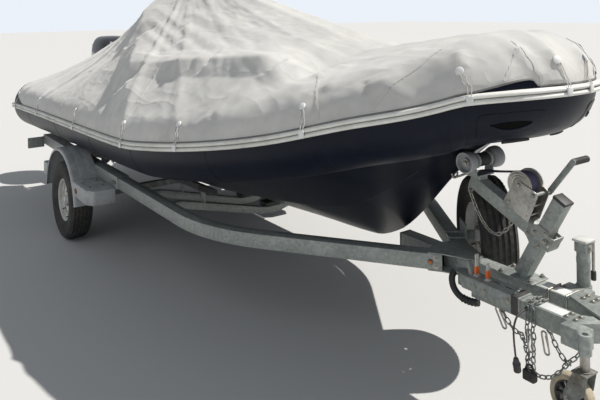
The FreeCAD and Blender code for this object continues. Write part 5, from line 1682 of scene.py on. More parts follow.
    def seaming(self) -> Piece:
        """Sewn seams: a narrow doubled band with two rows of stitches, along the sheet.

        Returns:
            The seams as one piece.
        """
        bands = []
        size = len(self.columns[0]) - 1
        shape = ((-0.0075, 0.0), (-0.007, 0.0016), (-0.003, 0.0010), (0.0, 0.0020), (0.003, 0.0010),
                 (0.007, 0.0016), (0.0075, 0.0))
        for seam in self.seams:
            for port in (False, True):
                line = []
                for (a, u), (b, v) in zip(seam, seam[1:]):
                    line += [(a + (b - a) * t, u + (v - u) * t) for t in (k / 14 for k in range(14))]
                line.append(seam[-1])
                spots = [self.spot(place, share * size, port) for place, share in line]
                rings = []
                for k, (p, n) in enumerate(spots):
                    along = (spots[min(k + 1, len(spots) - 1)][0] - spots[max(k - 1, 0)][0]).normalized()
                    side = along.cross(n).normalized()
                    rings.append([p + side * a + n * (b + 0.0006) for a, b in shape])
                bands.append(Meshes.rings("seam", rings, closed=False))
        return dress(Meshes.join("cover_seams", bands), COVER_CLOTH)

    def build(self) -> None:
        """Builds the sheet with its hem tape, dark as painted shadow, its seams, buttons and cords."""
        cloth = self.sheet()
        dress(cloth, COVER_CLOTH, replaces=("mooring_cover",))
        # The tape's dark colour is painted shadow along the hem.
        tape_and_shadow = dress(self.hem(), HEM_TAPE_AND_SHADOW)
        pieces = [tape_and_shadow, self.seaming()] + self.fittings()


# The trailer and the motor
def softened(node: str, finish: Finish, body: str = ROOT, width: float = 0.002) -> Piece:
    """A copy of a plain node with its edges rounded and its faces joined, put in the node's place.

    Args:
        node: the node that is copied.
        finish: the copy's finish.
        body: the body that it rides on.
        width: how far its edges are rounded.

    Returns:
        The copy.
    """
    source = frame["nodes"][node]
    mesh = source.data.copy()
    mesh.transform(source.matrix_world)
    mesh.materials.clear()
    obj = linked(node + "_softened", mesh)
    work = bmesh.new()
    work.from_mesh(mesh)
    bmesh.ops.remove_doubles(work, verts=work.verts, dist=2e-5)
    bmesh.ops.dissolve_limit(work, angle_limit=math.radians(0.6), verts=work.verts, edges=work.edges)
    work.to_mesh(mesh)
    work.free()
    Meshes.bevel(obj, width, 2, 30.0)
    return dress(obj, finish, body, (node,))


@dataclass
class Fastener:
    """Bolts, nuts and washers set along faces, each kind as one repeated piece."""

    radius: float = 0.008
    height: float = 0.007

    def template(self) -> Piece:
        """A hexagon head on its washer, with the thread's end.

        Returns:
            The fastener, pointing along Z.
        """
        r, h = self.radius, self.height
        head = [Vector((r * math.cos(t), r * math.sin(t), 0.0)) for t in (math.pi * k / 3 for k in range(6))]
        nut = Meshes.plate("head", [p + Vector((0, 0, 0.0018)) for p in head], Vector((0, 0, h)), r * 0.12)
        washer = Meshes.lathe("washer", [(0.0, 0.0), (r * 1.55, 0.0), (r * 1.55, 0.0018), (0.0, 0.0018)],
                              Vector(), UP, 20)
        stub = Meshes.lathe("stub", [(0.0, h), (r * 0.5, h), (r * 0.5, h * 1.45), (r * 0.4, h * 1.6),
                                     (0.0, h * 1.6)], Vector(), UP, 14)
        return Meshes.join("fastener", [nut, washer, stub])

    def lay(self, name: str, places: Sequence[Matrix], finish: Finish, body: str = ROOT) -> Piece:
        """Sets the fasteners in their places as one piece.

        Args:
            name: the piece's name.
            places: where each of them sits; its Z axis points out of the face.
            finish: their finish.
            body: the body that they ride on.

        Returns:
            The piece.
        """
        obj = Repeater.spread(name, self.template(), places, finish.build())
        return dress(obj, finish, body)


@dataclass
class Wheel:
    """A tyre with tread, its dished steel wheel, hub and nuts."""

    centre: Vector
    axis: Vector
    face: float
    tag: str
    body: str
    radius: float = 0.305
    width: float = 0.175
    rim: float = 0.165
    tread_steps: int = 216

    def tyre(self) -> Piece:
        """The tyre, with grooves round it and blocks across its shoulders.

        Returns:
            The tyre.
        """
        half, top = self.width / 2, self.radius - 0.001
        side = [(self.rim + 0.0005, half * 0.70), (self.rim + 0.010, half * 0.80),
                (self.rim + 0.024, half * 0.86), (self.rim + 0.034, half * 0.90),
                (self.rim + 0.036, half * 0.93), (self.rim + 0.041, half * 0.93),
                (self.rim + 0.043, half * 0.92), (self.rim + 0.066, half * 0.985),
                (self.rim + 0.085, half * 0.985), (top - 0.040, half * 0.975), (top - 0.030, half * 0.955),
                (top - 0.028, half * 0.925), (top - 0.0155, half * 0.885), (top - 0.009, half * 0.80),
                (top - 0.0065, half * 0.755)]
        crown = []
        for share in (0.66, 0.32, 0.0):
            for edge, deep in ((0.075, 0), (0.055, 1), (-0.055, 1), (-0.075, 0)):
                place = share + edge
                if share or place >= 0:
                    rise = 0.0028 * place ** 2 / 0.4
                    crown.append((top - rise - 0.0065 * deep, half * place))
        line = side + crown
        outline = line + [(r, -a) for r, a in reversed(line)]
        along = self.axis.normalized()
        rings = []
        for i, out in enumerate(ways(along, self.tread_steps)):
            ring = []
            for r, a in outline:
                share = abs(a) / half
                cut = 0.0
                phase = (i + (2 if a > 0 else 0)) % 4
                if r > top - 0.027 and share > 0.755 and phase == 0:
                    cut = 0.0055
                elif r > top - 0.004 and 0.4 < share < 0.6 and phase == 1:
                    cut = 0.004
                ring.append(self.centre + out * (r - cut) + along * a)
            rings.append(ring)
        obj = Meshes.rings("tyre_tread_" + self.tag, rings, looped=True)
        node = "spare_tyre" if self.tag == "spare" else "tyre_" + self.tag
        return dress(obj, TYRE_RUBBER, self.body, (node,))

    def barrel(self) -> Piece:
        """The wheel's barrel, dished disc with slots and pressed centre.

        Returns:
            The wheel.
        """
        rim = self.rim - 0.0003
        wide = 0.070 * 0.88
        outline = [(rim, -wide), (rim, wide), (rim - 0.004, wide + 0.0015), (rim - 0.010, wide - 0.002),
                   (rim - 0.0125, wide - 0.010), (rim - 0.013, wide * 0.55), (rim - 0.021, wide * 0.42),
                   (rim - 0.0215, -wide * 0.42), (rim - 0.013, -wide * 0.55), (rim - 0.0125, -wide + 0.010),
                   (rim - 0.010, -wide + 0.002), (rim - 0.004, -wide - 0.0015)]
        parts = [Meshes.lathe("barrel", outline, self.centre, self.axis * self.face, 96)]
        disc = [(0.052, 0.021), (0.070, 0.0205), (0.078, 0.0225), (0.090, 0.0295), (0.101, 0.0305),
                (0.112, 0.0265), (rim - 0.022, 0.0085), (rim - 0.022, 0.0035), (0.110, 0.0220),
                (0.100, 0.0255), (0.090, 0.0245), (0.078, 0.0175), (0.070, 0.0150), (0.052, 0.0150)]
        plate = Meshes.lathe("disc", disc, self.centre, self.axis * self.face, 144)
        along = (self.axis * self.face).normalized()
        cutters = []
        for out in ways(along, 10):
            side = along.cross(out)
            ring = [self.centre + out * (0.119 + 0.009 * math.cos(t)) + side * 0.0165 * math.sin(t)
                    - along * 0.02 for t in (2 * math.pi * j / 20 for j in range(20))]
            cutters.append(Meshes.plate("slot", ring, along * 0.08, 0.0))
        Meshes.carve(plate, Meshes.join("slots", cutters))
        parts.append(plate)
        hub = [(0.0, 0.0615), (0.020, 0.0612), (0.027, 0.058), (0.0285, 0.047), (0.0325, 0.0455),
               (0.033, 0.024), (0.0525, 0.0225), (0.0525, 0.012), (0.040, 0.010), (0.038, -0.036),
               (0.034, -0.0395), (0.0172, -0.0395), (0.0172, 0.056), (0.0, 0.056)]
        parts.append(Meshes.lathe("hub", hub, self.centre, self.axis * self.face, 48))
        obj = Meshes.join("wheel_disc_" + self.tag, parts)
        Meshes.shade(obj, 30)
        return dress(obj, RIM_ENAMEL, self.body, (self.node(),))

    def node(self) -> str:
        """The name of the wheel's rim node."""
        return "spare_rim" if self.tag == "spare" else "wheel_rim_" + self.tag

    def nuts(self) -> None:
        """Five wheel nuts, the valve and a balance weight."""
        along = (self.axis * self.face).normalized()
        first, other = ways(along, 4)[:2]
        places = [facing(self.centre + out * 0.060 + along * 0.0212, along, 17 * k)
                  for k, out in enumerate(ways(along, 5, 0.3))]
        Fastener(0.0095, 0.014).lay("wheel_nuts_" + self.tag, places, ZINC, self.body)
        foot = self.centre + first * 0.128 + along * 0.014
        valve = Meshes.lathe("valve", [(0.0, 0.0), (0.0055, 0.0), (0.0055, 0.010), (0.004, 0.012),
                                       (0.004, 0.034), (0.0, 0.035)], foot, along + first * 0.45, 12)
        weight = Meshes.box("weight", (-0.022, -0.003, -0.004), (0.022, 0.003, 0.004), 0.001)
        weight.data.transform(facing(self.centre + other * (self.rim - 0.0125) + along * 0.052,
                                     other * -1.0, 0))
        dress(Meshes.join("valve_and_weight_" + self.tag, [valve, weight]), BLACK_PLASTIC, self.body)

    def build(self) -> None:
        """Builds the wheel."""
        self.tyre()
        self.barrel()
        self.nuts()


@dataclass
class RunningGear:
    """Road wheels, fenders, springs and axle."""

    half_track: float = 0.9498
    outside: float = 1.0473
    width: float = 0.1979
    arch: float = 0.416
    axle_z: float = 0.305
    step_foot: float = 0.425
    step_height: float = 0.110
    spring_span: float = 0.805

    def fender(self, side: float) -> Piece:
        """One round fender with its rolled edge, ribbed step and mounting flange.

        Args:
            side: -1 for starboard and 1 for port.

        Returns:
            The fender.
        """
        y0, y1 = side * self.outside, side * (self.outside - self.width)
        inward = (y1 - y0) / abs(y1 - y0)
        start, end = math.radians(6), math.radians(174)
        profile = [(0.392, 0.000), (0.404, 0.0), (0.4105, 0.0025), (0.4150, 0.009), (0.416, 0.018),
                   (0.416, 0.060), (0.4148, 0.066), (0.416, 0.072), (0.416, 0.126), (0.4148, 0.132),
                   (0.416, 0.138), (0.416, 0.196), (0.413, 0.1975), (0.413, 0.018), (0.412, 0.011),
                   (0.408, 0.0055), (0.403, 0.003), (0.392, 0.003)]
        rings = []
        for t in spaced(start, end, 72):
            rings.append([at(r * math.cos(t), y0 + inward * a, self.axle_z + r * math.sin(t))
                          for r, a in profile])
        parts = [Meshes.rings("arch", rings)]
        x0 = self.arch * 0.8
        for low, high in ((x0 - 0.004, x0 + 0.420), (-x0 - 0.150, -x0 + 0.004)):
            ya, yb = sorted((y0, y1))
            cut = 0.075 if low > 0 else 0.012
            shell = Meshes.plate("step", self.step_line(low, high, y0, y1, cut, self.step_foot),
                                 UP * self.step_height, 0.014)
            inside = (low - 0.05, high - 0.004) if low > 0 else (low + 0.004, high + 0.05)
            floor = self.step_line(*inside, y0 + inward * 0.004, y1 - inward * 0.004, cut, 0.40)
            inner = Meshes.plate("inside", floor, UP * 0.131, 0.010)
            Meshes.carve(shell, inner)
            drum = Meshes.lathe("round", [(0.0, -0.01), (self.arch - 0.003, -0.01),
                                          (self.arch - 0.003, 0.3), (0.0, 0.3)],
                                at(0, y0 - inward * 0.02, self.axle_z), Vector((0, inward, 0)), 96)
            Meshes.carve(shell, drum)
            parts.append(shell)
            for k in range(7):
                y = ya + 0.03 + k * (yb - ya - 0.06) / 6
                near, far = (max(low + 0.02, 0.40), high - 0.02) if low > 0 else (low + 0.03, -0.42)
                parts.append(Meshes.box("rib", at(near, y - 0.004, 0.534), at(far, y + 0.004, 0.5372),
                                        0.0015))
        obj = Meshes.join("fender_shell", parts)
        Meshes.shade(obj, 35)
        return obj

    @staticmethod
    def step_line(low: float, high: float, outer: float, inner: float, cut: float, z: float) -> list[Vector]:
        """The outline of a fender's step seen from above, its front outer corner cut off.

        Args:
            low: its aft end.
            high: its front end.
            outer: its outer side.
            inner: its inner side.
            cut: how far the corner is cut.
            z: its height.

        Returns:
            The outline.
        """
        way = math.copysign(1.0, inner - outer)
        return [at(low, outer, z), at(high - cut, outer, z), at(high, outer + way * cut * 0.55, z),
                at(high, inner, z), at(low, inner, z)]

    def springs(self) -> None:
        """Leaf springs and the axle's U bolts."""
        softened("leaf_springs", OLD_GALVANISED, width=0.0015)
        bars = []
        for side in (-1, 1):
            y = side * self.spring_span
            for x in (-0.035, 0.035):
                for edge in (-0.026, 0.026):
                    foot = at(x, y + edge, 0.318)
                    bars.append(Meshes.tube("u_bolt", [foot, foot + Vector((0, 0, 0.052))], 0.0055, 10))
        dress(Meshes.join("axle_u_bolts", bars), ZINC)

    def build(self) -> None:
        """Builds the running gear."""
        for side, tag in ((-1, "right"), (1, "left")):
            Wheel(at(0, side * self.half_track, self.axle_z), PORT, side, tag, "wheel_" + tag).build()
        shells = [self.fender(side) for side in (-1, 1)]
        dress(Meshes.join("fender_shells", shells), FENDER_GREY, replaces=("fenders",))
        self.springs()
        softened("axle", OLD_GALVANISED)


@dataclass
class Frame:
    """Rails, crossmembers, tongue and bunks with their plates, and the boat's transom."""

    soft: tuple = (("side_rails", 0.006), ("front_rails", 0.007), ("crossmembers", 0.005), ("tongue", 0.007),
                   ("tongue_joint_plates", 0.0015), ("bunk_brackets", 0.001), ("spare_carrier", 0.0015),
                   ("hinge_plates", 0.002), ("lamp_brackets", 0.001))

    def build(self) -> None:
        """Builds the frame's pieces."""
        for node, width in self.soft:
            softened(node, GALVANISED, width=width)
        softened("bunks", CARPET, width=0.009)
        softened("keel_pads", ROLLER_RUBBER, width=0.004)
        softened("end_caps", BLACK_PLASTIC, width=0.003)
        softened("transom", GEL_COAT, width=0.006)


def rounded(points: Sequence[tuple[float, float]], steps: int) -> list[tuple[float, float]]:
    """A smooth closed curve through points in a plane.

    Args:
        points: the points in order.
        steps: how many points the curve gets between two of them.

    Returns:
        The curve's points.
    """
    size, curve = len(points), []
    for i in range(size):
        a, b, c, d = (Vector(points[(i + k) % size]) for k in (-1, 0, 1, 2))
        for t in (k / steps for k in range(steps)):
            p = b * 2 + (c - a) * t + (a * 2 - b * 5 + c * 4 - d) * t * t + (b * 3 - a - c * 3 + d) * t ** 3
            curve.append((p.x / 2, p.y / 2))
    return curve


@dataclass
class Motor:
    """The outboard motor: cowl, tray, leg, bracket and propeller."""

    leg_x: float = -1.7033
    base: float = 1.095
    fore: float = -1.4569
    length: float = 0.62
    half: float = 0.19
    water: float = 0.437
    hub: float = 0.247
    outline: tuple = ((0.5, 0.0), (0.49, 0.33), (0.45, 0.66), (0.33, 0.90), (0.1, 0.985), (-0.22, 0.92),
                      (-0.42, 0.66), (-0.49, 0.3), (-0.5, 0.0), (-0.49, -0.3), (-0.42, -0.66),
                      (-0.22, -0.92), (0.1, -0.985), (0.33, -0.90), (0.45, -0.66), (0.49, -0.33))

    def ring(self, rise: float, share: float, grow: float = 0.0) -> list[Vector]:
        """One level outline of the cowl or its tray.

        Args:
            rise: its height over the cowl's base.
            share: its size.
            grow: how far it stands outside.

        Returns:
            The ring.
        """
        middle = self.fore - self.length / 2
        long, wide = self.length * share + 2 * grow, self.half * share + grow
        return [at(middle + a * long, b * wide, self.base + rise) for a, b in rounded(self.outline, 6)]

    def cowl(self) -> None:
        """The cowl with its seal, side strips and vents."""
        levels = ((0.0905, 0.985), (0.096, 1.0), (0.13, 1.012), (0.18, 1.024), (0.22, 1.03), (0.262, 1.022),
                  (0.30, 1.0), (0.335, 0.965), (0.365, 0.92), (0.39, 0.865), (0.408, 0.80), (0.421, 0.73),
                  (0.431, 0.64), (0.437, 0.53), (0.4398, 0.38), (0.4402, 0.15))
        shell = Meshes.rings("motor_cowl_shell", [self.ring(*level) for level in levels])
        shell.data.set_sharp_from_angle(angle=math.radians(50))
        dress(shell, MOTOR_DARK, "motor_head", ("motor_cowl",))
        strips, bands = [], []
        for low, high in ((85, 88), (8, 11)):
            rows = [self.ring(rise, share, 0.0012)[low:high] for rise, share in levels[2:10]]
            strips.append(Meshes.rings("strip", rows, closed=False))
        dress(Meshes.join("motor_cowl_strips", strips), MOTOR_STRIPE, "motor_head")
        for rise, grow, deep in ((0.088, 0.001, 0.006), (0.205, 0.0008, 0.0025)):
            share = 0.995 if rise < 0.1 else 1.028
            rows = [self.ring(rise - deep / 2, share, -0.004), self.ring(rise - deep / 2, share, grow),
                    self.ring(rise + deep / 2, share, grow), self.ring(rise + deep / 2, share, -0.004)]
            bands.append(Meshes.rings("band", rows, capped=False))
        for k in range(5):
            for side in (-1, 1):
                x = self.fore - 0.44 - 0.022 * k
                y = side * (0.156 - 0.006 * k)
                low = at(x - 0.006, y - 0.012, self.base + 0.30)
                high = at(x + 0.004, y + 0.012, self.base + 0.346)
                bands.append(Meshes.box("vent", low, high, 0.002))
        dress(Meshes.join("motor_cowl_seal", bands), BLACK_PLASTIC, "motor_head")

    def tray(self) -> None:
        """The tray under the cowl with its latches."""
        levels = ((0.0, 0.74), (0.0005, 0.79), (0.006, 0.81), (0.03, 0.895), (0.058, 0.965), (0.078, 0.99),
                  (0.084, 0.995), (0.0885, 0.992))
        rows = [self.ring(*level) for level in levels]
        dress(Meshes.rings("motor_tray_shell", rows), MOTOR_MAROON, "motor_head",
              ("motor_tray",))
        latches = []
        latch = [(0.0, 0.0), (0.009, 0.0), (0.009, 0.006), (0.006, 0.008), (0.0, 0.008)]
        for x in (-1.50, -1.72, -1.95):
            for side in (-1, 1):
                y = side * (0.168 if x < -1.9 else 0.186 if x > -1.6 else 0.187)
                spot = at(x, y - side * 0.005, self.base + 0.07)
                latches.append(Meshes.lathe("latch", latch, spot, Vector((0, side, 0)), 16))
        dress(Meshes.join("motor_latches", latches), ZINC, "motor_head")

    def leg(self) -> None:
        """The leg, its water plates, gearcase, skeg and steering arms."""
        x, water, hub = self.leg_x, self.water, self.hub
        rows = []
        for z, aft, fore, wide in ((1.017, -0.150, 0.002, 0.046), (0.80, -0.147, 0.0, 0.045),
                                   (0.56, -0.138, 0.0, 0.044), (0.50, -0.134, 0.018, 0.042),
                                   (0.458, -0.130, 0.040, 0.038), (0.42, -0.126, 0.056, 0.032),
                                   (0.377, -0.120, 0.070, 0.026), (0.32, -0.122, 0.072, 0.02),
                                   (0.27, -0.126, 0.070, 0.018)):
            middle, reach = (aft + fore) / 2, (fore - aft) / 2
            rows.append([at(x + middle + reach * math.copysign(abs(math.cos(t)) ** 0.7, math.cos(t)),
                            wide * math.copysign(abs(math.sin(t)) ** 0.8, math.sin(t)), z)
                         for t in turns(40)])
        parts = [Meshes.rings("case", rows)]
        for z, wide, aft, fore in ((water - 0.008, 0.095, -0.24, 0.06), (water + 0.055, 0.062, -0.17, 0.045)):
            ring = [at(x + aft, -wide * 0.7, z), at(x + aft, wide * 0.7, z), at(x - 0.12, wide, z),
                    at(x + 0.0, wide * 0.8, z), at(x + fore, wide * 0.3, z), at(x + fore, -wide * 0.3, z),
                    at(x, -wide * 0.8, z), at(x - 0.12, -wide, z)]
            parts.append(Meshes.plate("water_plate", ring, Vector((0, 0, 0.008)), 0.003))
        case = [(0.0, 0.16), (0.010, 0.158), (0.022, 0.142), (0.036, 0.105), (0.045, 0.06), (0.048, 0.0),
                (0.048, -0.06), (0.045, -0.11), (0.040, -0.148), (0.0, -0.15)]
        parts.append(Meshes.lathe("gearcase", case, at(x, 0, hub), FORE, 40))
        skeg = [at(x + 0.04, -0.006, hub - 0.03), at(x + 0.012, -0.006, hub - 0.08),
                at(x - 0.06, -0.006, 0.1175), at(x - 0.115, -0.006, 0.127),
                at(x - 0.125, -0.006, hub - 0.03)]
        parts.append(Meshes.plate("skeg", skeg, Vector((0, 0.012, 0)), 0.004))
        shaft = [(0.0, -0.26), (0.012, -0.26), (0.012, -0.14), (0.0, -0.14)]
        pin = [(0.0, 0.0), (0.018, 0.0), (0.018, 0.466), (0.0, 0.466)]
        pins = [Meshes.lathe("shaft", shaft, at(x, 0, hub), FORE, 20),
                Meshes.lathe("pin", pin, at(x + 0.048, 0, 0.585), UP, 24),
                Meshes.box("low_arm", at(x - 0.09, -0.055, 0.547), at(x + 0.068, 0.055, 0.607), 0.012),
                Meshes.box("high_arm", at(x - 0.12, -0.06, 1.018), at(x + 0.108, 0.06, 1.0945), 0.014)]
        dress(Meshes.join("motor_leg_case", parts + pins), MOTOR_GREY, "motor_head",
              ("motor_leg",))

    def propeller(self) -> None:
        """Three twisted blades on a round hub."""
        foot = at(self.leg_x - 0.203, 0, self.hub)
        hub = [(0.0125, 0.047), (0.036, 0.047), (0.040, 0.040), (0.040, -0.030), (0.036, -0.046),
               (0.0125, -0.047)]
        parts = [Meshes.lathe("hub", hub, foot, FORE, 40)]
        faces = [(u, 1) for u in spaced(-0.5, 0.5, 9)] + [(u, -1) for u in spaced(0.5, -0.5, 9)[1:-1]]
        for k in range(3):
            rows = []
            for r in spaced(0.030, 0.1635, 16):
                share = (r - 0.030) / 0.1335
                chord = 0.050 + 0.075 * math.sin(math.pi * min(1.0, 0.12 + share * 0.80))
                chord *= math.sqrt(max(0.03, 1 - share ** 6))
                pitch = math.atan(0.34 / (2 * math.pi * r))
                thick = 0.0055 * (1 - 0.7 * share)
                ring = []
                for u, side in faces:
                    bow = thick * (1 - (2 * u) ** 2) * side * 0.5
                    arc = chord * u * math.cos(pitch) - bow * math.sin(pitch) + 0.03 * share
                    rise = chord * u * math.sin(pitch) * 0.85 + bow * math.cos(pitch)
                    turn = arc / r + 2 * math.pi * k / 3
                    ring.append(foot + Vector((rise, r * math.cos(turn), r * math.sin(turn))))
                rows.append(ring)
            parts.append(Meshes.rings("blade", rows))
        dress(Meshes.join("propeller_blades", parts), MOTOR_GREY, "propeller_turn",
              ("propeller",))
        nut = Meshes.lathe("nut", [(0.0, -0.062), (0.010, -0.061), (0.014, -0.05), (0.014, -0.0475),
                                   (0.0, -0.0475)], foot, FORE, 6)
        dress(nut, ZINC, "propeller_turn")

    def build(self) -> None:
        """Builds the motor."""
        self.cowl()
        self.tray()
        self.leg()
        self.propeller()
        softened("motor_clamp", MOTOR_DARK, width=0.004)
        softened("motor_swivel", MOTOR_DARK, "motor_tilt", 0.005)


def gear(name: str, foot: Vector, axis: Vector, radius: float, teeth: int, thick: float) -> Piece:
    """A spur gear from its foot along its axis.

    Args:
        name: the piece's name.
        foot: the middle of its first face.
        axis: its axis.
        radius: the radius over its teeth.
        teeth: how many teeth it has.
        thick: its width.

    Returns:
        The new object.
    """
    deep = radius * 3.6 / teeth
    shares, outer = (0.18, 0.32, 0.55, 0.69), (radius - deep, radius, radius, radius - deep)
    flanks = [ways(axis, teeth, 2 * math.pi * share / teeth) for share in shares]
    ring = [foot + flank[k] * reach for k in range(teeth) for flank, reach in zip(flanks, outer)]
    return Meshes.plate(name, ring, axis.normalized() * thick, 0.0004)


def arm_spot(reach: float, rise: float, y: float = 0.0) -> Vector:
    """A point beside the arm's middle line, by its reach from the joint and its height over the line."""
    return at(3.659 - 0.908 * reach + 0.4185 * rise, y, 0.815 + 0.4185 * reach + 0.908 * rise)


@dataclass
class Chain:
    """A chain of welded links laid along points."""

    length: float = 0.040
    width: float = 0.024
    wire: float = 0.0031

    def link(self) -> Piece:
        """One oval link, its long side along Z.

        Returns:
            The link.
        """
        half, bend = self.length / 2 - self.wire, self.width / 2 - self.wire
        path = []
        for end in (1, -1):
            for t in spaced(0.0, math.pi, 7):
                path.append(Vector((bend * math.cos(t) * end, 0, end * (half - bend + bend * math.sin(t)))))
        return Meshes.tube("link", path, self.wire, 7, looped=True)

    def lay(self, name: str, runs: Sequence[Sequence[Vector]], finish: Finish, body: str = ROOT) -> Piece:
        """Lays links along each run of points.

        Args:
            name: the piece's name.
            runs: the points of each run.
            finish: the links' finish.
            body: the body that they ride on.

        Returns:
            The piece.
        """
        pitch = self.length - 3.4 * self.wire
        places = []
        for run in runs:
            fine = [a.lerp(b, k / 12) for a, b in zip(run, run[1:]) for k in range(12)] + [run[-1]]
            gone, due, spin = 0.0, 0.0, 20.0
            for a, b in zip(fine, fine[1:]):
                gone += (b - a).length
                if gone >= due:
                    places.append(facing(b, b - a, spin + random.uniform(-9, 9)))
                    due += pitch
                    spin += 90.0
        obj = Repeater.spread(name, self.link(), places, finish.build())
        return dress(obj, finish, body)

    @staticmethod
    def drape(a: Vector, b: Vector, sag: float, count: int = 14) -> list[Vector]:
        """A slack run between two points, lowest in the middle."""
        return [a.lerp(b, t) - Vector((0, 0, 4 * sag * t * (1 - t))) for t in spaced(0.0, 1.0, count)]


def snap_hook(name: str, top: Vector, down: Vector, wide: Vector, length: float = 0.085) -> Piece:
    """A long wire snap hook that hangs from a point.

    Args:
        name: the piece's name.
        top: where it hangs.
        down: its long direction.
        wide: the direction across it.
        length: its length.

    Returns:
        The new object.
    """
    down, wide = down.normalized(), wide.normalized()
    half, bend, path = length / 2, 0.0105, []
    for end in (1, -1):
        for t in spaced(0.0, math.pi, 7):
            path.append(top + down * (half - end * (half - bend + bend * math.sin(t)))
                        + wide * bend * math.cos(t) * end)
    ring = Meshes.tube(name, path, 0.0038, 8, looped=True)
    gate = Meshes.tube("gate", [top + down * 0.016 + wide * 0.005,
                                top + down * (length - 0.014) + wide * 0.011], 0.0026, 8)
    return Meshes.join(name, [ring, gate])


@dataclass
class Winch:
    """Winch post and arm, the hand winch with its strap, and the bow roller."""

    post_foot: tuple = (3.548, 0.0, 0.6103)
    drum: tuple = (3.569, 0.0, 1.022)
    pinion: tuple = (3.640, 0.0, 0.990)
    roller: tuple = (3.332, 0.0, 1.085)
    swing: float = 53.0

    def drums(self) -> None:
        """The drum with its ribbed flanges and gear, and the strap wound on it."""
        foot, axis = at(*self.drum), PORT
        side = []
        for r in spaced(0.026, 0.0585, 27):
            side.append((r, -0.0372 - 0.0016 * max(0.0, math.sin((r - 0.026) / 0.0325 * math.pi * 6))))
        near = [(0.0085, -0.0385), (0.018, -0.0385), (0.022, -0.0372)] + side
        near += [(0.0605, -0.0385), (0.062, -0.037), (0.0615, -0.0345), (0.058, -0.0335), (0.0085, -0.0335)]
        parts = [Meshes.lathe("near", near, foot, axis, 64)]
        far = [(r, -a) for r, a in near]
        parts.append(Meshes.lathe("far", far, foot, axis, 64))
        parts.append(Meshes.lathe("core", [(0.0, -0.0345), (0.030, -0.0345), (0.030, 0.0345),
                                           (0.0, 0.0345)], foot, axis, 32))
        shaft = [(0.0, -0.0545), (0.005, -0.0545), (0.008, -0.052), (0.008, 0.0630), (0.0, 0.0630)]
        parts.append(Meshes.lathe("shaft", shaft, foot, axis, 24))
        parts.append(gear("drum_gear", foot + axis * 0.0472, axis, 0.060, 46, 0.0076))
        parts.append(Meshes.lathe("boss", [(0.0, 0.0465), (0.020, 0.0465), (0.020, 0.0580), (0.0, 0.0580)],
                                  foot, axis, 24))
        dress(Meshes.join("winch_drum_flanges", parts), ZINC, "drum_turn", ("winch_drum",))
        wraps = []
        for sign in (-1, 1):
            rows = spaced(0.031, 0.0496, 24)
            wraps += [(r, sign * (0.0308 if k % 2 else 0.0297))
                      for k, r in enumerate(rows if sign < 0 else rows[::-1])]
        wound = Meshes.lathe("strap_windings", [(0.0303, -0.0297)] + wraps + [(0.0303, 0.0297)], foot, axis,
                             64)
        dress(wound, WEBBING, "drum_turn", ("winch_strap_turns",))

    def strap(self) -> None:
        """The strap from the drum under the spool to the hook in the bow eye, and the eye."""
        path = [(3.5695, 1.0722), (3.552, 1.0715), (3.50, 1.0605), (3.43, 1.0475), (3.37, 1.0388),
                (3.32, 1.031), (3.26, 1.010), (3.225, 0.994)]
        rings = []
        for k, (x, z) in enumerate(path):
            a = path[max(0, k - 1)]
            b = path[min(len(path) - 1, k + 1)]
            lift = Vector((a[1] - b[1], 0, -(a[0] - b[0]))).normalized() * -0.0009
            wide = 0.0255 if k < 6 else 0.0215
            low, high = at(x, 0, z) - lift, at(x, 0, z) + lift
            side = Vector((0, wide, 0))
            rings.append([low - side, low + side, high + side, high - side])
        dress(Meshes.rings("winch_strap_run", rings), WEBBING)
        bars = [Meshes.tube("loop", [at(3.2255, -0.026, 0.991), at(3.2255, 0.026, 0.991)], 0.0042, 10)]
        hook = [(3.2255, 0.992), (3.205, 0.982), (3.186, 0.974), (3.168, 0.970), (3.158, 0.978),
                (3.162, 0.990), (3.174, 0.992)]
        bars.append(Meshes.tube("hook", [at(x, 0, z) for x, z in hook], 0.0055, 12))
        eye = [at(3.168 + 0.004, 0.021 * math.cos(t), 0.990 - 0.024 * math.sin(t))
               for t in spaced(0.0, math.pi, 13)]
        bars.append(Meshes.tube("eye", eye, 0.0046, 12))
        dress(Meshes.join("bow_eye_and_hook", bars), ZINC)

    def crank(self) -> None:
        """The crank's flat bar, pinion and ribbed grip."""
        foot, axis = at(*self.pinion), PORT
        swing = Vector((math.cos(math.radians(self.swing)), 0, math.sin(math.radians(self.swing))))
        across = swing.cross(axis) * 0.013
        outline = []
        for end, reach in ((-1, -0.007), (1, 0.183)):
            for t in spaced(-math.pi / 2, math.pi / 2, 9):
                step = swing * (reach + end * 0.013 * math.cos(t)) + across * math.sin(t) * end
                outline.append(foot + step + axis * 0.0802)
        bar = Meshes.plate("bar", outline, axis * 0.0056, 0.0008)
        parts = [bar, gear("pinion", foot + axis * 0.0472, axis, 0.0118, 11, 0.0076)]
        shaft = [(0.0, -0.0505), (0.0078, -0.0505), (0.0078, 0.088), (0.0, 0.088)]
        parts.append(Meshes.lathe("shaft", shaft, foot, axis, 20))
        nut = [(0.0, 0.0862), (0.013, 0.0862), (0.013, 0.0925), (0.0, 0.0925)]
        parts.append(Meshes.lathe("nut", nut, foot, axis, 6))
        dress(Meshes.join("winch_crank_bar", parts), GALVANISED, "crank_turn", ("winch_crank",))
        tip = foot + swing * 0.182 + axis * 0.0868
        grip = [(0.0, 0.0), (0.0125, 0.0), (0.0145, 0.002)]
        for k in range(9):
            grip += [(0.0148, 0.006 + k * 0.0108), (0.0148, 0.0125 + k * 0.0108),
                     (0.0132, 0.0135 + k * 0.0108), (0.0132, 0.0158 + k * 0.0108)]
        grip += [(0.0150, 0.1005), (0.0142, 0.1035), (0.010, 0.105), (0.0, 0.105)]
        dress(Meshes.lathe("winch_crank_grip", grip, tip, axis, 40), BLACK_PLASTIC, "crank_turn")

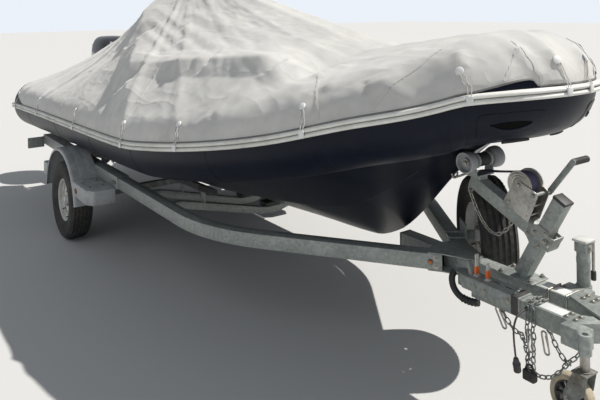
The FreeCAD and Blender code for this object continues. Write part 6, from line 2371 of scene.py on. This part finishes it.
    def rollers(self) -> None:
        """The ribbed spool between its two bells, with the pin's nuts."""
        foot, axis = at(*self.roller), PORT
        bells = []
        for sign in (-1, 1):
            cup = [(0.0083, 0.0632), (0.032, 0.0632), (0.0385, 0.066), (0.0438, 0.073), (0.0472, 0.082),
                   (0.0495, 0.091), (0.0500, 0.098), (0.0500, 0.1125), (0.0490, 0.1172), (0.0468, 0.1197),
                   (0.0438, 0.1197), (0.0415, 0.117), (0.0405, 0.110), (0.0385, 0.099), (0.036, 0.0965),
                   (0.0215, 0.0965), (0.0190, 0.0985), (0.0186, 0.106), (0.0176, 0.1078), (0.0083, 0.1078)]
            bells.append(Meshes.lathe("bell", [(r, sign * a) for r, a in cup], foot, axis, 72))
            rim = [(0.0083, 0.0365), (0.0335, 0.0365), (0.0352, 0.038), (0.0358, 0.041), (0.0358, 0.0465),
                   (0.0350, 0.049), (0.033, 0.0500), (0.0083, 0.0500)]
            bells.append(Meshes.lathe("rim", [(r, sign * a) for r, a in rim], foot, axis, 64))
        dress(Meshes.join("bow_roller_bells", bells), BELL_GREY, "roller_turn")
        spool = [(0.0083, -0.0364)]
        for k in range(9):
            y = -0.0362 + k * 0.00805
            spool += [(0.0285, y), (0.0312, y + 0.0012), (0.0312, y + 0.0048), (0.0285, y + 0.0060)]
        spool += [(0.0083, 0.0364)]
        dress(Meshes.lathe("bow_roller_spool", spool, foot, axis, 64), ROLLER_RUBBER, "roller_turn",
              ("bow_roller",))
        places = [facing(foot + axis * s * 0.1082, axis * s, 14) for s in (-1, 1)]
        Fastener(0.0115, 0.0075).lay("bow_roller_nuts", places, ZINC)

    def bolts(self) -> None:
        """Bolts of the joint plates and the base, the cross pins and the clamp behind the post."""
        spots = []
        for reach, rise in ((0.028, 0.012), (0.052, -0.016), (-0.020, 0.038), (-0.014, -0.034),
                            (-0.026, 0.006)):
            for side in (-1, 1):
                spots.append(facing(arm_spot(reach, rise, side * 0.0362), Vector((0, side, 0)),
                                    37 * reach * 900))
        Fastener(0.0085, 0.008).lay("arm_joint_bolts", spots, ZINC)
        spots = [facing(at(3.548 + a * 0.074, b * 0.044, 0.6165), UP, 20 * a + 8) for a in (-1, 1)
                 for b in (-1, 1)]
        Fastener(0.009, 0.009).lay("post_base_bolts", spots, ZINC)
        rods = []
        for reach, rise in ((0.082, 0.050), (0.088, 0.092), (0.180, 0.052)):
            rods.append(Meshes.tube("pin", [arm_spot(reach, rise, -0.0465), arm_spot(reach, rise, 0.0465)],
                                    0.0052, 12))
        dress(Meshes.join("winch_cross_pins", rods), ZINC)
        lean, front = Vector((0.478, 0, 0.878)), Vector((0.878, 0, -0.478))
        foot = at(*self.post_foot) + lean * 0.243
        bars = []
        for rise in (-0.022, 0.022):
            for side in (-1, 1):
                line = [foot + lean * (rise + a) + PORT * side * 0.0315 + front * b
                        for a, b in ((-0.009, 0.012), (0.009, 0.012), (0.009, 0.062), (-0.009, 0.062))]
                bars.append(Meshes.plate("strap", line, PORT * side * 0.004, 0.0008))
        back = [foot + lean * a + PORT * b + front * 0.055
                for a, b in ((-0.034, -0.0365), (0.034, -0.0365), (0.034, 0.0365), (-0.034, 0.0365))]
        bars.append(Meshes.plate("back", back, front * 0.006, 0.001))
        dress(Meshes.join("post_back_clamp", bars), GALVANISED)

    def chain(self) -> None:
        """The safety chain that hangs under the arm from its shackle."""
        run = Chain.drape(arm_spot(0.385, -0.046, -0.03), arm_spot(0.165, -0.044, 0.028), 0.130, 18)
        Chain(0.030, 0.0185, 0.0024).lay("bow_safety_chain", [run], ZINC)
        bars = []
        for reach, y in ((0.385, -0.03), (0.165, 0.028)):
            ring = [arm_spot(reach + 0.013 * math.cos(t), -0.031 - 0.015 * math.sin(t), y)
                    for t in spaced(0.0, math.pi, 9)]
            bars.append(Meshes.tube("shackle", ring, 0.0036, 10))
        dress(Meshes.join("chain_shackles", bars), ZINC)

    def build(self) -> None:
        """Builds the post, arm, winch and roller."""
        softened("winch_post", GALVANISED, width=0.006)
        softened("winch_arm", GALVANISED, width=0.004)
        softened("arm_plates", GALVANISED, width=0.0014)
        softened("winch_frame", ZINC, width=0.0012)
        self.drums()
        self.strap()
        self.crank()
        self.rollers()
        self.bolts()
        self.chain()


@dataclass
class Jack:
    """The tongue jack with its caster."""

    x: float = 3.760
    y: float = 0.135
    wheel: tuple = (3.700, 0.135, 0.100)

    def tube(self) -> None:
        """The jack's tube, gear head with its pale lid, clamp and handle."""
        foot, up = at(self.x, self.y, 0), UP
        outer = [(0.0225, 0.380), (0.028, 0.380), (0.0285, 0.384), (0.0285, 0.398), (0.028, 0.402),
                 (0.028, 0.700), (0.0292, 0.703), (0.0292, 0.722), (0.028, 0.725), (0.028, 0.750),
                 (0.0, 0.750), (0.0, 0.729), (0.0225, 0.729)]
        parts = [Meshes.lathe("tube", outer, foot, up, 48)]
        x, y = self.x, self.y
        parts.append(Meshes.box("head", at(x - 0.027, y - 0.027, 0.7485), at(x + 0.027, y + 0.027, 0.7925),
                                0.004))
        parts.append(Meshes.box("strap", at(x - 0.030, y - 0.011, 0.752), at(x + 0.030, y + 0.011, 0.786),
                                0.002))
        parts.append(Meshes.box("clamp", at(x - 0.060, 0.0385, 0.540), at(x + 0.060, y - 0.012, 0.604),
                                0.005))
        ring = [(0.0286, 0.538), (0.0330, 0.538), (0.0336, 0.541), (0.0336, 0.603), (0.0330, 0.606),
                (0.0286, 0.606)]
        parts.append(Meshes.lathe("collar", ring, foot, up, 48))
        dress(Meshes.join("jack_tube_body", parts), GALVANISED, replaces=("jack_tube",))
        lid = Meshes.box("jack_lid", at(x - 0.034, y - 0.034, 0.7925), at(x + 0.034, y + 0.034, 0.8045),
                         0.0045)
        dress(lid, RIM_ENAMEL)
        hang = at(x, y + 0.076, 0.777)
        shaft = [(0.0, 0.026), (0.008, 0.026), (0.008, 0.080), (0.0, 0.082)]
        bars = [Meshes.lathe("shaft", shaft, at(x, y, 0.777), PORT, 20),
                Meshes.tube("handle", [hang, hang - up * 0.05, hang - up * 0.135], 0.007, 14)]
        dress(Meshes.join("jack_crank", bars), ZINC)
        grip = [(0.0, 0.0), (0.0095, 0.0), (0.0115, -0.003), (0.0115, -0.036), (0.010, -0.040), (0.0, -0.040)]
        dress(Meshes.lathe("jack_grip", grip, hang - up * 0.130, up, 24), BLACK_PLASTIC)
        places = [facing(at(x - 0.0302, y, 0.768), Vector((-1, 0, 0))),
                  facing(at(x + 0.0302, y, 0.768), FORE, 30)]
        for a in (-0.042, 0.042):
            places.append(facing(at(x + a, 0.060, 0.6042), up, 15 + a * 400))
        Fastener(0.007, 0.006).lay("jack_bolts", places, ZINC)
        bars = []
        for shift in (-0.052, 0.030):
            path = [(-0.0425, 0.528), (-0.0425, 0.6145), (0.045, 0.6145), (0.0450, 0.528)]
            fine = [Vector(a).lerp(Vector(b), t) for a, b in zip(path, path[1:]) for t in (0.0, 0.06, 0.94)]
            bend = [at(x + shift, *p) for p in fine[:-1]] + [at(x + shift, *path[-1])]
            bars.append(Meshes.tube("u_bolt", bend, 0.005, 12))
        dress(Meshes.join("jack_u_bolts", bars), ZINC)

    def leg(self) -> None:
        """The jack's inner leg."""
        foot, up = at(self.x, self.y, 0), UP
        outline = [(0.0122, 0.2425), (0.0205, 0.2425), (0.021, 0.2435), (0.021, 0.420), (0.0, 0.420),
                   (0.0, 0.303), (0.0122, 0.303)]
        dress(Meshes.lathe("jack_leg_tube", outline, foot, up, 40), ZINC, replaces=("jack_leg",))

    def caster(self) -> None:
        """The caster's fork with its pressed discs, and its spoked wheel."""
        softened("caster_fork", OLD_GALVANISED, "caster_turn", 0.0014)
        centre, axis = at(*self.wheel), PORT
        discs = []
        for side in (-1, 1):
            outline = [(0.0, 0.0375), (0.022, 0.0375), (0.0245, 0.0365), (0.026, 0.0355), (0.026, 0.034),
                       (0.0, 0.034)]
            spot = at(self.wheel[0] + 0.040, self.y, 0.165)
            discs.append(Meshes.lathe("disc", [(r, side * a) for r, a in outline], spot, axis, 36))
        dress(Meshes.join("caster_fork_discs", discs), OLD_GALVANISED, "caster_turn")
        places = [facing(centre + axis * s * 0.0362, axis * s, 11) for s in (-1, 1)]
        Fastener(0.0095, 0.007).lay("caster_nuts", places, ZINC, "caster_turn")
        tyre = [(0.074, -0.0225), (0.080, -0.0245), (0.088, -0.025), (0.0955, -0.0225), (0.0992, -0.016),
                (0.100, -0.008), (0.100, 0.008), (0.0992, 0.016), (0.0955, 0.0225), (0.088, 0.025),
                (0.080, 0.0245), (0.074, 0.0225)]
        dress(Meshes.lathe("caster_tyre", tyre, centre, axis, 72), CASTER_TAN, "caster_wheel_turn",
              ("caster_wheel",))
        parts = [Meshes.lathe("rim", [(0.066, -0.021), (0.0742, -0.0225), (0.0742, 0.0225), (0.066, 0.021),
                                      (0.0685, 0.0)], centre, axis, 72),
                 Meshes.lathe("hub", [(0.0081, -0.025), (0.017, -0.025), (0.0215, -0.019), (0.0215, 0.019),
                                      (0.017, 0.025), (0.0081, 0.025)], centre, axis, 40)]
        for k in range(10):
            turn = 2 * math.pi * k / 10
            out = Vector((math.cos(turn), 0, math.sin(turn)))
            side = axis.cross(out)
            low, high = centre + out * 0.020, centre + out * 0.0685
            ring = [low - side * 0.0045 - axis * 0.015, high - side * 0.0032 - axis * 0.019,
                    high + side * 0.0032 - axis * 0.019, low + side * 0.0045 - axis * 0.015]
            back = [p + axis * 2 * abs((p - centre).dot(axis)) for p in ring]
            parts.append(Meshes.rings("spoke", [ring, back]))
        spokes = Meshes.join("caster_spokes", parts)
        Meshes.bevel(spokes, 0.0, angle=35)
        dress(spokes, BLACK_PLASTIC, "caster_wheel_turn")

    def build(self) -> None:
        """Builds the jack."""
        self.tube()
        self.leg()
        self.caster()


@dataclass
class Fold:
    """The folded front of the tongue with its coupler, bolts, labels, chains and cable."""

    mid: float = -0.170
    half: float = 0.038
    top: float = 0.609
    lid: float = 0.6145
    body: str = "fold_turn"
    # The lighting cable's route, with part.py's numbers in metres
    route: tuple = ((0.0, 0.0), (0.046, 0.0), (0.078, 0.042), (0.077, 0.108), (0.066, 0.172))
    cable_x: float = 3.725
    cable_z: float = 0.588
    cable_radius: float = 0.004
    cable_length: float = 0.225
    gland: float = 0.014

    def coupler(self) -> None:
        """The coupler's housing with its slots, bolts, black bumper and indicator tabs."""
        softened("coupler", GALVANISED, self.body, 0.003)
        y, dark, tabs, stems = self.mid, [], [], []
        for x, shift in ((3.534, 0.012), (3.600, 0.010)):
            dark.append(Meshes.box("slot", at(x - 0.016, y + shift - 0.004, 0.6135),
                                   at(x + 0.016, y + shift + 0.004, 0.6150), 0.0008))
        ring = []
        for x, wall, low, high in ((3.650, 0.0078, 0.5415, 0.6170), (3.682, 0.0078, 0.5415, 0.6170),
                                   (3.682, 0.0055, 0.5435, 0.6150), (3.650, 0.0055, 0.5435, 0.6150)):
            corners = ((-1, low), (-1, high), (1, high), (1, low))
            ring.append([at(x, y + a * (self.half + wall), z) for a, z in corners])
        collar = Meshes.rings("collar", ring, looped=True)
        Meshes.bevel(collar, 0.0015)
        dark.append(collar)
        path = [(3.322, -0.182, 0.604), (3.326, -0.203, 0.580), (3.342, -0.215, 0.552),
                (3.368, -0.220, 0.530), (3.400, -0.220, 0.518), (3.440, -0.216, 0.515),
                (3.480, -0.208, 0.520)]
        fine = self.smooth(path, 8)
        dark.append(Meshes.tube("bumper", fine, 0.0145, 18))
        rib = [(0.0140, -0.0025), (0.0170, -0.0018), (0.0170, 0.0018), (0.0140, 0.0025)]
        for k in range(5):
            spot, after = fine[-4 - 3 * k], fine[-3 - 3 * k]
            dark.append(Meshes.lathe("rib", rib, spot, after - spot, 24))
        dress(Meshes.join("coupler_black_parts", dark), BLACK_PLASTIC, self.body)
        for x, height in ((3.440, 0.098), (3.500, 0.072)):
            stems.append(Meshes.box("stem", at(x - 0.0035, y - 0.010, self.lid),
                                    at(x + 0.0035, y + 0.010, self.lid + height), 0.0016))
            stems.append(Meshes.box("stem_foot", at(x - 0.011, y - 0.014, self.lid),
                                    at(x + 0.011, y + 0.014, self.lid + 0.0065), 0.002))
            tabs.append(Meshes.box("tab", at(x - 0.0060, y - 0.0125, 0.626),
                                   at(x + 0.0060, y + 0.0125, 0.658), 0.003))
        dress(Meshes.join("latch_stems", stems), RIM_ENAMEL, self.body)
        dress(Meshes.join("latch_tabs", tabs), ORANGE, self.body)
        places = [facing(at(x, y - self.half - 0.0052, z), Vector((0, -1, 0)), x * 900) for x, z in
                  ((3.462, 0.588), (3.513, 0.585), (3.633, 0.588))]
        Fastener(0.0085, 0.0065).lay("coupler_bolts", places, ZINC, self.body)

    @staticmethod
    def smooth(path: Sequence[tuple[float, float, float]], steps: int) -> list[Vector]:
        """A smooth line through points given from the axle.

        Args:
            path: the points.
            steps: how many parts each stretch gets.

        Returns:
            The line in the row frame.
        """
        points = [at(*p) for p in path]
        points = [points[0] * 2 - points[1]] + points + [points[-1] * 2 - points[-2]]
        fine = []
        for a, b, c, d in zip(points, points[1:], points[2:], points[3:]):
            for t in (k / steps for k in range(steps)):
                fine.append((b * 2 + (c - a) * t + (a * 2 - b * 5 + c * 4 - d) * t * t
                             + (b * 3 - a - c * 3 + d) * t ** 3) * 0.5)
        return fine + [points[-2]]

    def bar(self) -> None:
        """The folded bar with its labels and bolts, and those of the fixed bar beside it."""
        softened("folding_tongue", GALVANISED, self.body, 0.006)
        up, y = UP, self.mid
        label = Meshes.box("folded_label", at(3.767, y - 0.026, self.top - 0.0005),
                           at(3.871, y + 0.028, self.top + 0.0006), 0.0004)
        dress(label, BUTTON_WHITE, self.body)
        dress(Meshes.box("fixed_label", at(3.660, -0.029, 0.6095), at(3.775, 0.029, 0.6107), 0.0004),
              BUTTON_WHITE)
        grid = [(x, b) for x in (3.884, 3.922) for b in (-0.018, 0.018)]
        places = [facing(at(x, y + b, self.top), up, 25 * x) for x, b in grid]
        Fastener(0.0085, 0.0045).lay("folded_bar_bolts", places, ZINC, self.body)
        grid = ((3.850, -0.016), (3.850, 0.018), (3.890, -0.016), (3.890, 0.018), (3.930, 0.018))
        places = [facing(at(x, b, 0.6203), up, 31 * x) for x, b in grid]
        Fastener(0.0085, 0.0045).lay("fixed_bar_bolts", places, ZINC)
        pin = Meshes.lathe("cap", [(0.0, 0.0), (0.017, 0.0), (0.019, 0.002), (0.019, 0.006), (0.015, 0.010),
                                   (0.0, 0.0105)], at(4.0, -0.085, 0.628), up, 32)
        dress(pin, ZINC)

    def chains(self) -> None:
        """Safety chains over the folded bar, with their block and snap hooks."""
        edge = self.mid - self.half
        runs = []
        for x, foot in ((3.7280, 0.350), (3.7560, 0.372)):
            drop = [(x, edge + 0.075, 0.6145), (x + 0.002, edge + 0.030, 0.6150), (x, edge + 0.003, 0.6140),
                    (x, edge - 0.0085, 0.603)]
            drop += [(x + 0.004 * math.sin(9 * k), edge - 0.0095, z)
                     for k, z in enumerate(spaced(0.57, foot, 8))]
            runs.append([at(*p) for p in drop])
        low, ring = at(3.745, edge - 0.010, 0.352), at(3.893, edge + 0.010, 0.440)
        root = at(3.955, edge + 0.045, 0.536)
        runs.append(Chain.drape(low, ring, 0.042, 12))
        runs.append(Chain.drape(ring, root, 0.012, 8))
        runs.append(Chain.drape(at(3.815, edge + 0.012, 0.534), ring, 0.020, 8))
        runs.append(Chain.drape(at(3.585, edge + 0.020, 0.531), at(3.690, edge + 0.006, 0.470), 0.024, 8))
        runs.append([at(3.690, edge + 0.006, 0.470), at(3.742, edge - 0.006, 0.372)])
        Chain(0.034, 0.0205, 0.0027).lay("safety_chains", runs, OLD_GALVANISED, self.body)
        block = [Meshes.box("block", at(3.712, edge - 0.026, 0.308), at(3.766, edge + 0.004, 0.350), 0.006)]
        block.append(Meshes.tube("bow", [at(3.739 + 0.018 * math.cos(t), edge - 0.011,
                                            0.348 + 0.024 * math.sin(t)) for t in spaced(0.0, math.pi, 9)],
                                 0.0048, 10))
        dress(Meshes.join("chain_block", block), TYRE_RUBBER, self.body)
        hooks = []
        for x, z, lean, y in ((3.560, 0.530, 0.55, 0.018), (3.738, 0.512, 0.10, -0.012),
                              (3.800, 0.528, 0.18, -0.006)):
            hooks.append(snap_hook("hook", at(x, edge + y, z), Vector((lean, 0, -1)), Vector((1, 0, lean)),
                                   0.088))
        dress(Meshes.join("snap_hooks", hooks), ZINC, self.body)
        lugs = []
        for x, y in ((3.955, 0.045), (3.815, 0.012), (3.585, 0.020)):
            loop = [at(x + 0.012 * math.cos(t), edge + y, 0.5345 - 0.013 * math.sin(t))
                    for t in spaced(0.0, math.pi, 9)]
            lugs.append(Meshes.tube("lug", loop, 0.0042, 10))
        dress(Meshes.join("chain_lugs", lugs), ZINC, self.body)

    def cable(self) -> None:
        """The lighting cable, from its gland on the bar's side to its plug."""
        start = at(self.cable_x, self.mid - self.half - 0.0005 - self.gland, self.cable_z)
        points = [start - Vector((0, out, drop)) for out, drop in self.route]
        data = bpy.data.curves.new("tow_cable_line", "CURVE")
        data.dimensions, data.use_fill_caps = "3D", True
        data.bevel_depth, data.bevel_resolution, data.resolution_u = self.cable_radius, 4, 24
        line = data.splines.new("NURBS")
        line.points.add(len(points) - 1)
        for spot, p in zip(line.points, points):
            spot.co = (*p, 1.0)
        line.order_u = 3
        line.use_endpoint_u = True
        cord = linked("tow_cable_line", data)
        dress(cord, BLACK_PLASTIC, self.body, ("tow_cable",))
        nut = [(0.0042, 0.0145), (0.0068, 0.0135), (0.009, 0.0105), (0.009, 0.0), (0.0042, 0.0)]
        gland = Meshes.lathe("tow_cable_gland", nut, start + Vector((0, self.gland, 0)), Vector((0, -1, 0)),
                             24)
        dress(gland, BLACK_PLASTIC, self.body, ("cable_gland",))
        down = (points[-1] - points[-2]).normalized()
        shape = [(0.0, 0.0), (0.007, 0.0), (0.010, 0.004), (0.0125, 0.016), (0.0135, 0.022),
                 (0.0158, 0.024), (0.0158, 0.030), (0.0148, 0.031), (0.0148, 0.0555), (0.0135, 0.058),
                 (0.0118, 0.058), (0.0118, 0.046), (0.0, 0.046)]
        body = Meshes.lathe("shell", shape, points[-1], down, 36)
        key = Meshes.box("key", (-0.003, -0.0170, 0.026), (0.003, -0.0140, 0.054), 0.001)
        key.data.transform(facing(points[-1], down))
        plug = dress(Meshes.join("tow_plug_shell", [body, key]), BLACK_PLASTIC, self.body,
                     ("tow_plug",))

    def build(self) -> None:
        """Builds the folded front."""
        self.coupler()
        self.bar()
        self.chains()
        self.cable()


@dataclass
class Details:
    """Spare wheel, lamps, the tube's patches and handles, and the bolts of rails and steps."""

    rail_corner: tuple = (2.1015, -0.805)
    rail_length: float = 1.2824
    rail_turn: float = 35.0

    def rail_spot(self, back: float, out: float, z: float) -> tuple[Vector, Vector]:
        """A point beside the starboard front rail, measured from its end, and the way outwards.

        Args:
            back: how far back.
            out: how far outwards.
            z: its height.

        Returns:
            The point and the side.
        """
        turn = math.radians(self.rail_turn)
        heading = Vector((math.cos(turn), math.sin(turn), 0))
        side = heading.cross(UP)
        foot = at(*self.rail_corner, z) + heading * (self.rail_length - back)
        return foot + side * out, side

    def lamps(self) -> None:
        """Marker lamps with their rims and ribbed lenses, and the tail lamps."""
        spots = []
        for mirror in (1, -1):
            point, side = self.rail_spot(0.056, 0.0385, 0.572)
            pair = (point, side) if mirror > 0 else (mirrored(point), mirrored(side))
            spots.append((*pair, 0.012, 0.009))
            spots.append((at(0.456, -1.0478 * mirror, 0.480), Vector((0, -mirror, 0)), 0.020, 0.010))
        lenses, rims = [], []
        for point, out, r, h in spots:
            shape = [(0.0, 0.0), (r * 0.86, 0.0), (r * 0.86, h * 0.55), (r * 0.74, h * 0.85),
                     (r * 0.55, h * 0.80), (r * 0.45, h), (r * 0.25, h * 0.92), (0.0, h * 1.02)]
            lenses.append(Meshes.lathe("lens", shape, point, out, 40))
            rim = [(r * 0.80, 0.0), (r, 0.0), (r, h * 0.45), (r * 0.93, h * 0.62), (r * 0.84, h * 0.62)]
            rims.append(Meshes.lathe("rim", rim, point, out, 40))
        dress(Meshes.join("marker_lenses", lenses), LENS_AMBER, replaces=("marker_lamps",))
        low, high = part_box("tail_lamps")
        bases, reds, ambers = [], [], []
        for mirror in (1, -1):
            y0, y1 = sorted((low.y * mirror, (low.y + 0.140) * mirror))
            wall = 0.003
            bases.append(Meshes.box("base", (high.x - 0.014, y0, low.z), (high.x, y1, high.z), 0.005))
            split = y0 + 0.045 if mirror > 0 else y1 - 0.045
            for a, b, group in ((y0 + wall, split - 0.001, ambers if mirror > 0 else reds),
                                (split + 0.001, y1 - wall, reds if mirror > 0 else ambers)):
                group.append(Meshes.box("lens", (low.x, a, low.z + wall),
                                        (high.x - 0.0135, b, high.z - wall), 0.006))
        dress(Meshes.join("tail_lamp_reds", reds), LENS_RED, replaces=("tail_lamps",))
        dress(Meshes.join("tail_lamp_ambers", ambers), LENS_AMBER)
        dress(Meshes.join("lamp_rims", rims + bases), BLACK_PLASTIC)

    @staticmethod
    def patch(start: float, end: float, low: float, high: float, lift: float,
              corner: float = 0.25) -> list[Piece]:
        """Rounded patches on both sides of the tube.

        Args:
            start: where the patch starts along the tube.
            end: where it ends.
            low: its lower angle round the tube, in degrees.
            high: its upper angle.
            lift: how far it stands off the tube.
            corner: the share of its size that its corners round.

        Returns:
            One mesh a side.
        """
        made = []
        for side in (1, -1):
            rings = []
            for share, rise in ((1.0, 0.0002), (0.985, lift), (0.93, lift * 1.05), (0.5, lift * 1.05),
                                (0.02, lift * 1.05)):
                ring = []
                for t in turns(48):
                    u = math.copysign(abs(math.cos(t)) ** corner, math.cos(t)) * share
                    v = math.copysign(abs(math.sin(t)) ** corner, math.sin(t)) * share
                    turn = math.radians((low + high) / 2 + (high - low) / 2 * v)
                    ring.append(LINE.skin((start + end) / 2 + (end - start) / 2 * u, turn, rise, side))
                rings.append(ring)
            made.append(Meshes.rings("patch", rings))
        return made

    def tube_patches(self) -> None:
        """Patches of the handles, reinforcing patches and the pads under the bow."""
        soft = self.patch(5.200, 5.385, -56.0, -17.0, 0.0022)
        for start in (4.735, 1.70):
            soft += self.patch(start, start + 0.25, -36.0, -3.0, 0.0010, 0.15)
        dress(Meshes.join("tube_patches", soft), TUBE_FABRIC)
        pads = self.patch(5.300, 5.400, -78.0, -68.0, 0.0080, 0.3)
        dress(Meshes.join("tube_pads", pads), CONE_PLASTIC)
        self.handles(5.238, 5.347, -30.5)

    @staticmethod
    def handles(start: float, end: float, angle: float) -> None:
        """Recessed grips: a near-black band painted as the shade inside the recess, with a swelling lip along
        its lower edge.

        Args:
            start: where the mouth starts along the tube.
            end: where it ends.
            angle: the height of its corners round the tube, in degrees.
        """
        mouth_shades, lips = [], []
        for side in (1, -1):
            rows = []
            for u in spaced(-1.0, 1.0, 33):
                along, deep = (start + end) / 2 + (end - start) / 2 * u, (1 - u * u) ** 0.8
                edges = ((2.5 * deep + 0.3, 0.0004), (2.5 * deep, 0.0030), (-8.0 * deep - 0.3, 0.0030))
                rows.append([LINE.skin(along, math.radians(angle + rise), lift, side)
                             for rise, lift in edges])
            mouth_shades.append(Meshes.rings("mouth", rows, closed=False))
            lips.append(Meshes.tube("lip", [row[2] for row in rows], 0.0052, 14))
        # The near-black band is painted shade, standing for the dark inside of each recess.
        dress(Meshes.join("handle_mouths", mouth_shades), PAINTED_RECESS_SHADE)
        dress(Meshes.join("handle_lips", lips), TUBE_FABRIC)

    def small_pieces(self) -> None:
        """Bolts of the rails and the fenders' steps."""
        up, spots = UP, []
        for mirror in (1, -1):
            for back, z in ((0.030, 0.590), (0.030, 0.552)):
                point, side = self.rail_spot(back, 0.0385, z)
                pair = (point, side) if mirror > 0 else (mirrored(point), mirrored(side))
                spots.append(facing(*pair, 30 * z))
            for x, z in ((0.700, 0.572), (0.740, 0.572)):
                spots.append(facing(at(x, -0.8497 * mirror, z), Vector((0, -mirror, 0)), 40 * x))
            for x in (-0.30, 0.30):
                spots.append(facing(at(x, -0.8497 * mirror, 0.572), Vector((0, -mirror, 0)), 70 * x))
            for x, y in ((0.46, 0.90), (0.62, 0.90), (0.46, 1.0), (0.62, 1.0)):
                spots.append(facing(at(x, -y * mirror, 0.5372), up, 55 * x))
        Fastener(0.0085, 0.0065).lay("rail_bolts", spots, ZINC)

    def build(self) -> None:
        """Builds the details."""
        low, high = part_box("spare_tyre")
        Wheel((low + high) / 2, Vector((0.574, 0.819, 0)), -1, "spare", ROOT).build()
        self.lamps()
        self.tube_patches()
        self.small_pieces()


def main() -> None:
    """Builds the scene and reports each piece."""
    random.seed(7)
    Studio().build()
    for part in (Boat(), MooringCover(), RunningGear(), Frame(), Motor(), Winch(), Jack(), Fold(), Details()):
        known = {piece.name for piece in bpy.data.objects}
        part.build()
        for piece in bpy.data.objects:
            if piece.name not in known:
                LOG.info("%s built %s", type(part).__name__, piece.name)


if __name__ == "__main__":
    logging.basicConfig(level=logging.INFO)
    main()
